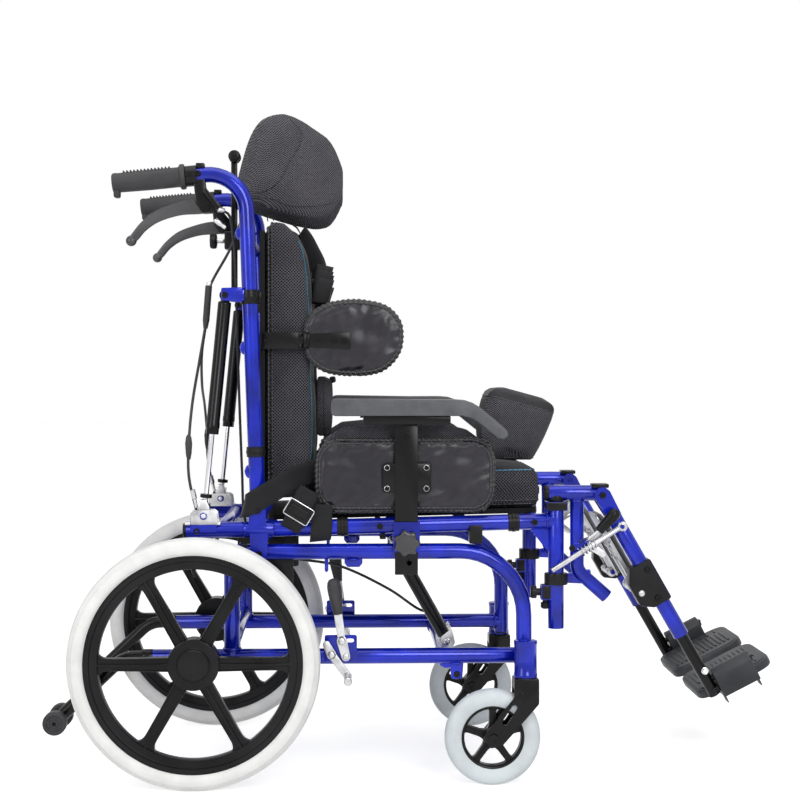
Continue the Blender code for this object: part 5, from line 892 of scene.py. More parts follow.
def seat():
    """Smooth tubes over the seat's rails, posts and cross tubes, with their clips and bolts."""
    skin = TUBE_R + SKIN
    slope = Vector((0.587, 0.0, 0.014)).normalized()
    blue = [
        smooth_bar((-0.0193, R, rail_z(-0.0193)), (0.5813, R, rail_z(0.5813)), skin),
        smooth_bar((0.5813, R, 0.245), (0.5813, R, 0.44), skin),
        weld_bead((0.5665, R, rail_z(0.5665)), slope, TUBE_R),
        smooth_bar((0.076, R - 0.0062, rail_z(0.076)), (0.125, R - 0.0062, rail_z(0.125)), skin, 0.003),
        weld_bead((0.0986, R - 0.003, 0.418), UP, 0.0125, 0.0018),
        weld_bead((0.1009, R - 0.003, 0.397), UP, 0.0125, 0.0018),
    ]
    repaint("seat_frame", "blue_paint")
    pair(join(blue), "seat_rail", "blue_paint", "seat")
    crosses = cross_tubes([(x, rail_z(x)) for x in (0.04, 0.15, 0.335, 0.545)], SLIM_R + SKIN)
    finished(crosses, "seat_cross_tubes", "blue_paint", "seat")
    cap = sheet_plate(rounded(oblong(0.564, 0.4365, 0.5986, 0.4512), 0.004), R - 0.0143, R + 0.0143,
        0.0016)
    saddle = sheet_plate(rounded(oblong(0.4395, 0.3842, 0.4605, 0.4135), 0.003), R - 0.015, R + 0.0113,
        0.0012)
    black = [
        smooth(cap),
        smooth(saddle),
        ring_clip((0.226, R, rail_z(0.226)), slope, TUBE_R + SKIN, 0.018),
        ring_clip((0.503, R, rail_z(0.503)), slope, TUBE_R + SKIN, 0.018),
        smooth_turned((-0.0193, R, rail_z(-0.0193)), slope, [(0.0112, -0.0022), (0.0126, -0.0012),
            (0.0131, 0.0), (0.0131, 0.003)]),
        hex_bolt(0.001, rail_z(0.001), NEAR),
        hex_bolt(0.295, rail_z(0.295), NEAR),
        hex_bolt(0.545, rail_z(0.545), NEAR),
        hex_bolt(0.0986, 0.4384, NEAR - 0.0052),
        smooth_block((0.556, R - 0.0105, 0.2915), (0.5735, R + 0.0105, 0.3165), 0.003),
        smooth_turned((0.556, R, 0.304), BEHIND, [(0.006, 0.0), (0.006, 0.006), (0.0105, 0.007),
            (0.0105, 0.014), (0.008, 0.016)], 18),
        smooth_turned((0.564, R, 0.2918), DOWN, [(0.0045, 0.0), (0.0045, 0.004), (0.0075, 0.005),
            (0.0075, 0.013), (0.005, 0.015)], 14),
    ]
    studs = (((0.47, R, 0.359), [(0.004, -0.002), (0.004, 0.003), (0.0055, 0.004), (0.0048, 0.008)]),
        ((0.3, R, rail_z(0.3) - TUBE_R), [(0.004, 0.0), (0.004, 0.004), (0.0055, 0.005),
        (0.0048, 0.009)]))
    black += [smooth_turned(place, DOWN, stud, 14) for place, stud in studs]
    pair(join(black), "seat_fittings", "black_plastic", "seat")
    clevis = []
    x, z = RECLINE_FOOT
    outline = rounded([(x - 0.02, rail_z(x) + 0.01), (x + 0.024, rail_z(x) + 0.01),
        (x + 0.0215, z + 0.0055), (x + 0.0165, z + 0.0095), (x - 0.0165, z + 0.0095),
        (x - 0.0215, z + 0.0055)], 0.002)
    for edge in (-1, 1):
        middle = R + edge * 0.013
        clevis.append(smooth_plate(outline, middle - 0.0018, middle + 0.0018))
        clevis.append(dome_rivet((x, middle + edge * 0.0018, z), (0, edge, 0), 0.0065, 0.003))
    clevis.append(smooth_plate([(x - 0.03, rail_z(x) + 0.0095), (x + 0.027, rail_z(x) + 0.0095),
        (x + 0.027, rail_z(x) + 0.014), (x - 0.03, rail_z(x) + 0.014)], R - 0.0145, R + 0.0145))
    pair(join(clevis), "recline_spring_clevis", "brushed_steel", "seat")


def cane_x(z):
    share = (z - CANE_FOOT[1]) / (CANE_TOP[1] - CANE_FOOT[1])
    return CANE_FOOT[0] + share * (CANE_TOP[0] - CANE_FOOT[0])


def back():
    """The back's canes, bent over into the push handles, with their cross tubes and lugs."""
    up = Vector((CANE_TOP[0] - CANE_FOOT[0], 0.0, CANE_TOP[1] - CANE_FOOT[1])).normalized()
    ax, az = RECLINE_TOP
    cheek = rounded([(cane_x(az) - 0.0115, az - 0.0115), (cane_x(az) - 0.0115, az + 0.0125),
        (ax - 0.006, az + 0.0115), (ax - 0.006, az - 0.0085)], 0.003)
    blue = [
        smooth(tube([(x, R, z) for x, z in (CANE_FOOT, CANE_TOP, HANDLE_END)], TUBE_R, 0.06)),
        smooth_bar((0.0986, NEAR - 0.0003, 0.4384), (0.0986, FAR + 0.0003, 0.4384), TUBE_R + 0.0001),
        *[smooth_plate(cheek, R + edge * 0.013 - 0.0016, R + edge * 0.013 + 0.0016) for edge in (-1, 1)],
        smooth_block((cane_x(az) - 0.02, R - 0.014, az - 0.0088), (cane_x(az) - 0.008, R + 0.014,
            az + 0.0088), 0.001),
        weld_bead((cane_x(az) - 0.0115, R, az), AHEAD, 0.0125, 0.0016),
    ]
    pair(join(blue), "back_cane", "blue_paint", "back", "back_frame")
    crosses = cross_tubes([(cane_x(z) - 0.0078, z) for z in (0.5, 0.7, 0.885)], bead_step=0.001)
    finished(crosses, "back_cross_tubes", "blue_paint", "back")
    black = [
        ring_clip((cane_x(0.77), R, 0.77), up, TUBE_R, 0.023),
        smooth_block((cane_x(0.77) + 0.012, R - 0.006, 0.7735), (cane_x(0.77) + 0.0185, R + 0.006,
            0.7895), 0.0015),
        ring_clip((cane_x(0.524), R, 0.524), up, TUBE_R, 0.017),
        hex_bolt(ax, az, R - 0.0146),
        hex_bolt(ax, az, R + 0.0146, 1),
    ]
    pair(join(black), "cane_clips", "black_plastic", "back")
    clamp = [
        smooth_block((0.033, -0.016, 0.872), (cane_x(0.862) - 0.01, -0.0098, 0.902), 0.002),
        smooth_block((0.033, 0.0098, 0.872), (cane_x(0.862) - 0.01, 0.016, 0.902), 0.002),
        smooth_block((0.033, -0.0155, 0.872), (0.039, 0.0155, 0.902), 0.002),
        smooth_block((0.0558, -0.0155, 0.872), (0.07, 0.0155, 0.902), 0.002),
    ]
    finished(join(clamp), "headrest_clamp", "black_plastic", "back")
    finished(star_knob((0.02, 0.0, 0.887), BEHIND, 0.015, 0.013, 6), "headrest_star_knob",
        "black_plastic", "back")
    finished(smooth_bar((0.032, 0, 0.887), (0.014, 0, 0.887), 0.0042), "headrest_knob_screw",
        "brushed_steel", "back")


def star_knob(centre, axis, radius, height, lobes):
    """A hand knob: a disc with finger lobes, domed at its face."""
    sides = lobes * 8
    profile = [(radius * 0.5, 0.0), (radius * 0.92, height * 0.1), (radius, height * 0.28),
        (radius, height * 0.7), (radius * 0.93, height * 0.92), (radius * 0.72, height),
        (radius * 0.4, height * 0.94)]
    knob = turned(centre, axis, profile, sides)
    middle = at(*centre)
    direction = Vector(axis).normalized()
    guide = direction.to_track_quat("Z", "Y").inverted()
    for vertex in knob.data.vertices:
        offset = vertex.co - middle
        flat = offset - offset.project(direction)
        if flat.length < radius * 0.6:
            continue
        turn = math.atan2(*(guide @ flat).yx)
        vertex.co -= flat * (0.1 * (1 - math.cos(lobes * turn)) * flat.length / radius)
    return smooth(refine(knob), 50.0)


base()
seat()
back()


def spoke(inner, outer, half, flare):
    """A spoke along +X whose sides sweep out into the rim and the hub."""
    sweep = []
    for step in range(9):
        t = step / 8
        sweep.append((outer - flare * (1 - t) ** 1.6, half * 0.8 + flare * 0.95 * t ** 2.4))
    root = [(inner + 0.012 * (1 - step / 4), half * 0.84 + 0.004 * (step / 4) ** 2) for step in range(5)]
    upper = sweep[::-1] + root
    return upper + [(x, -z) for x, z in reversed(upper)]


def tyre_tread(tyre, centre, axis, count, low_r, high_r, rise):
    """Raise every other strip of the shoulders, as moulded cross lugs."""
    middle = at(*centre)
    axis = Vector(axis)
    for vertex in tyre.data.vertices:
        offset = vertex.co - middle
        across_it = abs(offset.dot(axis))
        flat = offset - axis * offset.dot(axis)
        if not low_r < flat.length < high_r or across_it < 0.004:
            continue
        turn = math.atan2(flat.z, flat.x) / math.tau * count
        if round(turn) % 2:
            vertex.co -= flat.normalized() * rise
    return tyre


def rear_wheel():
    """A moulded six-spoke wheel with a pale solid tyre."""
    y = -WHEEL_Y
    centre = (0.0, y, WHEEL_R)
    tyre_profile = [(0.1728, 0.0165), (0.1755, 0.02), (0.18, 0.0218), (0.1855, 0.0219), (0.19, 0.0207),
        (0.1906, 0.02), (0.1936, 0.0178), (0.1962, 0.0145), (0.197, 0.0137), (0.1988, 0.009),
        (0.1997, 0.0045), (0.2, 0.0)]
    tyre = closed_ring(centre, OUT, both_ways(tyre_profile), 240)
    tyre_tread(tyre, centre, OUT, 240, 0.1903, 0.1966, 0.0011)
    pair(smooth(tyre, 34.0), "tyre", "white_tyre", "rear_wheel_{}", "rear_tyre_{}")
    rim_profile = [(0.1727, 0.015), (0.168, 0.0158), (0.164, 0.015), (0.1628, 0.0128), (0.16, 0.0118),
        (0.154, 0.0112), (0.1512, 0.0105), (0.1502, 0.008)]
    rim = closed_ring(centre, OUT, both_ways(rim_profile), 120)
    hub = turned(centre, OUT, [(0.039, -0.0228), (0.0405, -0.0215), (0.041, 0.01), (0.0405, 0.0128),
        (0.0385, 0.014), (0.0275, 0.014), (0.0262, 0.015), (0.0255, 0.0185), (0.0235, 0.0205),
        (0.014, 0.0212), (0.004, 0.0213)], 64)
    parts = [smooth(rim, 24.0), smooth(hub, 24.0)]
    web = spoke(0.034, 0.153, 0.0125, 0.02)
    ridge = oblong(0.036, 0.0016, 0.158, -0.0016)
    for index in range(6):
        angle = math.tau * index / 6
        turned_web = turned_about(web, angle, (0.0, WHEEL_R))
        turned_ridge = turned_about(ridge, angle, (0.0, WHEEL_R))
        parts.append(smooth_plate(turned_web, y - 0.0062, y + 0.0062, 0.0018, 3))
        parts.append(smooth_plate(turned_ridge, y - 0.0108, y + 0.0108, 0.0009))
        for edge in (-1, 1):
            inner_half, outer_half = 0.0112, 0.0094
            flange = [(0.037, edge * inner_half), (0.128, edge * outer_half),
                (0.128, edge * (outer_half - 0.0022)), (0.037, edge * (inner_half - 0.0022))]
            parts.append(smooth_plate(turned_about(flange, angle, (0.0, WHEEL_R)), y - 0.0084,
                y + 0.0084, 0.0007))
    valve = turned((0.0, y - 0.002, WHEEL_R + 0.148), (0.2, 0, -1),
        [(0.0035, -0.004), (0.0035, 0.004), (0.0026, 0.005), (0.0026, 0.01), (0.0014, 0.011)], 12)
    parts.append(smooth(valve))
    pair(join(parts), "wheel", "black_plastic", "rear_wheel_{}", "rear_wheel_{}")


def caster():
    """A five-spoke caster with its tyre, in a slotted fork."""
    x, y, z = STEM_X - 0.0532, -CASTER_Y, 0.077
    half_profile = [(0.0505, 0.0112), (0.053, 0.0128), (0.06, 0.0146), (0.066, 0.0148), (0.0705, 0.0135),
        (0.0742, 0.0105), (0.0764, 0.0062), (0.077, 0.0)]
    tyre = smooth(closed_ring((x, y, z), OUT, both_ways(half_profile), 96))
    pair(tyre, "caster_tyre", "caster_white", "caster_wheel_{}", "caster_wheel_{}", slot="white_tyre")
    rim_half = [(0.0515, 0.0105), (0.049, 0.0112), (0.047, 0.0104), (0.0455, 0.008)]
    parts = [
        smooth(closed_ring((x, y, z), OUT, both_ways(rim_half), 80), 24.0),
        smooth_turned((x, y, z), OUT, [(0.007, -0.014), (0.015, -0.0138), (0.016, -0.012),
            (0.016, 0.012), (0.015, 0.0138), (0.007, 0.014)], 36),
    ]
    web = spoke(0.012, 0.0485, 0.0068, 0.01)
    for index in range(5):
        angle = math.tau * (index + 0.25) / 5
        parts.append(smooth_plate(turned_about(web, angle, (x, z)), y - 0.0066, y + 0.0066, 0.0014, 3))
        ridge = oblong(0.013, 0.0012, 0.05, -0.0012)
        parts.append(smooth_plate(turned_about(ridge, angle, (x, z)), y - 0.0092, y + 0.0092, 0.0006))
    pair(join(parts), "caster_spokes", "black_plastic", "caster_wheel_{}")
    cheek = rounded([(0.508, 0.1717), (0.508, 0.1417), (x - 0.0165, z + 0.004), (x - 0.006, z - 0.0165),
        (x + 0.015, z - 0.011), (0.548, 0.1317), (0.548, 0.1717)], 0.008)
    fork = []
    for edge in (-1, 1):
        middle = y + edge * 0.018
        side_cheek = sheet_plate(cheek, middle - 0.0021, middle + 0.0021, 0.0008)
        cut = sheet_plate(link_outline((0.4935, 0.103), (0.5085, 0.126), 0.0046), middle - 0.01,
            middle + 0.01, 0.0)
        cut_away(side_cheek, cut)
        fork.append(smooth(side_cheek))
        fork.append(smooth(turned((x, y + edge * 0.02, z), (0, edge, 0),
            [(0.0082, 0.0), (0.0082, 0.0034), (0.0074, 0.0042), (0.0042, 0.0042), (0.0042, 0.0024)], 6),
            20.0))
        fork.append(dome_rivet((0.521, y + edge * 0.02, 0.148), (0, edge, 0), 0.004, 0.0018))
    fork.append(smooth_block((0.508, y - 0.02, 0.154), (0.548, y + 0.02, 0.1717), 0.0022, 3))
    fork.append(smooth_bar((x, y - 0.016, z), (x, y + 0.016, z), 0.0041, 0.0))
    pair(join(fork), "caster_fork_cheeks", "black_metal", "caster_fork_{}", "caster_fork_{}")
    seal = turned((STEM_X, y, 0.1716), UP, [(0.014, 0.0), (0.017, 0.0006), (0.017, 0.0034),
        (0.015, 0.004)], 28)
    pair(smooth(seal), "caster_bearing_seal", "brushed_steel", "caster_fork_{}")


def anti_tipper():
    """The bent rear tube with its twin wheels, push button and end plug."""
    x, z = -0.2223, 0.1029
    arm = [
        smooth(tube([(-0.079, R, LOW_Z), (-0.118, R, LOW_Z), (x, R, z)], 0.0105, 0.05)),
        smooth_turned((-0.0755, R, LOW_Z), BEHIND, [(0.0128, 0.0), (0.0131, 0.001), (0.0131, 0.01),
            (0.012, 0.012), (0.0106, 0.0125)]),
        smooth_turned((x, R - 0.0102, z), ACROSS, [(0.0112, 0.0), (0.0125, 0.0015), (0.0125, 0.0189),
            (0.0112, 0.0204)], 28),
        smooth_bar((-0.062, NEAR - 0.0028, LOW_Z), (-0.062, R, LOW_Z), 0.0036, 0.001),
    ]
    pair(join(arm), "anti_tipper_arm", "black_metal", "anti_tipper_{}", "anti_tipper_{}")
    wheels = []
    for y in (R - 0.032, R + 0.032):
        profile = [(0.006, 0.01), (0.0068, 0.0086), (0.012, 0.0086), (0.013, 0.0098), (0.016, 0.01),
            (0.0186, 0.0084), (0.019, 0.006)]
        wheels.append(smooth_turned((x, y, z), OUT, both_ways(profile), 40))
        for edge in (-1, 1):
            for index in range(5):
                spin = math.tau * index / 5
                outline = turned_about(oblong(0.0055, 0.0008, 0.0128, -0.0008), spin, (x, z))
                wheels.append(smooth_plate(outline, y + edge * 0.008, y + edge * 0.0098, 0.0003, 1))
    wheels.append(smooth_bar((x, R - 0.042, z), (x, R + 0.042, z), 0.0045, 0.001))
    pair(join(wheels), "anti_tipper_wheels", "black_rubber", "anti_tip_wheels_{}", "anti_tip_wheels_{}")


def past(start, end, distance):
    """A point on the line from start to end, distance along it."""
    length = math.hypot(end[0] - start[0], end[1] - start[1])
    return (start[0] + (end[0] - start[0]) * distance / length, start[1]
        + (end[1] - start[1]) * distance / length)


def brake():
    """The flat brake lever with its long grip, and the arm with the round shoe."""
    pivot, link, top = BRAKE_PIVOT, (0.2402, 0.2039), (0.2195, 0.33)
    shoe_pivot, shoe_rear, shoe_tip = SHOE_PIVOT, (0.209, 0.2232), (0.2434, 0.1718)
    plate_y = NEAR - 0.003
    shoe_y = plate_y - 0.001
    lever_y = shoe_y - 0.0035 - 0.001
    foot = past(pivot, top, 0.0435)
    length = math.hypot(top[0] - foot[0], top[1] - foot[1])
    upward = (top[0] - foot[0], 0.0, top[1] - foot[1])
    grip_profile = [(0.007, 0.0), (0.0076, 0.0012), (0.0079, 0.005), (0.0092, 0.014), (0.0106, 0.026),
        (0.0115, 0.038), (0.0114, length - 0.0125), (0.01, length - 0.006), (0.007, length - 0.0016),
        (0.003, length - 0.0002)]
    grip = smooth(turned((foot[0], lever_y - 0.00175, foot[1]), upward, grip_profile, 28), 60.0)
    pair(grip, "brake_grip", "black_rubber", "brake_lever_{}")
    lever = [
        smooth_plate(link_outline(link, pivot, 0.007, 0.0085), lever_y - 0.0036, lever_y + 0.0001),
        smooth_plate(link_outline(past(pivot, top, 0.01), past(pivot, top, 0.05), 0.0066),
            lever_y - 0.0036, lever_y + 0.0001),
        dome_rivet((link[0], lever_y - 0.0036, link[1]), OUT, 0.0055, 0.0026),
        dome_rivet((pivot[0], lever_y - 0.0036, pivot[1]), OUT, 0.0058, 0.003),
    ]
    pair(join(lever), "brake_lever_plate", "brushed_steel", "brake_lever_{}", "brake_lever_{}")
    shoe = [
        smooth_plate(link_outline(shoe_rear, shoe_pivot, 0.006, 0.008), shoe_y - 0.0036,
            shoe_y + 0.0001),
        smooth_plate(link_outline(past(shoe_pivot, shoe_tip, 0.004), shoe_tip, 0.0066), shoe_y - 0.0036,
            shoe_y + 0.0001),
        smooth_turned((shoe_tip[0], shoe_y, shoe_tip[1]), OUT, [(0.0052, 0.0), (0.006, 0.001),
            (0.006, 0.048), (0.0066, 0.049), (0.0066, 0.0525), (0.005, 0.054)], 24),
    ]
    pair(join(shoe), "brake_shoe_arm", "brushed_steel", "brake_shoe_{}", "brake_shoe_{}")


rear_wheel()
caster()
anti_tipper()
brake()


HANDLE_START = Vector((HANDLE_END[0], 0.0, HANDLE_END[1]))
HANDLE_AHEAD = Vector((CANE_TOP[0] - HANDLE_END[0], 0.0, CANE_TOP[1] - HANDLE_END[1])).normalized()


def on_handle(along, up=0.0, y=R):
    """A point on the push handle's centre line, and above it."""
    normal = Vector((-HANDLE_AHEAD.z, 0.0, HANDLE_AHEAD.x))
    spot = HANDLE_START + HANDLE_AHEAD * along + normal * up
    return (spot.x, y, spot.z)


def push_handle():
    """The ribbed grip with its flange and hooked end, the lever's clamp and the curved release lever."""
    ahead = tuple(HANDLE_AHEAD)
    grip = turned(on_handle(-0.01), ahead, [(0.006, 0.0), (0.014, 0.0006), (0.0158, 0.0024),
        (0.0163, 0.007), (0.0156, 0.0095), (0.016, 0.03), (0.0165, 0.06), (0.0162, 0.095),
        (0.016, 0.106), (0.0172, 0.1085), (0.0204, 0.11), (0.0206, 0.115), (0.0196, 0.1172),
        (0.013, 0.1175)], 48)
    parts = [smooth(grip, 30.0)]
    rib = block((0.0, 0.0, 0.0), (0.0022, 0.016, 0.0052), 0.0008)
    for index in range(14):
        spot = on_handle(0.009 + index * 0.0056, 0.0142)
        twin = copied(rib)
        twin.data.transform(Matrix.Translation(Vector((spot[0], R - 0.008, spot[2] - 0.0012))))
        parts.append(smooth(twin))
    bpy.data.objects.remove(rib)
    low = on_handle(-0.0095, -0.0235)
    high = on_handle(0.003, -0.008)
    parts.append(smooth_block((low[0], R - 0.0095, low[2]), (high[0] - 0.0005, R + 0.0095, high[2]),
        0.0035, 3))
    pair(join(parts), "push_grip_rubber", "black_rubber", "back", "push_grip_{}")
    perch = rounded([(-0.004, 0.972), (0.014, 0.972), (0.0165, 0.956), (0.04, 0.9275), (0.029, 0.9165),
        (0.011, 0.915), (0.0, 0.933)], 0.004)
    clamp = [
        smooth_turned(on_handle(0.1068), ahead, [(0.0132, 0.0), (0.0164, 0.0004), (0.0168, 0.0016),
            (0.0168, 0.018), (0.0164, 0.0192), (0.0132, 0.0196)], 40),
        smooth_plate(perch, R - 0.0098, R - 0.0066, 0.0012),
        smooth_plate(perch, R + 0.0066, R + 0.0098, 0.0012),
        smooth_plate(rounded([(0.0165, 0.956), (0.04, 0.9275), (0.0345, 0.9185), (0.012, 0.948)], 0.003),
            R - 0.02, R + 0.0085, 0.0012),
        smooth_block((0.0, R - 0.0085, 0.988), (0.014, R + 0.0085, 0.996), 0.0016),
        hex_bolt(0.004, 0.978, R - 0.0155),
        hex_bolt(0.018, 0.924, R - 0.0095),
        smooth_bar((0.018, R - 0.01, 0.924), (0.018, R + 0.0115, 0.924), 0.0024),
    ]
    pair(join(clamp), "release_lever_clamp", "black_metal", "back")
    upper = [(0.0215, 0.931), (0.005, 0.937), (-0.012, 0.9365), (-0.0393, 0.9293), (-0.066, 0.9185),
        (-0.0874, 0.9014), (-0.101, 0.885), (-0.1075, 0.876)]
    lower = [(-0.0975, 0.869), (-0.0915, 0.8745), (-0.0794, 0.8885), (-0.0581, 0.9025), (-0.026, 0.9123),
        (0.004, 0.9145), (0.0225, 0.9165)]
    outline = [(x, z) for side in (upper, lower) for x, z, _ in smooth_path([(x, z, 0.0)
        for x, z in side], 0.005)]
    blade = sheet_plate(outline, R - 0.0056, R + 0.0056, 0.003, 3)
    lever = [
        smooth(blade, 50.0),
        smooth_turned((0.018, R - 0.0058, 0.924), ACROSS, [(0.0072, 0.0), (0.008, 0.001),
            (0.008, 0.0106), (0.0072, 0.0116)], 28),
    ]
    deselect()
    bpy.ops.mesh.primitive_uv_sphere_add(segments=28, ring_count=18, radius=0.0088,
        location=at(-0.1037, R, 0.8714))
    ball = settle(bpy.context.active_object)
    start_editing(ball)
    bpy.ops.mesh.select_all(action="SELECT")
    bpy.ops.transform.resize(value=(1.0, 0.82, 1.0), center_override=at(-0.1037, R, 0.8714))
    stop_editing()
    lever.append(smooth(ball, 80.0))
    pair(join(lever), "release_lever_blade", "lit_black_lever", "release_lever_{}", "release_lever_{}",
        slot="black_plastic")
    boot = turned((0.03, R, 0.906), (0.72, 0, -0.55), [(0.0034, 0.0), (0.0042, 0.001), (0.0042, 0.012),
        (0.0034, 0.013), (0.0034, 0.02), (0.0026, 0.022)], 16)
    pair(smooth(boot), "cable_adjuster", "brushed_steel", "release_lever_{}")


def recline_springs():
    """Smooth gas springs behind the back: black cylinders with collars, and bright rods."""
    top, low = RECLINE_TOP, RECLINE_FOOT
    line = Vector((low[0] - top[0], 0.0, low[1] - top[1]))
    length = line.length
    ahead = tuple(line.normalized())
    start = (top[0], R, top[1])
    cylinder = turned(start, ahead, [(0.006, 0.0095), (0.009, 0.0105), (0.0106, 0.0125), (0.0107, 0.014),
        (0.0107, 0.205), (0.0112, 0.2058), (0.0112, 0.214), (0.01, 0.2152), (0.006, 0.2154)], 36)
    eye = turned((top[0], R - 0.0085, top[1]), ACROSS, [(0.0085, 0.0), (0.0092, 0.001), (0.0092, 0.016),
        (0.0085, 0.017)], 28)
    pair(join([smooth(cylinder), smooth(eye)]), "recline_spring", "black_metal", "recline_cylinder_{}")
    rod = turned(start, ahead, [(0.0041, 0.204), (0.0042, 0.206), (0.0042, length - 0.036),
        (0.0041, length - 0.035)], 24)
    pair(smooth(rod), "recline_spring_rod", "chrome", "recline_rod_{}")
    nut = turned(start, ahead, [(0.006, length - 0.035), (0.0095, length - 0.0345),
        (0.0095, length - 0.029), (0.0065, length - 0.028)], 18)
    pair(smooth(nut), "recline_rod_nut", "black_metal", "recline_rod_{}")
    head = sheet_plate(rounded([(0.005, 0.4225), (0.0205, 0.4225), (0.0215, 0.444), (0.016, 0.456),
        (0.0065, 0.456), (0.003, 0.444)], 0.003), R - 0.0092, R + 0.0092, 0.0016)
    pair(smooth(head), "recline_release_head", "brushed_steel", "recline_rod_{}")
    for label in ("left", "right"):
        repaint("recline_cylinder_" + label, "black_metal")
        repaint("recline_rod_" + label, "brushed_steel")


def tilt_springs():
    high, low = TILT_TOP, TILT_FOOT
    line = Vector((low[0] - high[0], 0.0, low[1] - high[1]))
    length = line.length
    ahead = tuple(line.normalized())
    cylinders = []
    rods = []
    for y in TILT_YS:
        foot = (low[0], y, low[1])
        back_up = tuple(-Vector(ahead))
        cylinders.append(smooth_turned(foot, back_up, [(0.006, 0.0095), (0.01, 0.011), (0.0107, 0.013),
            (0.0107, 0.14), (0.0112, 0.141), (0.0112, 0.149), (0.01, 0.1502), (0.006, 0.1504)], 36))
        rods.append(smooth_turned(foot, back_up, [(0.0041, 0.145), (0.0042, 0.146),
            (0.0042, length - 0.016), (0.0041, length - 0.015)], 24))
    finished(join(cylinders), "tilt_springs", "black_metal", "tilt_cylinders")
    finished(join(rods), "tilt_spring_rods", "chrome", "tilt_rods")
    repaint("tilt_cylinders", "black_metal")
    repaint("tilt_rods", "brushed_steel")


LEG_DOWN = Vector((math.cos(math.radians(-60.2)), 0.0, math.sin(math.radians(-60.2))))
LEG_OUT = Vector((-LEG_DOWN.z, 0.0, LEG_DOWN.x))
KNEE = Vector((0.6547, 0.0, 0.4621))
CALF_CLAMP_Y = R - 0.0157  # the outer face of the calf pad's clamp
POST_X = 0.5813  # the post that the hanger stands on
HANGER_Z = 0.4647


def on_leg(along, out=0.0, y=R):
    """A point along the leg tube from the knee, and in front of it."""
    spot = KNEE + LEG_DOWN * along + LEG_OUT * out
    return (spot.x, y, spot.z)


def flat(point):
    return (point[0], point[2])


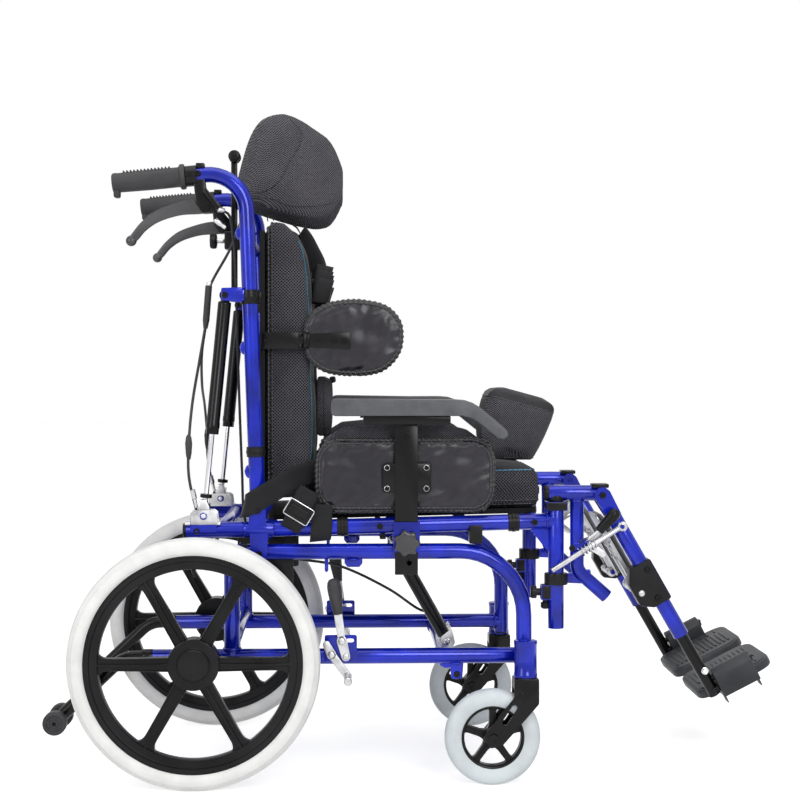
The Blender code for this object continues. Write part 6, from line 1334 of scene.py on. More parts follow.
def leg_supports():
    """Hangers, leg tubes, sliding foot tubes, elevation rods and footplates."""
    hanger = [
        smooth_bar((0.5645, R, HANGER_Z), (0.6547, R, HANGER_Z), TUBE_R),
        smooth_bar((0.6547, NEAR - 0.0003, 0.4621), (0.6547, FAR + 0.0003, 0.4621), TUBE_R + 0.0001),
        smooth(tube([(0.6154, R, HANGER_Z), (0.6154, R, 0.339), (0.664, R, 0.296)], 0.0112, 0.026)),
        smooth_bar((POST_X, R, HANGER_Z), (POST_X, R, 0.4514), 0.0121),
        smooth_plate(rounded([(0.5893, 0.319), (0.6394, 0.3165), (0.6374, 0.341), (0.5893, 0.332)],
            0.003), R - 0.0027, R + 0.0027),
        smooth_plate(rounded([(0.606, 0.369), (0.64, 0.372), (0.644, 0.383), (0.636, 0.3885),
            (0.606, 0.383)], 0.004), R - 0.0118, R - 0.0042),
        weld_bead((0.6154, R, 0.4518), UP, 0.0106, 0.0018),
    ]
    pair(join(hanger), "hanger_tubes", "blue_paint", "leg_hanger_{}", "leg_hanger_{}")
    collar = turned((POST_X, R, 0.3158), UP, [(0.0137, 0.0), (0.0186, 0.0006), (0.019, 0.002),
        (0.019, 0.0174), (0.0186, 0.0188), (0.0137, 0.0194)], 40)
    fittings = [
        smooth(collar),
        smooth_turned((0.5643, R, HANGER_Z), AHEAD, [(0.005, -0.0026), (0.0118, -0.0018), (0.0131, 0.0),
            (0.0131, 0.004), (0.0128, 0.0044)]),
        smooth_block((0.639, R - 0.015, 0.4735), (0.6655, R + 0.015, 0.48), 0.0016),
        smooth_turned((POST_X, R, HANGER_Z), DOWN, [(0.0126, 0.004), (0.0134, 0.005), (0.0134, 0.0115),
            (0.0126, 0.0125)]),
        hex_bolt(0.6547, 0.4621, R - 0.0182),
        hex_bolt(0.606, 0.376, R - 0.0118),
    ]
    pair(join(fittings), "hanger_fittings", "black_plastic", "leg_hanger_{}")
    pin = turned((POST_X, R, 0.452), DOWN, [(0.0059, 0.0), (0.0059, 0.0406), (0.005, 0.0416)], 20)
    pair(smooth(pin), "hanger_pin", "brushed_steel", "leg_hanger_{}")
    leg = smooth_bar(on_leg(0.0328), on_leg(0.2652), TUBE_R + SKIN)
    pair(leg, "leg_tube_skin", "blue_paint", "leg_tube_{}")
    for label in ("left", "right"):
        repaint("leg_tube_" + label, "blue_paint")
        repaint("foot_tube_" + label, "black_metal")
        repaint("elevation_rod_" + label, "brushed_steel")
    clamp_outline = rounded([flat(on_leg(*spot)) for spot in ((0.127, 0.016), (0.127, -0.021),
        (0.15, -0.035), (0.188, -0.035), (0.201, -0.0165), (0.201, 0.016))], 0.005)
    clamp = [
        smooth_plate(clamp_outline, CALF_CLAMP_Y, R + 0.0157, 0.002, 3),
        hex_bolt(*flat(on_leg(0.141, 0.004)), CALF_CLAMP_Y),
        hex_bolt(*flat(on_leg(0.19, -0.004)), CALF_CLAMP_Y),
    ]
    pair(join(clamp), "calf_pad_clamp", "black_plastic", "leg_tube_{}")
    rivet = dome_rivet(on_leg(0.1702, -0.0235, CALF_CLAMP_Y), OUT, 0.0056, 0.003)
    pair(rivet, "calf_pad_rivet", "brushed_steel", "leg_tube_{}")
    foot = smooth_bar(on_leg(0.2), on_leg(0.3762), 0.0097)
    pair(foot, "foot_tube_skin", "black_metal", "foot_tube_{}")
    low, high = (0.572, 0.341), (0.6851, 0.4119)
    y = R - 0.0222
    rod = [smooth_bar((low[0], y, low[1]), past_3d(low, high, 0.128, y), 0.0044, 0.0012)]
    coil = []
    for step in range(61):
        turn = step * math.pi / 6
        spot = Vector(past_3d(low, high, 0.054 + 0.03 * step / 60, y))
        coil.append(tuple(spot + Vector((-0.531 * math.cos(turn), math.sin(turn),
            0.847 * math.cos(turn))) * 0.0072))
    rod.append(smooth(hose(coil, 0.0011, 0.0015, 1), 80.0))
    hook = hose([past_3d(low, high, 0.124, y), past_3d(low, high, 0.133, y), (0.6865, y, 0.417),
        (0.6905, y, 0.4125), (0.687, y, 0.406)], 0.0042, 0.003, 4)
    rod.append(smooth(hook, 60.0))
    pair(join(rod), "elevation_rod_skin", "brushed_steel", "elevation_rod_{}")
    lever = [
        smooth_plate(link_outline((0.6364, 0.3796), (0.664, 0.423), 0.007, 0.0055), R - 0.0142,
            R - 0.0118),
        dome_rivet((0.6364, R - 0.0142, 0.3796), OUT, 0.007, 0.0028),
        smooth_plate(link_outline((0.6364, 0.3796), (0.656, 0.366), 0.0065, 0.005), R - 0.0142,
            R - 0.0118),
    ]
    pair(join(lever), "ratchet_lever", "brushed_steel", "leg_hanger_{}")


def past_3d(start, end, distance, y):
    x, z = past(start, end, distance)
    return (x, y, z)


push_handle()
recline_springs()
tilt_springs()
leg_supports()


# Soft goods: each pad is cut a little small, filled out by air, then seamed and piped.
BOARD_FRONT_X = 0.109
BACK_FACE = [(0.164, 0.452), (0.1736, 0.4602), (0.1825, 0.495), (0.1868, 0.53), (0.188, 0.57),
    (0.1872, 0.6154), (0.1846, 0.6562), (0.1832, 0.7296), (0.18, 0.8111), (0.1735, 0.8567),
    (0.16, 0.8892), (0.139, 0.908)]
HEAD_RUN = [
    # x, y, thickness, low z, high z and forward lean of the head pad's sections, from wing tip to middle
    (0.236, -0.09, 0.032, 0.935, 1.026, 0.0),
    (0.218, -0.0945, 0.036, 0.92, 1.046, 0.02),
    (0.195, -0.0965, 0.037, 0.914, 1.062, 0.05),
    (0.168, -0.0955, 0.038, 0.918, 1.079, 0.1),
    (0.142, -0.09, 0.04, 0.925, 1.09, 0.18),
    (0.118, -0.078, 0.043, 0.933, 1.096, 0.26),
    (0.099, -0.057, 0.046, 0.939, 1.097, 0.29),
    (0.09, -0.029, 0.048, 0.945, 1.092, 0.29),
    (0.087, 0.0, 0.049, 0.947, 1.09, 0.29),
]
HEAD_MIDDLE_Z = 1.012
HEAD_SEAM = [(0.149, 1.081), (0.166, 1.0624), (0.1647, 1.0403), (0.1482, 1.0099), (0.1288, 0.9767),
    (0.104, 0.9612), (0.083, 0.964)]
HEAD_LOW_SEAM = [(0.085, 0.9534), (0.1203, 0.9486), (0.1424, 0.9387), (0.1867, 0.9361), (0.2199, 0.9445),
    (0.234, 0.96)]


def lines_cut(obj, starts, directions, sink=0.0003):
    """Where lines from inside a piece meet its surface, drawn in a little."""
    spots = []
    for start, direction in zip(starts, directions):
        hit, place, normal, _ = obj.ray_cast(start, Vector(direction).normalized())
        if hit:
            spots.append(place - normal * sink)
    return spots


def seam_round(obj, centre, across, up, count=96, sink=0.0003):
    """A closed seam: where a plane through the centre cuts the piece."""
    turns = [2 * math.pi * index / count for index in range(count)]
    directions = [Vector(across) * math.cos(turn) + Vector(up) * math.sin(turn) for turn in turns]
    return lines_cut(obj, [at(*centre)] * count, directions, sink)


def second_look(obj, look, chosen):
    """Give the faces that chosen picks another cloth."""
    obj.data.materials.append(LOOK[look])
    for polygon in obj.data.polygons:
        if chosen(polygon.center, polygon.normal):
            polygon.material_index = len(obj.data.materials) - 1


def face_seam(obj, outline, inset, y_from, spacing=0.006, sink=0.0002):
    """A closed seam on a pad's outer face, a steady step inside its outline."""
    middle = Vector((sum(x for x, _ in outline) / len(outline), sum(z
        for _, z in outline) / len(outline)))
    starts = []
    ring = smooth_path([(x, 0.0, z) for x, z in [*outline, outline[0]]], spacing)[:-1]
    for index, point in enumerate(ring):
        ahead = ring[(index + 1) % len(ring)] - ring[index - 1]
        inwards = Vector((-ahead.z, ahead.x)).normalized()
        spot = Vector((point.x, point.z))
        if inwards.dot(middle - spot) < 0:
            inwards = -inwards
        spot += inwards * inset
        starts.append(at(spot.x, y_from, spot.y))
    return lines_cut(obj, starts, [(0, -y_from, 0)] * len(starts), sink)


def puckers(place, edge, seed):
    """The folds of loose nylon: creases that run in from the seam, over a slow swell."""
    swell = noise.noise(Vector((place.x * 21, place.z * 30,
        seed))) + 0.5 * noise.noise(Vector((place.x * 55, place.z * 46, seed + 3.0)))
    drift = noise.noise(Vector((place.x * 34, place.z * 34, seed + 7.0)))
    crease = math.sin((place.x - place.z) * 210 + drift * 6.0) * math.exp(-max(0.0, edge) / 0.02)
    return 0.0024 * swell + 0.0018 * crease


def height_at(outline, z):
    """The x of an outline that climbs, at height z."""
    for (x0, z0), (x1, z1) in zip(outline, outline[1:]):
        if z0 <= z <= z1:
            return x0 + (x1 - x0) * (z - z0) / (z1 - z0)
    return outline[0][0] if z < outline[0][1] else outline[-1][0]


def groove(distance, width, depth):
    return depth * math.exp(-((distance / width) ** 2))


def back_cushion():
    """The back cushion: coarse mesh sides, a smooth front whose top leans back, and piped edges."""
    outline = [(0.1115, 0.45), *[(x - 0.0015, z) for x, z in BACK_FACE], (0.12, 0.911), (0.1115, 0.902)]
    piece = blown(sheet_plate(outline, -0.1555, 0.1555, 0.014, 4), 0.005)
    rear = BOARD_FRONT_X + ROOT_X
    side = at(0, 0.162, 0).y

    def shaped(place):
        x = place.x - ROOT_X
        move = Vector()
        if place.x < rear + 0.0025:
            move.x = rear - place.x
        if abs(place.y) > side:
            move.y = math.copysign(side, place.y) - place.y
        if x > height_at(BACK_FACE, place.z) - 0.012 and abs(place.y) < 0.14:
            for seam in (-0.098, 0.098):
                move.x -= groove(place.y - seam, 0.0045, 0.0035)
            move.x -= 0.006 * (1 - (place.y / 0.09) ** 2) if abs(place.y) < 0.09 else 0.0
        return move

    soft_skin(push_points(piece, shaped))
    finished(piece, "back_cushion_cover", "side_mesh", "back", "back_cushion", slot="black_fabric")
    second_look(piece, "smooth_cloth", lambda centre, normal: centre.x - ROOT_X > height_at(BACK_FACE,
        centre.z) - 0.004)
    welts = [
        cord_welt(seam_round(piece, (0.1135, 0.0, 0.676), (0, 0.165, 0), (0, 0, 0.235), 150), 0.0027),
        cord_welt(seam_round(piece, (0.1195, 0.0, 0.676), (0, 0.165, 0), (0, 0, 0.235), 150), 0.002),
    ]
    finished(join(welts), "back_cushion_welt", "thread", "back", slot="black_fabric")
    trims = []
    for y in (-1, 1):
        starts = [at(height_at(BACK_FACE, 0.47 + step * 0.0135) - 0.003, y * 0.13, 0.47 + step * 0.0135)
            for step in range(31)]
        trims.append(cord_welt(lines_cut(piece, starts, [(0, y, 0)] * len(starts), -0.0002), 0.0008,
            closed=False))
    finished(join(trims), "back_cushion_piping", "teal_trim", "back", slot="black_fabric")
    loop = [(0.112, -0.128, 0.9095), (0.112, -0.128, 0.9175), (0.1165, -0.128, 0.9205),
        (0.12, -0.128, 0.9165), (0.1215, -0.128, 0.9105)]
    tab = finished(strap(loop, 0.022, 0.0012, ACROSS, 0.003), "cushion_pull_tab", "webbing", "back",
        slot="black_fabric")
    cut_from([tab], loop)


def board_top(x):
    return 0.438 - 0.0239 * (0.556 - x) + 0.0012


def seat_cushion():
    """The seat cushion rests flat on its board and is crowned above it."""
    outline = [(0.1925, 0.4345), (0.558, 0.443), (0.5625, 0.448), (0.5615, 0.492), (0.552, 0.5035),
        (0.498, 0.5085), (0.1925, 0.498)]
    piece = blown(sheet_plate(outline, -0.158, 0.158, 0.012, 4), 0.006)

    def shaped(place):
        x = place.x - ROOT_X
        move = Vector()
        floor = board_top(x)
        if place.z < floor + 0.004:
            move.z = floor - place.z
        if x < 0.1905:
            move.x = 0.1905 - x
        if abs(place.y) > 0.1635:
            move.y = math.copysign(0.1635, place.y) - place.y
        if place.z > floor + 0.045:
            move.z -= 0.004 * max(0.0, 1 - (place.y / 0.1) ** 2) * max(0.0, 1 - ((x - 0.33) / 0.13) ** 2)
            move.z -= groove(x - 0.448, 0.0045, 0.003)
            ceiling = 0.5098 if abs(place.y) < 0.07 and x > 0.465 else 0.515
            move.z = min(move.z, ceiling - place.z)
        return move

    soft_skin(push_points(piece, shaped))
    finished(piece, "seat_cushion_cover", "side_mesh", "seat", "seat_cushion", slot="black_fabric")
    second_look(piece, "smooth_cloth", lambda centre, normal: centre.z > board_top(centre.x - ROOT_X)
        + 0.06)
    low = seam_round(piece, (0.376, 0.0, 0.44), (0.195, 0, 0.0047), (0, 0.17, 0), 130)
    low_band = seam_round(piece, (0.376, 0.0, 0.4462), (0.195, 0, 0.0047), (0, 0.17, 0), 130)
    finished(join([cord_welt(low, 0.0022), cord_welt(low_band, 0.0015)]), "seat_cushion_welt", "thread",
        "seat", slot="black_fabric")
    # The pale blue cord round the cushion's top edge is a painted highlight on the rounded edge.
    high = seam_round(piece, (0.376, 0.0, 0.4965), (0.195, 0, 0.0047), (0, 0.17, 0), 130, -0.0002)
    finished(cord_welt(high, 0.0011), "seat_cushion_edge_highlight", "seat_edge_highlight", "seat", slot="black_fabric")


def head_pad():
    """A curved head pad: sections along its run from wing tip to wing tip, then filled out."""
    half = smooth_path([(x, y, 0.0) for x, y, *_ in HEAD_RUN], 0.0065)
    run = half + [Vector((point.x, -point.y, 0.0)) for point in reversed(half[:-1])]
    travelled = [0.0]
    for first, second in zip(run, run[1:]):
        travelled.append(travelled[-1] + (second - first).length)
    sizes = []
    for point in run:
        spot = min(range(len(HEAD_RUN) - 1), key=lambda index: abs((HEAD_RUN[index][1]
            + HEAD_RUN[index + 1][1]) / 2 + abs(point.y)) + abs((HEAD_RUN[index][0]
            + HEAD_RUN[index + 1][0]) / 2 - point.x))
        first, second = HEAD_RUN[spot], HEAD_RUN[spot + 1]
        span = (second[0] - first[0]) ** 2 + (second[1] - first[1]) ** 2
        share = ((point.x - first[0]) * (second[0] - first[0])
            + (-abs(point.y) - first[1]) * (second[1] - first[1])) / span
        share = max(0.0, min(1.0, share))
        sizes.append([a + (b - a) * share for a, b in zip(first[2:], second[2:])])
    around = 28
    reach = [1.0] * len(run)
    for step, value in enumerate((0.4, 0.68, 0.85, 0.95)):
        reach[step] = reach[-1 - step] = value
    deselect()
    bpy.ops.mesh.primitive_grid_add(x_subdivisions=len(run) - 1, y_subdivisions=around, size=1.0)
    piece = bpy.context.active_object
    for vertex in piece.data.vertices:
        along = round((vertex.co.x + 0.5) * (len(run) - 1))
        turn = 2 * math.pi * round((vertex.co.y + 0.5) * around) / around
        ahead = (run[min(along + 1, len(run) - 1)] - run[max(along - 1, 0)]).normalized()
        out = Vector((ahead.y, -ahead.x, 0.0))
        thickness, low, high, lean = sizes[along]
        flat_cos = math.copysign(abs(math.cos(turn)) ** 0.75, math.cos(turn))
        flat_sin = math.copysign(abs(math.sin(turn)) ** 0.62, math.sin(turn))
        z = (low + high) / 2 + flat_sin * (high - low) / 2 * reach[along]
        place = run[along] + out * (flat_cos * thickness / 2 * reach[along])
        vertex.co = at(place.x + lean * (z - HEAD_MIDDLE_Z), place.y, z)
    start_editing(piece)
    bpy.ops.mesh.select_all(action="SELECT")
    bpy.ops.mesh.remove_doubles(threshold=0.00005)
    bpy.ops.mesh.fill_holes(sides=0)
    bpy.ops.mesh.select_all(action="SELECT")
    bpy.ops.mesh.normals_make_consistent(inside=False)
    stop_editing()
    blown(piece, 0.0035, 0.0048)
    soft_skin(piece)
    finished(piece, "head_pad_cover", "black_fabric", "headrest_pad", "headrest_pad")
    seams = []
    for drawn in (HEAD_SEAM, HEAD_LOW_SEAM):
        line = smooth_path([(x, 0.0, z) for x, z in drawn], 0.006)
        for side in (-1, 1):
            starts = [at(point.x, side * 0.25, point.z) for point in line]
            found = lines_cut(piece, starts, [(0, -side, 0)] * len(starts), -0.0002)
            seams.append(cord_welt(found, 0.0012, closed=False))
    finished(join(seams), "head_pad_seams", "thread", "headrest_pad", slot="black_fabric")


def side_pads():
    """The side pads: nylon outer faces, mesh inner faces, and a braided welt round each."""
    outline = [(0.174, 0.738), (0.1738, 0.699), (0.1868, 0.6755), (0.215, 0.66), (0.266, 0.657),
        (0.302, 0.665), (0.3265, 0.69), (0.333, 0.721), (0.3268, 0.7475), (0.303, 0.7695),
        (0.2585, 0.7775), (0.215, 0.773), (0.187, 0.7585)]
    outline = [(x, z) for x, z, _ in smooth_path([(x, z, 0.0) for x, z in [*outline, outline[0]]],
        0.006)[:-1]]
    piece = blown(sheet_plate(outline, -0.169, -0.143, 0.0085, 4), 0.0045, 0.0048)

    def shaped(place):
        move = Vector()
        if place.y < -0.17:
            move.y = -0.17 - place.y
        if place.y > -0.1385:
            move.y = -0.1385 - place.y
        edge = 0.08 - math.hypot(place.x - ROOT_X - 0.2535, (place.z - 0.7165) * 1.32)
        if place.y < -0.165:
            move.y += (puckers(place, edge, 4.2) + 0.0008) * max(0.0, min(1.0, edge / 0.01))
        return move

    soft_skin(push_points(piece, shaped))
    ring = seam_round(piece, (0.254, -0.162, 0.7165), (0.08, 0, 0), (0, 0, 0.06), 100)
    welt = join([cord_welt(ring, 0.003), cord_welt(face_seam(piece, outline, 0.0035, -0.3), 0.0027)])
    for pad in pair(piece, "side_pad_cover", "black_fabric", "lateral_pad_{}", "lateral_pad_{}"):
        second_look(pad, "nylon", lambda centre, normal: abs(centre.y) > 0.165)
    pair(welt, "side_pad_welt", "thread", "lateral_pad_{}", slot="black_fabric")
    plate = [
        smooth_plate(rounded([(0.18, 0.701), (0.2475, 0.698), (0.2475, 0.726), (0.18, 0.7235)], 0.002),
            -0.1738, -0.1695, 0.0006),
        screw_head((0.1965, -0.1738, 0.712), OUT, 0.0026, 0.0014),
        screw_head((0.2215, -0.1738, 0.712), OUT, 0.0044, 0.0026),
        screw_head((0.2375, -0.1738, 0.712), OUT, 0.0044, 0.0026),
        smooth_bar((0.1745, -0.1715, 0.701), (0.1745, -0.1715, 0.7235), 0.0042, 0.0006, 20),
        smooth_block((0.1745, -0.1738, 0.702), (0.182, -0.1705, 0.7225), 0.0006),
    ]
    pair(join(plate), "side_pad_plate", "black_metal", "lateral_pad_{}")
    arm = [
        smooth_plate(rounded(oblong(0.104, 0.6985, 0.164, 0.7255), 0.0015), -0.1716, -0.168, 0.0006),
        smooth_plate(rounded(oblong(0.162, 0.706, 0.1716, 0.7185), 0.0012), -0.172, -0.1684, 0.0006),
        smooth_bar((0.1668, -0.1702, 0.6985), (0.1668, -0.1702, 0.706), 0.0034, 0.0004, 20),
        smooth_bar((0.1668, -0.1702, 0.7185), (0.1668, -0.1702, 0.7255), 0.0034, 0.0004, 20),
        screw_head((0.11, -0.1716, 0.712), OUT, 0.0034, 0.0016),
    ]
    pair(join(arm), "side_pad_arm", "black_metal", "back")


def hip_pads():
    """The hip pads: a crinkled nylon panel with a braided welt, and a higher mesh pad behind."""
    outline = rounded(oblong(0.1895, 0.433, 0.4835, 0.5545), 0.046, 9)
    piece = blown(sheet_plate(outline, -0.1995, -0.1775, 0.007, 3), 0.0035, 0.005)

    def shaped(place):
        move = Vector()
        if place.y < -0.201:
            move.y = -0.201 - place.y
        edge = min(place.x - ROOT_X - 0.189, 0.484 - place.x + ROOT_X, place.z - 0.433, 0.5545 - place.z)
        if place.y < -0.196:
            move.y += (puckers(place, edge, 1.7) + 0.001) * max(0.0, min(1.0, edge / 0.01))
        return move

    soft_skin(push_points(piece, shaped))
    ring = seam_round(piece, (0.3365, -0.1925, 0.4938), (0.147, 0, 0), (0, 0, 0.061), 150)
    welt = join([cord_welt(ring, 0.0034), cord_welt(face_seam(piece, outline, 0.003, -0.3), 0.003),
        cord_welt(face_seam(piece, outline, 0.0085, -0.3), 0.0024)])
    for pad in pair(piece, "hip_pad_panel", "black_fabric", "arm_{}", "hip_pad_{}"):
        second_look(pad, "nylon", lambda centre, normal: abs(centre.y) > 0.1968)
    pair(welt, "hip_pad_welt", "thread", "arm_{}", slot="black_fabric")
    crest = [(0.196, 0.44), (0.478, 0.44), (0.478, 0.536), (0.456, 0.556), (0.438, 0.569),
        (0.406, 0.5775), (0.298, 0.5785), (0.233, 0.572), (0.208, 0.557), (0.196, 0.536)]
    inner = blown(sheet_plate(rounded(crest, 0.012, 4), -0.182, -0.17, 0.004, 2), 0.0018, 0.0044)
    push_points(inner, lambda place: (0, max(0.0, place.y + 0.167) * -1.0, 0))
    soft_skin(inner)
    for pad in pair(inner, "hip_pad_inner", "black_fabric", "arm_{}"):
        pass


def pommel_top(x):
    return 0.63 - 0.262 * (x - 0.49)


def pommel():
    """The pommel between the thighs: mesh sides, a smooth top and a piped seam."""
    outline = rounded([(0.479, 0.5128), (0.561, 0.5128), (0.599, 0.599), (0.592, 0.608), (0.495, 0.6345),
        (0.4845, 0.628), (0.47, 0.556)], 0.006, 3)
    piece = blown(sheet_plate(outline, -0.0555, 0.0555, 0.012, 4), 0.005, 0.005)

    def shaped(place):
        move = Vector()
        if place.z < 0.514:
            move.z = 0.5112 - place.z
        if abs(place.y) > 0.06:
            move.y = math.copysign(0.06, place.y) - place.y
        return move

    soft_skin(push_points(piece, shaped))
    finished(piece, "pommel_cover", "black_fabric", "seat", "pommel")
    second_look(piece, "smooth_cloth", lambda centre,
        normal: centre.z > pommel_top(centre.x - ROOT_X) - 0.009)
    ring = seam_round(piece, (0.54, 0.0, 0.6065), (0.06, 0, -0.0157), (0, 0.06, 0), 80)
    low = seam_round(piece, (0.52, 0.0, 0.515), (0.06, 0, 0), (0, 0.06, 0), 80)
    finished(join([cord_welt(ring, 0.0011), cord_welt(low, 0.0013)]), "pommel_piping", "thread", "seat",
        slot="black_fabric")


def arm_rests():
    """Moulded arm rests whose fronts curve down, on flat bars with a socket knob."""
    outline = [(0.216, 0.612), (0.2185, 0.618), (0.226, 0.6192), (0.3582, 0.617), (0.414, 0.6172),
        (0.43, 0.616), (0.442, 0.612), (0.453, 0.6055), (0.4811, 0.582), (0.496, 0.569), (0.4998, 0.562),
        (0.498, 0.5565), (0.4915, 0.5535), (0.483, 0.555), (0.456, 0.577), (0.442, 0.5865),
        (0.427, 0.5905), (0.223, 0.5905), (0.2165, 0.5935)]
    middle = -0.2106
    pad = smooth(sheet_plate(outline, middle - 0.0225, middle + 0.0225, 0.0085, 5), 60.0)
    for piece in pair(pad, "arm_rest_pad", "black_vinyl", "arm_{}", "armrest_{}"):
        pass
    post = [
        smooth_plate(rounded(oblong(0.319, 0.335, 0.356, 0.58), 0.0015), -0.2127, -0.2086, 0.0006),
        smooth_plate(rounded(oblong(0.268, 0.577, 0.408, 0.59), 0.001), middle - 0.013, middle + 0.013,
            0.0006),
        smooth_plate(rounded(oblong(0.299, 0.4665, 0.3775, 0.514), 0.007), -0.2092, -0.2024, 0.0008),
        screw_head((0.3375, -0.2127, 0.556), OUT, 0.004, 0.002),
        smooth_turned((0.342, -0.2127, 0.354), OUT, [(0.0052, 0.0), (0.0052, 0.001), (0.004, 0.0012),
            (0.0036, -0.0005)], 24),
    ]
    pair(join(post), "arm_post_bar", "black_metal", "arm_{}", "arm_post_{}")
    screws = []
    rings = []
    for x in (0.3065, 0.37):
        for z in (0.4735, 0.507):
            screws.append(screw_head((x, -0.2092, z), OUT, 0.0041, 0.0028))
            rings.append(smooth_turned((x, -0.2092, z), OUT, [(0.0046, 0.0), (0.0046, 0.0005),
                (0.0041, 0.0008)], 20))
    pair(join(screws), "hip_pad_screws", "black_metal", "arm_{}")
    pair(join(rings), "hip_pad_screw_rings", "brushed_steel", "arm_{}", slot="black_metal")
    knob = star_knob((0.3375, -0.2163, 0.387), OUT, 0.0222, 0.017, 7)
    stem = smooth_turned((0.3375, -0.2127, 0.387), OUT, [(0.0085, -0.0005), (0.0085, 0.004)], 24)
    pair(join([knob, stem]), "socket_knob", "lit_black_knob", "arm_knob_{}", "arm_knob_{}",
        slot="black_plastic")


back_cushion()
seat_cushion()
head_pad()
side_pads()
hip_pads()
pommel()
arm_rests()


# Belts, foot supports and cables.
BELT_T = 0.0016
WEB_T = 0.0014
CABLE_R = 0.0023
PLATE_TURN = math.radians(27.0)
PLATE_A = Vector((math.cos(PLATE_TURN), 0.0, math.sin(PLATE_TURN)))
PLATE_N = Vector((-PLATE_A.z, 0.0, PLATE_A.x))
PLATE_HINGE = Vector(on_leg(0.35, 0.0, 0.0))
CALF_HINGE = Vector((0.7175, 0.0, 0.3038))


def top_of(name, x, y, lift=0.0012):
    """The point of a cushion's top above a place on the seat."""
    hit, place, _, _ = bpy.data.objects[name].ray_cast(at(x, y, 1.3), Vector((0.0, 0.0, -1.0)))
    return (x, y, place.z + lift) if hit else (x, y, 0.515)


def front_of(name, y, z, lift=0.0015):
    """The point of a cushion's front at a height."""
    hit, place, _, _ = bpy.data.objects[name].ray_cast(at(0.6, y, z), Vector((-1.0, 0.0, 0.0)))
    return (place.x - ROOT_X + lift, y, z)


def slanted(outline, origin, along, out, low, high, rim=0.001, segments=2):
    """A slab whose outline lies in a slanting plane: outline points are (along, y)."""
    corners = [at(*(origin + along * a + out * low + Vector((0.0, y, 0.0)))) for a, y in outline]
    return pulled_out(corners, out * (high - low), rim, segments)


def boxed(outline, start, end, rim=0.001):
    """A footplate's sleeve: its (y, normal) outline pulled along the plate."""
    corners = [at(*(PLATE_HINGE + PLATE_A * start + PLATE_N * n + Vector((0.0, y, 0.0))))
        for y, n in outline]
    return pulled_out(corners, PLATE_A * (end - start), rim, 2)


def foot_plates():
    """Dark grey foot plates with cross ribs, on boxed sleeves that fold up about the foot tube's pin."""
    base_outline = rounded(oblong(-0.021, -0.178, 0.113, -0.018), 0.032, 8)
    parts = [smooth_slab(base_outline, PLATE_HINGE, PLATE_A, PLATE_N, -0.032, -0.0175, 0.0028, 3)]
    tread = rounded(oblong(-0.015, -0.172, 0.107, -0.024), 0.027, 8)
    parts.append(smooth_slab(tread, PLATE_HINGE, PLATE_A, PLATE_N, -0.019, -0.0163, 0.0008, 1))
    for index in range(13):
        a = -0.006 + index * 0.0084
        rib = rounded(oblong(a - 0.0019, -0.126, a + 0.0019, -0.046), 0.0016, 2)
        parts.append(smooth_slab(rib, PLATE_HINGE, PLATE_A, PLATE_N, -0.0168, -0.0146, 0.0004, 1))
    for index in range(8):
        a = -0.008 + index * 0.014
        rib = rounded(oblong(a - 0.0016, -0.163, a + 0.0016, -0.137), 0.0014, 2)
        parts.append(smooth_slab(rib, PLATE_HINGE, PLATE_A, PLATE_N, -0.0168, -0.015, 0.0004, 1))
    crown = [(-0.192 + 0.0178 * math.cos(math.radians(step)), 0.0142 * math.sin(math.radians(step)))
        for step in range(0, 181, 12)]
    sleeve = [(-0.1742, -0.034), *crown, (-0.2098, -0.034)]
    parts.append(smooth(boxed(sleeve, 0.012, 0.078, 0.0012)))
    for a in (0.014, 0.075):
        fin = rounded(oblong(a - 0.0009, -0.208, a + 0.0009, -0.185), 0.0006, 1)
        parts.append(smooth_slab(fin, PLATE_HINGE, PLATE_A, PLATE_N, -0.045, -0.033, 0.0003, 1))
    pair(join(parts), "foot_plate_body", "grey_plastic", "footplate_{}", "footplate_{}")
    clip = [
        smooth_slab(oblong(0.077, -0.2, 0.083, -0.185), PLATE_HINGE, PLATE_A, PLATE_N, 0.003, 0.006,
            0.0006, 1),
        smooth_slab(oblong(0.077, -0.2, 0.08, -0.185), PLATE_HINGE, PLATE_A, PLATE_N, -0.005, 0.005,
            0.0006, 1),
    ]
    for a in (0.006, 0.012):
        centre = PLATE_HINGE + PLATE_A * (a - 0.003) + PLATE_N * -0.018
        clip.append(smooth_bar((centre.x, -0.203, centre.z), (centre.x, -0.183, centre.z), 0.0042,
            0.0005, 16))
    pair(join(clip), "foot_plate_clip", "black_plastic", "footplate_{}", slot="grey_plastic")
    foot = on_leg(0.333, 0.004)
    bolt = [
        screw_head((foot[0], R - 0.0092, foot[2]), OUT, 0.0046, 0.003),
        smooth_turned((foot[0], R - 0.0086, foot[2]), OUT, [(0.006, 0.0), (0.006, 0.0008),
            (0.0056, 0.0011)], 24),
    ]
    pair(join(bolt), "foot_tube_bolt", "chrome", "foot_tube_{}", slot="black_metal")
    end = on_leg(0.3755)
    cap = smooth_turned(end, tuple(LEG_DOWN), [(0.0096, -0.004), (0.0102, -0.003), (0.0102, 0.0008),
        (0.009, 0.002), (0.003, 0.0024)], 28)
    pair(cap, "foot_tube_cap", "black_plastic", "foot_tube_{}", slot="black_metal")


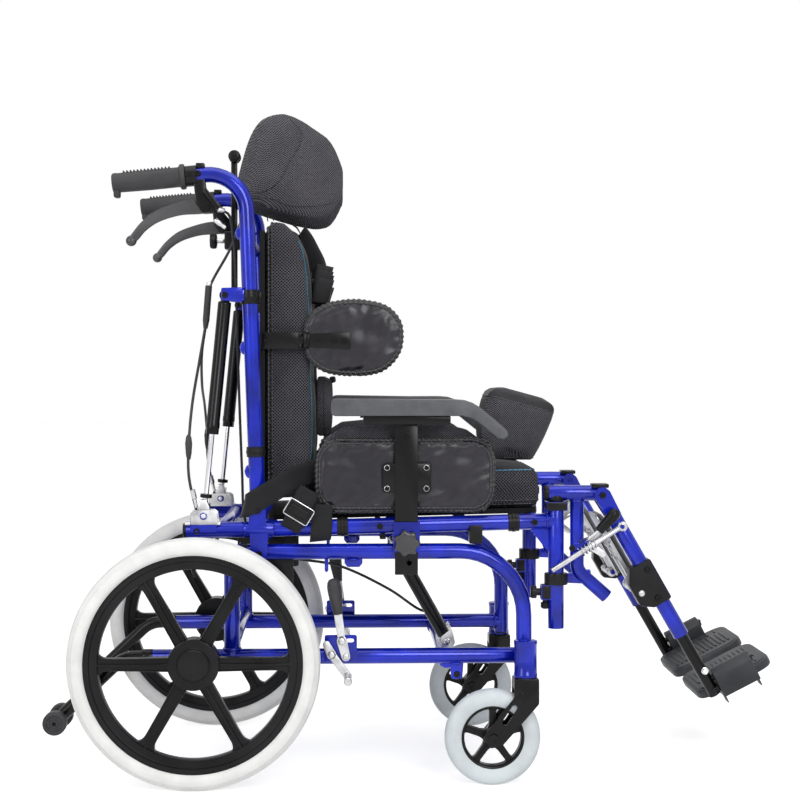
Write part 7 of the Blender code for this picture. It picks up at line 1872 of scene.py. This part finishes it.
def calf_pads():
    """The calf pads: thin upholstered boards on two knuckles."""
    outline = rounded(oblong(-0.137, -0.151, 0.009, -0.053), 0.024, 6)
    pad = blown(slanted(outline, CALF_HINGE, LEG_DOWN, LEG_OUT, 0.006, 0.014, 0.003, 2), 0.0022, 0.004)
    soft_skin(pad)
    for piece in pair(pad, "calf_pad_cover", "black_vinyl", "calf_pad_{}", "calf_pad_{}",
            slot="black_fabric"):
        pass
    board = [smooth_slab(outline, CALF_HINGE, LEG_DOWN, LEG_OUT, 0.0032, 0.0058, 0.0006, 1)]
    for low, high in ((-0.1, -0.08), (-0.154, -0.134)):
        board.append(smooth_bar((CALF_HINGE.x, low, CALF_HINGE.z), (CALF_HINGE.x, high, CALF_HINGE.z),
            0.0086, 0.0008))
        strip = oblong(-0.086, low + 0.002, 0.003, high - 0.002)
        board.append(smooth_slab(strip, CALF_HINGE, LEG_DOWN, LEG_OUT, -0.0005, 0.0036, 0.0005, 1))
        for a in (-0.078, -0.056):
            spot = CALF_HINGE + LEG_DOWN * a + LEG_OUT * -0.0004
            board.append(screw_head((spot.x, (low + high) / 2, spot.z), tuple(-LEG_OUT), 0.004, 0.0022))
    pair(join(board), "calf_pad_board", "brushed_steel", "calf_pad_{}", slot="black_fabric")
    y = R - 0.0375
    low, high = Vector((0.645, y, 0.4055)), Vector((0.6745, y, 0.4375))
    length = (high - low).length
    profile = [(0.0052, 0.0), (0.0074, 0.0012), (0.008, 0.01), (0.0095, length * 0.7),
        (0.01, length * 0.88), (0.0086, length * 0.97), (0.005, length + 0.002)]
    grip = turned(tuple(low), tuple((high - low).normalized()), profile, 28)
    end = dome_rivet((high.x - 0.001, y - 0.007, high.z - 0.003), OUT, 0.0028, 0.0016)
    loop = hose([(0.62, R - 0.013, 0.387), (0.6235, R - 0.02, 0.39), (0.629, R - 0.036, 0.3945),
        (0.635, y, 0.3985), (0.6465, y, 0.4075)], 0.0026, 0.004, 3)
    pair(smooth(loop, 60.0), "ratchet_wire", "brushed_steel", "leg_hanger_{}")
    pair(smooth(join([grip, end])), "ratchet_grip", "black_plastic", "leg_hanger_{}")


def lap_belt():
    """The lap belt: round the cane's foot, in behind the hip pad and over the seat to its buckle."""
    seat = "seat_cushion_cover"
    outside = [(0.101, -0.176, 0.446), (0.086, -0.1745, 0.444), (0.0765, -0.183, 0.443),
        (0.075, -0.194, 0.4435), (0.08, -0.205, 0.446), (0.09, -0.21, 0.451), (0.1057, -0.211, 0.46),
        (0.13, -0.21, 0.4745), (0.15, -0.201, 0.486), (0.168, -0.183, 0.4945), (0.184, -0.169, 0.499),
        (0.2, -0.1655, 0.504), (0.218, -0.1645, 0.514), (0.23, -0.16, 0.52)]
    inside = [top_of(seat, x, y) for x, y in ((0.245, -0.145), (0.27, -0.115), (0.29, -0.08),
        (0.303, -0.048), (0.308, -0.028))]
    sides = [(0.25, 0, 1)] * 4 + [(0.2, 0, 1), (-0.2, 0, 1), (-0.48, 0, 0.85), (-0.5, 0, 0.85),
        (-0.5, 0.1, 0.85), (-0.45, 0.1, 0.88), (-0.4, 0, 0.9), (-0.45, 0.2, 0.85), (-0.7, 0.4, 0.6),
        (-0.8, -0.3, 0.3)]
    sides += [(-0.75, -0.65, -0.05), (-0.8, -0.6, 0), (-0.88, -0.45, 0), (-0.95, -0.25, 0),
        (-1.0, -0.05, 0)]
    belt = strap([*outside, *inside], 0.036, BELT_T, sides, 0.006)
    for piece in pair(belt, "lap_belt", "webbing", "seat", slot="black_fabric"):
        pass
    loop = [(0.183, -0.2105, 0.472), (0.174, -0.2125, 0.456), (0.165, -0.214, 0.437),
        (0.157, -0.212, 0.421), (0.15, -0.208, 0.408)]
    hang = strap(loop, 0.034, WEB_T, (0.853, 0, -0.522), 0.005)
    cut_from(pair(hang, "adjuster_webbing", "webbing", "seat", slot="black_fabric"), loop)
    fall = [(0.202, -0.206, 0.448), (LOW_Z, -0.208, 0.43), (0.201, -0.2085, 0.412), (0.2, -0.207, 0.398),
        (0.199, -0.2, 0.39), (0.1985, -0.19, 0.388)]
    end = strap(fall, 0.034, WEB_T, (1, 0, 0.1), 0.005)
    cut_from(pair(end, "belt_end", "webbing", "seat", slot="black_fabric"), fall)
    tilt = math.radians(-31.4)
    middle = (0.165, 0.437)

    def tilted(half_x, half_z, radius, steps):
        outline = rounded(oblong(-half_x, -half_z, half_x, half_z), radius, steps)
        return [(x + middle[0], z + middle[1]) for x, z in turned_about(outline, tilt, (0, 0))]

    ring = sheet_plate(tilted(0.0225, 0.0145, 0.005, 4), -0.2176, -0.215, 0.0005)
    hole = sheet_plate(tilted(0.021, 0.013, 0.002, 3), -0.223, -0.211, 0.0)
    cut_away(ring, hole)
    pair(smooth(ring), "adjuster_frame", "brushed_steel", "seat", slot="black_plastic")
    body = [
        smooth_plate(tilted(0.0165, 0.007, 0.003, 3), -0.219, -0.214, 0.0016, 3),
        smooth_plate(tilted(0.0215, 0.0135, 0.004, 4), -0.215, -0.2138, 0.0004),
    ]
    pair(join(body), "adjuster_body", "black_plastic", "seat")
    x, _, z = top_of(seat, 0.308, 0.0, 0.0)
    buckle = [
        smooth_block((x - 0.022, -0.029, z + 0.0006), (x + 0.022, 0.029, z + 0.012), 0.005, 4),
        smooth_block((x - 0.019, -0.04, z + 0.0015), (x + 0.019, -0.027, z + 0.0085), 0.003, 3),
        smooth_block((x - 0.019, 0.027, z + 0.0015), (x + 0.019, 0.04, z + 0.0085), 0.003, 3),
        smooth_block((x - 0.0095, -0.012, z + 0.011), (x + 0.0095, 0.012, z + 0.0132), 0.0016, 3),
    ]
    finished(join(buckle), "lap_buckle", "black_plastic", "seat")


def harness():
    """Shoulder straps down the back cushion's front, with their buckles and padded lower sleeves."""
    back = "back_cushion_cover"
    y = -0.092
    run = [(0.128, y, 0.915), (0.148, y, 0.91), (0.162, y, 0.898)]
    run += [front_of(back, y, z, 0.0016) for z in (0.875, 0.845, 0.81, 0.77, 0.73, 0.69, 0.65, 0.61,
        0.57)]
    for piece in pair(strap(run, 0.038, BELT_T, ACROSS, 0.006), "shoulder_strap", "webbing", "back",
            slot="black_fabric"):
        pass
    shown = [(0.164, -0.094, 0.892), (0.1745, -0.1, 0.878), (0.185, -0.106, 0.858),
        (0.1945, -0.11, 0.838), (0.198, -0.112, 0.818)]
    crossing = strap(shown, 0.036, WEB_T, (0.62, -0.62, 0.44), 0.006)
    cut_from(pair(crossing, "chest_strap", "smooth_cloth", "back", slot="black_fabric"), shown)
    turn = math.radians(-14.0)
    outline = turned_about(rounded(oblong(-0.015, -0.0215, 0.015, 0.0215), 0.004, 4), turn, (0, 0))
    outline = [(spot_x + 0.1985, spot_z + 0.7985) for spot_x, spot_z in outline]
    buckle = [
        smooth_plate(outline, -0.12, -0.101, 0.003, 3),
        smooth_bar((0.185, -0.111, 0.821), (0.216, -0.111, 0.829), 0.0046, 0.0008, 20),
        smooth_bar((0.183, -0.111, 0.779), (0.209, -0.111, 0.773), 0.0036, 0.0008, 20),
    ]
    pair(join(buckle), "strap_buckle", "black_plastic", "back")
    folds = []
    whole = []
    for step, (low_z, high_z) in enumerate(((0.788, 0.836), (0.782, 0.828), (0.775, 0.815))):
        out = -0.1225 - step * 0.0032
        fold = [(0.1985, out, low_z), (0.201, out - 0.0012, (low_z + high_z) / 2),
            (0.206, out, high_z - 0.004), (0.2075, out + 0.004, high_z + 0.001),
            (0.2055, out + 0.008, high_z - 0.005)]
        folds.append(strap(fold, 0.027, 0.0015, (0.97, 0, -0.22), 0.004))
        whole += fold if step % 2 == 0 else fold[::-1]
    cut_from(pair(join(folds), "folded_webbing", "webbing", "back", slot="black_fabric"), whole)
    low = front_of(back, y, 0.6)[0]
    sleeve = blown(sheet_plate(rounded([(low + 0.0015, 0.554), (low + 0.0245, 0.556),
        (low + 0.0255, 0.648), (low + 0.0015, 0.657)], 0.006, 3), y - 0.023, y + 0.023, 0.005, 2),
        0.0025, 0.0045)
    soft_skin(sleeve)
    welt = cord_welt(seam_round(sleeve, (low + 0.013, y, 0.605), (0, 0.03, 0), (0, 0, 0.06), 70), 0.0011)
    for piece in pair(sleeve, "strap_pad", "black_fabric", "back"):
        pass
    pair(welt, "strap_pad_welt", "thread", "back", slot="black_fabric")
    knob = smooth_turned((low + 0.025, y - 0.012, 0.648), (1, 0, 0.2),
        [(0.005, -0.002), (0.0056, 0.002), (0.005, 0.006), (0.0025, 0.0072)], 24)
    pair(knob, "strap_pad_snap", "black_plastic", "back")


def cables():
    """The release cables, with their barrel, boots and silver ends."""
    trunk = [(0.04, 0.192, 0.921), (0.062, 0.168, 0.915), (0.068, 0.11, 0.925), (0.066, 0.04, 0.935),
        (0.062, -0.04, 0.915), (0.048, -0.1, 0.865), (0.026, -0.13, 0.82), (0.0155, -0.14, 0.797)]
    right = [(0.0105, -0.142, 0.735), (0.002, -0.155, 0.68), (-0.008, -0.176, 0.61),
        (-0.0127, -0.19, 0.543), (-0.012, -0.192, 0.49), (0.0011, -0.192, 0.432)]
    left = [(0.0105, -0.138, 0.735), (0.002, -0.11, 0.69), (-0.006, -0.01, 0.64), (-0.011, 0.11, 0.6),
        (-0.0127, 0.18, 0.55), (-0.012, 0.192, 0.5), (0.0011, 0.192, 0.432)]
    recline = [smooth(hose(points, CABLE_R, 0.007, 2), 80.0) for points in (trunk, right, left)]
    barrel = [(0.003, -0.001), (0.0056, 0.0), (0.0056, 0.056), (0.005, 0.06), (0.0036, 0.07)]
    recline.append(smooth_turned((0.016, -0.14, 0.802), (-0.0055, 0, -0.07), barrel, 20))
    for y in (-0.191, 0.188):
        boot = [(0.0024, 0.0), (0.0044, 0.004), (0.0058, 0.014), (0.0048, 0.03), (0.003, 0.04)]
        recline.append(smooth_turned((-0.0127, y, 0.56), (0.0004, 0, -1), boot, 18))
    finished(join(recline), "recline_cable_cover", "black_rubber", "back", "recline_cable")
    silver = [smooth_turned((0.0172, -0.1385, 0.809), (-0.1, -0.08, -1),
        [(0.0026, 0.0), (0.0046, 0.001), (0.0046, 0.008), (0.004, 0.009)], 20)]
    for y in (-0.192, 0.192):
        silver.append(smooth_turned((-0.0068, y, 0.472), (0.22, 0, -1),
            [(0.0024, 0.0), (0.0042, 0.0008), (0.0042, 0.015), (0.003, 0.016), (0.003, 0.03),
            (0.002, 0.031)], 18))
        silver.append(smooth_turned((0.034, y, 0.922), (0.99, -0.16 if y > 0 else 0.16, -0.12),
            [(0.003, 0.0), (0.004, 0.0006), (0.004, 0.011), (0.003, 0.0122)], 18))
    finished(join(silver), "cable_ends", "brushed_steel", "back", slot="black_rubber")
    tilt = [(0.04, -0.192, 0.921), (0.052, -0.168, 0.914), (0.0565, -0.152, 0.88), (0.06, -0.146, 0.83),
        (0.065, -0.146, 0.65), (0.07, -0.142, 0.5), (0.074, -0.132, 0.42), (0.095, -0.115, 0.372),
        (0.15, -0.092, 0.35), (0.23, -0.074, 0.334), (0.31, -0.07, 0.296), (0.36, -0.07, 0.262),
        (0.3805, -0.07, 0.2545)]
    cover = finished(smooth(hose(tilt, CABLE_R, 0.007, 2), 80.0), "tilt_cable_cover", "black_rubber",
        None, "tilt_cable")
    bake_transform(cover)


def boards():
    """The two boards, the head pad's stem and its round knob."""
    for node in ("seat_board", "back_board"):
        repaint(node, "black_board")
    stem = smooth_block((0.044, -0.0065, 0.801), (0.0545, 0.0065, 1.024), 0.0012)
    finished(stem, "headrest_bar", "black_metal", "headrest_stem", "headrest_stem")
    disc = [(0.0095, 0.0), (0.0104, 0.001), (0.0104, 0.0052), (0.0088, 0.0066), (0.005, 0.007)]
    knob = [
        *[smooth_turned((0.05, edge * 0.0068, 1.0316), (0, edge, 0), disc, 32) for edge in (-1, 1)],
        screw_head((0.05, -0.0136, 1.0316), OUT, 0.0042, 0.0022),
    ]
    finished(join(knob), "head_pad_knob", "black_plastic", "headrest_stem", slot="black_metal")


foot_plates()
calf_pads()
lap_belt()
harness()
cables()
boards()


# A plain pale floor that shows white to the camera and to metal, and takes the chair's soft shadow.
FLOOR_GLOW = 0.62
WORLD_LIGHT = 0.3


def seen_directly(tree):
    """One for what the camera, metal and glass see, nothing for the light that falls on the chair."""
    path = tree.nodes.new("ShaderNodeLightPath")
    seen = math_node(tree, "ADD", path.outputs["Is Camera Ray"], path.outputs["Is Glossy Ray"])
    return math_node(tree, "ADD", seen, path.outputs["Is Transmission Ray"], clamp=True)


def make_floor():
    deselect()
    bpy.ops.mesh.primitive_plane_add(size=40.0, location=(0, 0, 0))
    floor = bpy.context.active_object
    floor.name = "floor"
    material = bpy.data.materials.new("pale floor")
    material.use_nodes = True
    shader = material.node_tree.nodes["Principled BSDF"]
    shader.inputs["Base Color"].default_value = (0.86, 0.86, 0.86, 1.0)
    shader.inputs["Roughness"].default_value = 0.55
    shader.inputs["Specular IOR Level"].default_value = 0.2
    shader.inputs["Emission Color"].default_value = (1.0, 1.0, 1.0, 1.0)
    tree = material.node_tree
    tree.links.new(math_node(tree, "MULTIPLY", seen_directly(tree), FLOOR_GLOW),
        shader.inputs["Emission Strength"])
    floor.data.materials.append(material)


def make_world():
    world = bpy.data.worlds.new("studio")
    bpy.context.scene.world = world
    world.use_nodes = True
    tree = world.node_tree
    background = tree.nodes["Background"]
    unlit = 1.0 - WORLD_LIGHT
    strength = math_node(tree, "ADD", WORLD_LIGHT, math_node(tree, "MULTIPLY", seen_directly(tree),
        unlit))
    background.inputs["Color"].default_value = (1.0, 1.0, 1.0, 1.0)
    tree.links.new(strength, background.inputs["Strength"])


def add_lamp(name, place, target, size, power):
    data = bpy.data.lights.new(name, "AREA")
    data.shape = "RECTANGLE"
    data.size, data.size_y = size
    data.energy = power
    lamp = bpy.data.objects.new(name, data)
    bpy.context.scene.collection.objects.link(lamp)
    lamp.location = place
    lamp.rotation_euler = (Vector(target) - Vector(place)).to_track_quat("-Z", "Y").to_euler()


make_floor()
make_world()
add_lamp("overhead", (0.1, -0.6, 3.2), (0.0, 0.0, 0.4), (3.0, 2.2), 40.0)
add_lamp("near_front", (0.9, -3.0, 1.9), (0.0, 0.0, 0.5), (1.2, 1.4), 46.0)
add_lamp("near_rear", (-2.0, -2.2, 1.5), (0.0, 0.0, 0.5), (1.0, 1.6), 22.0)
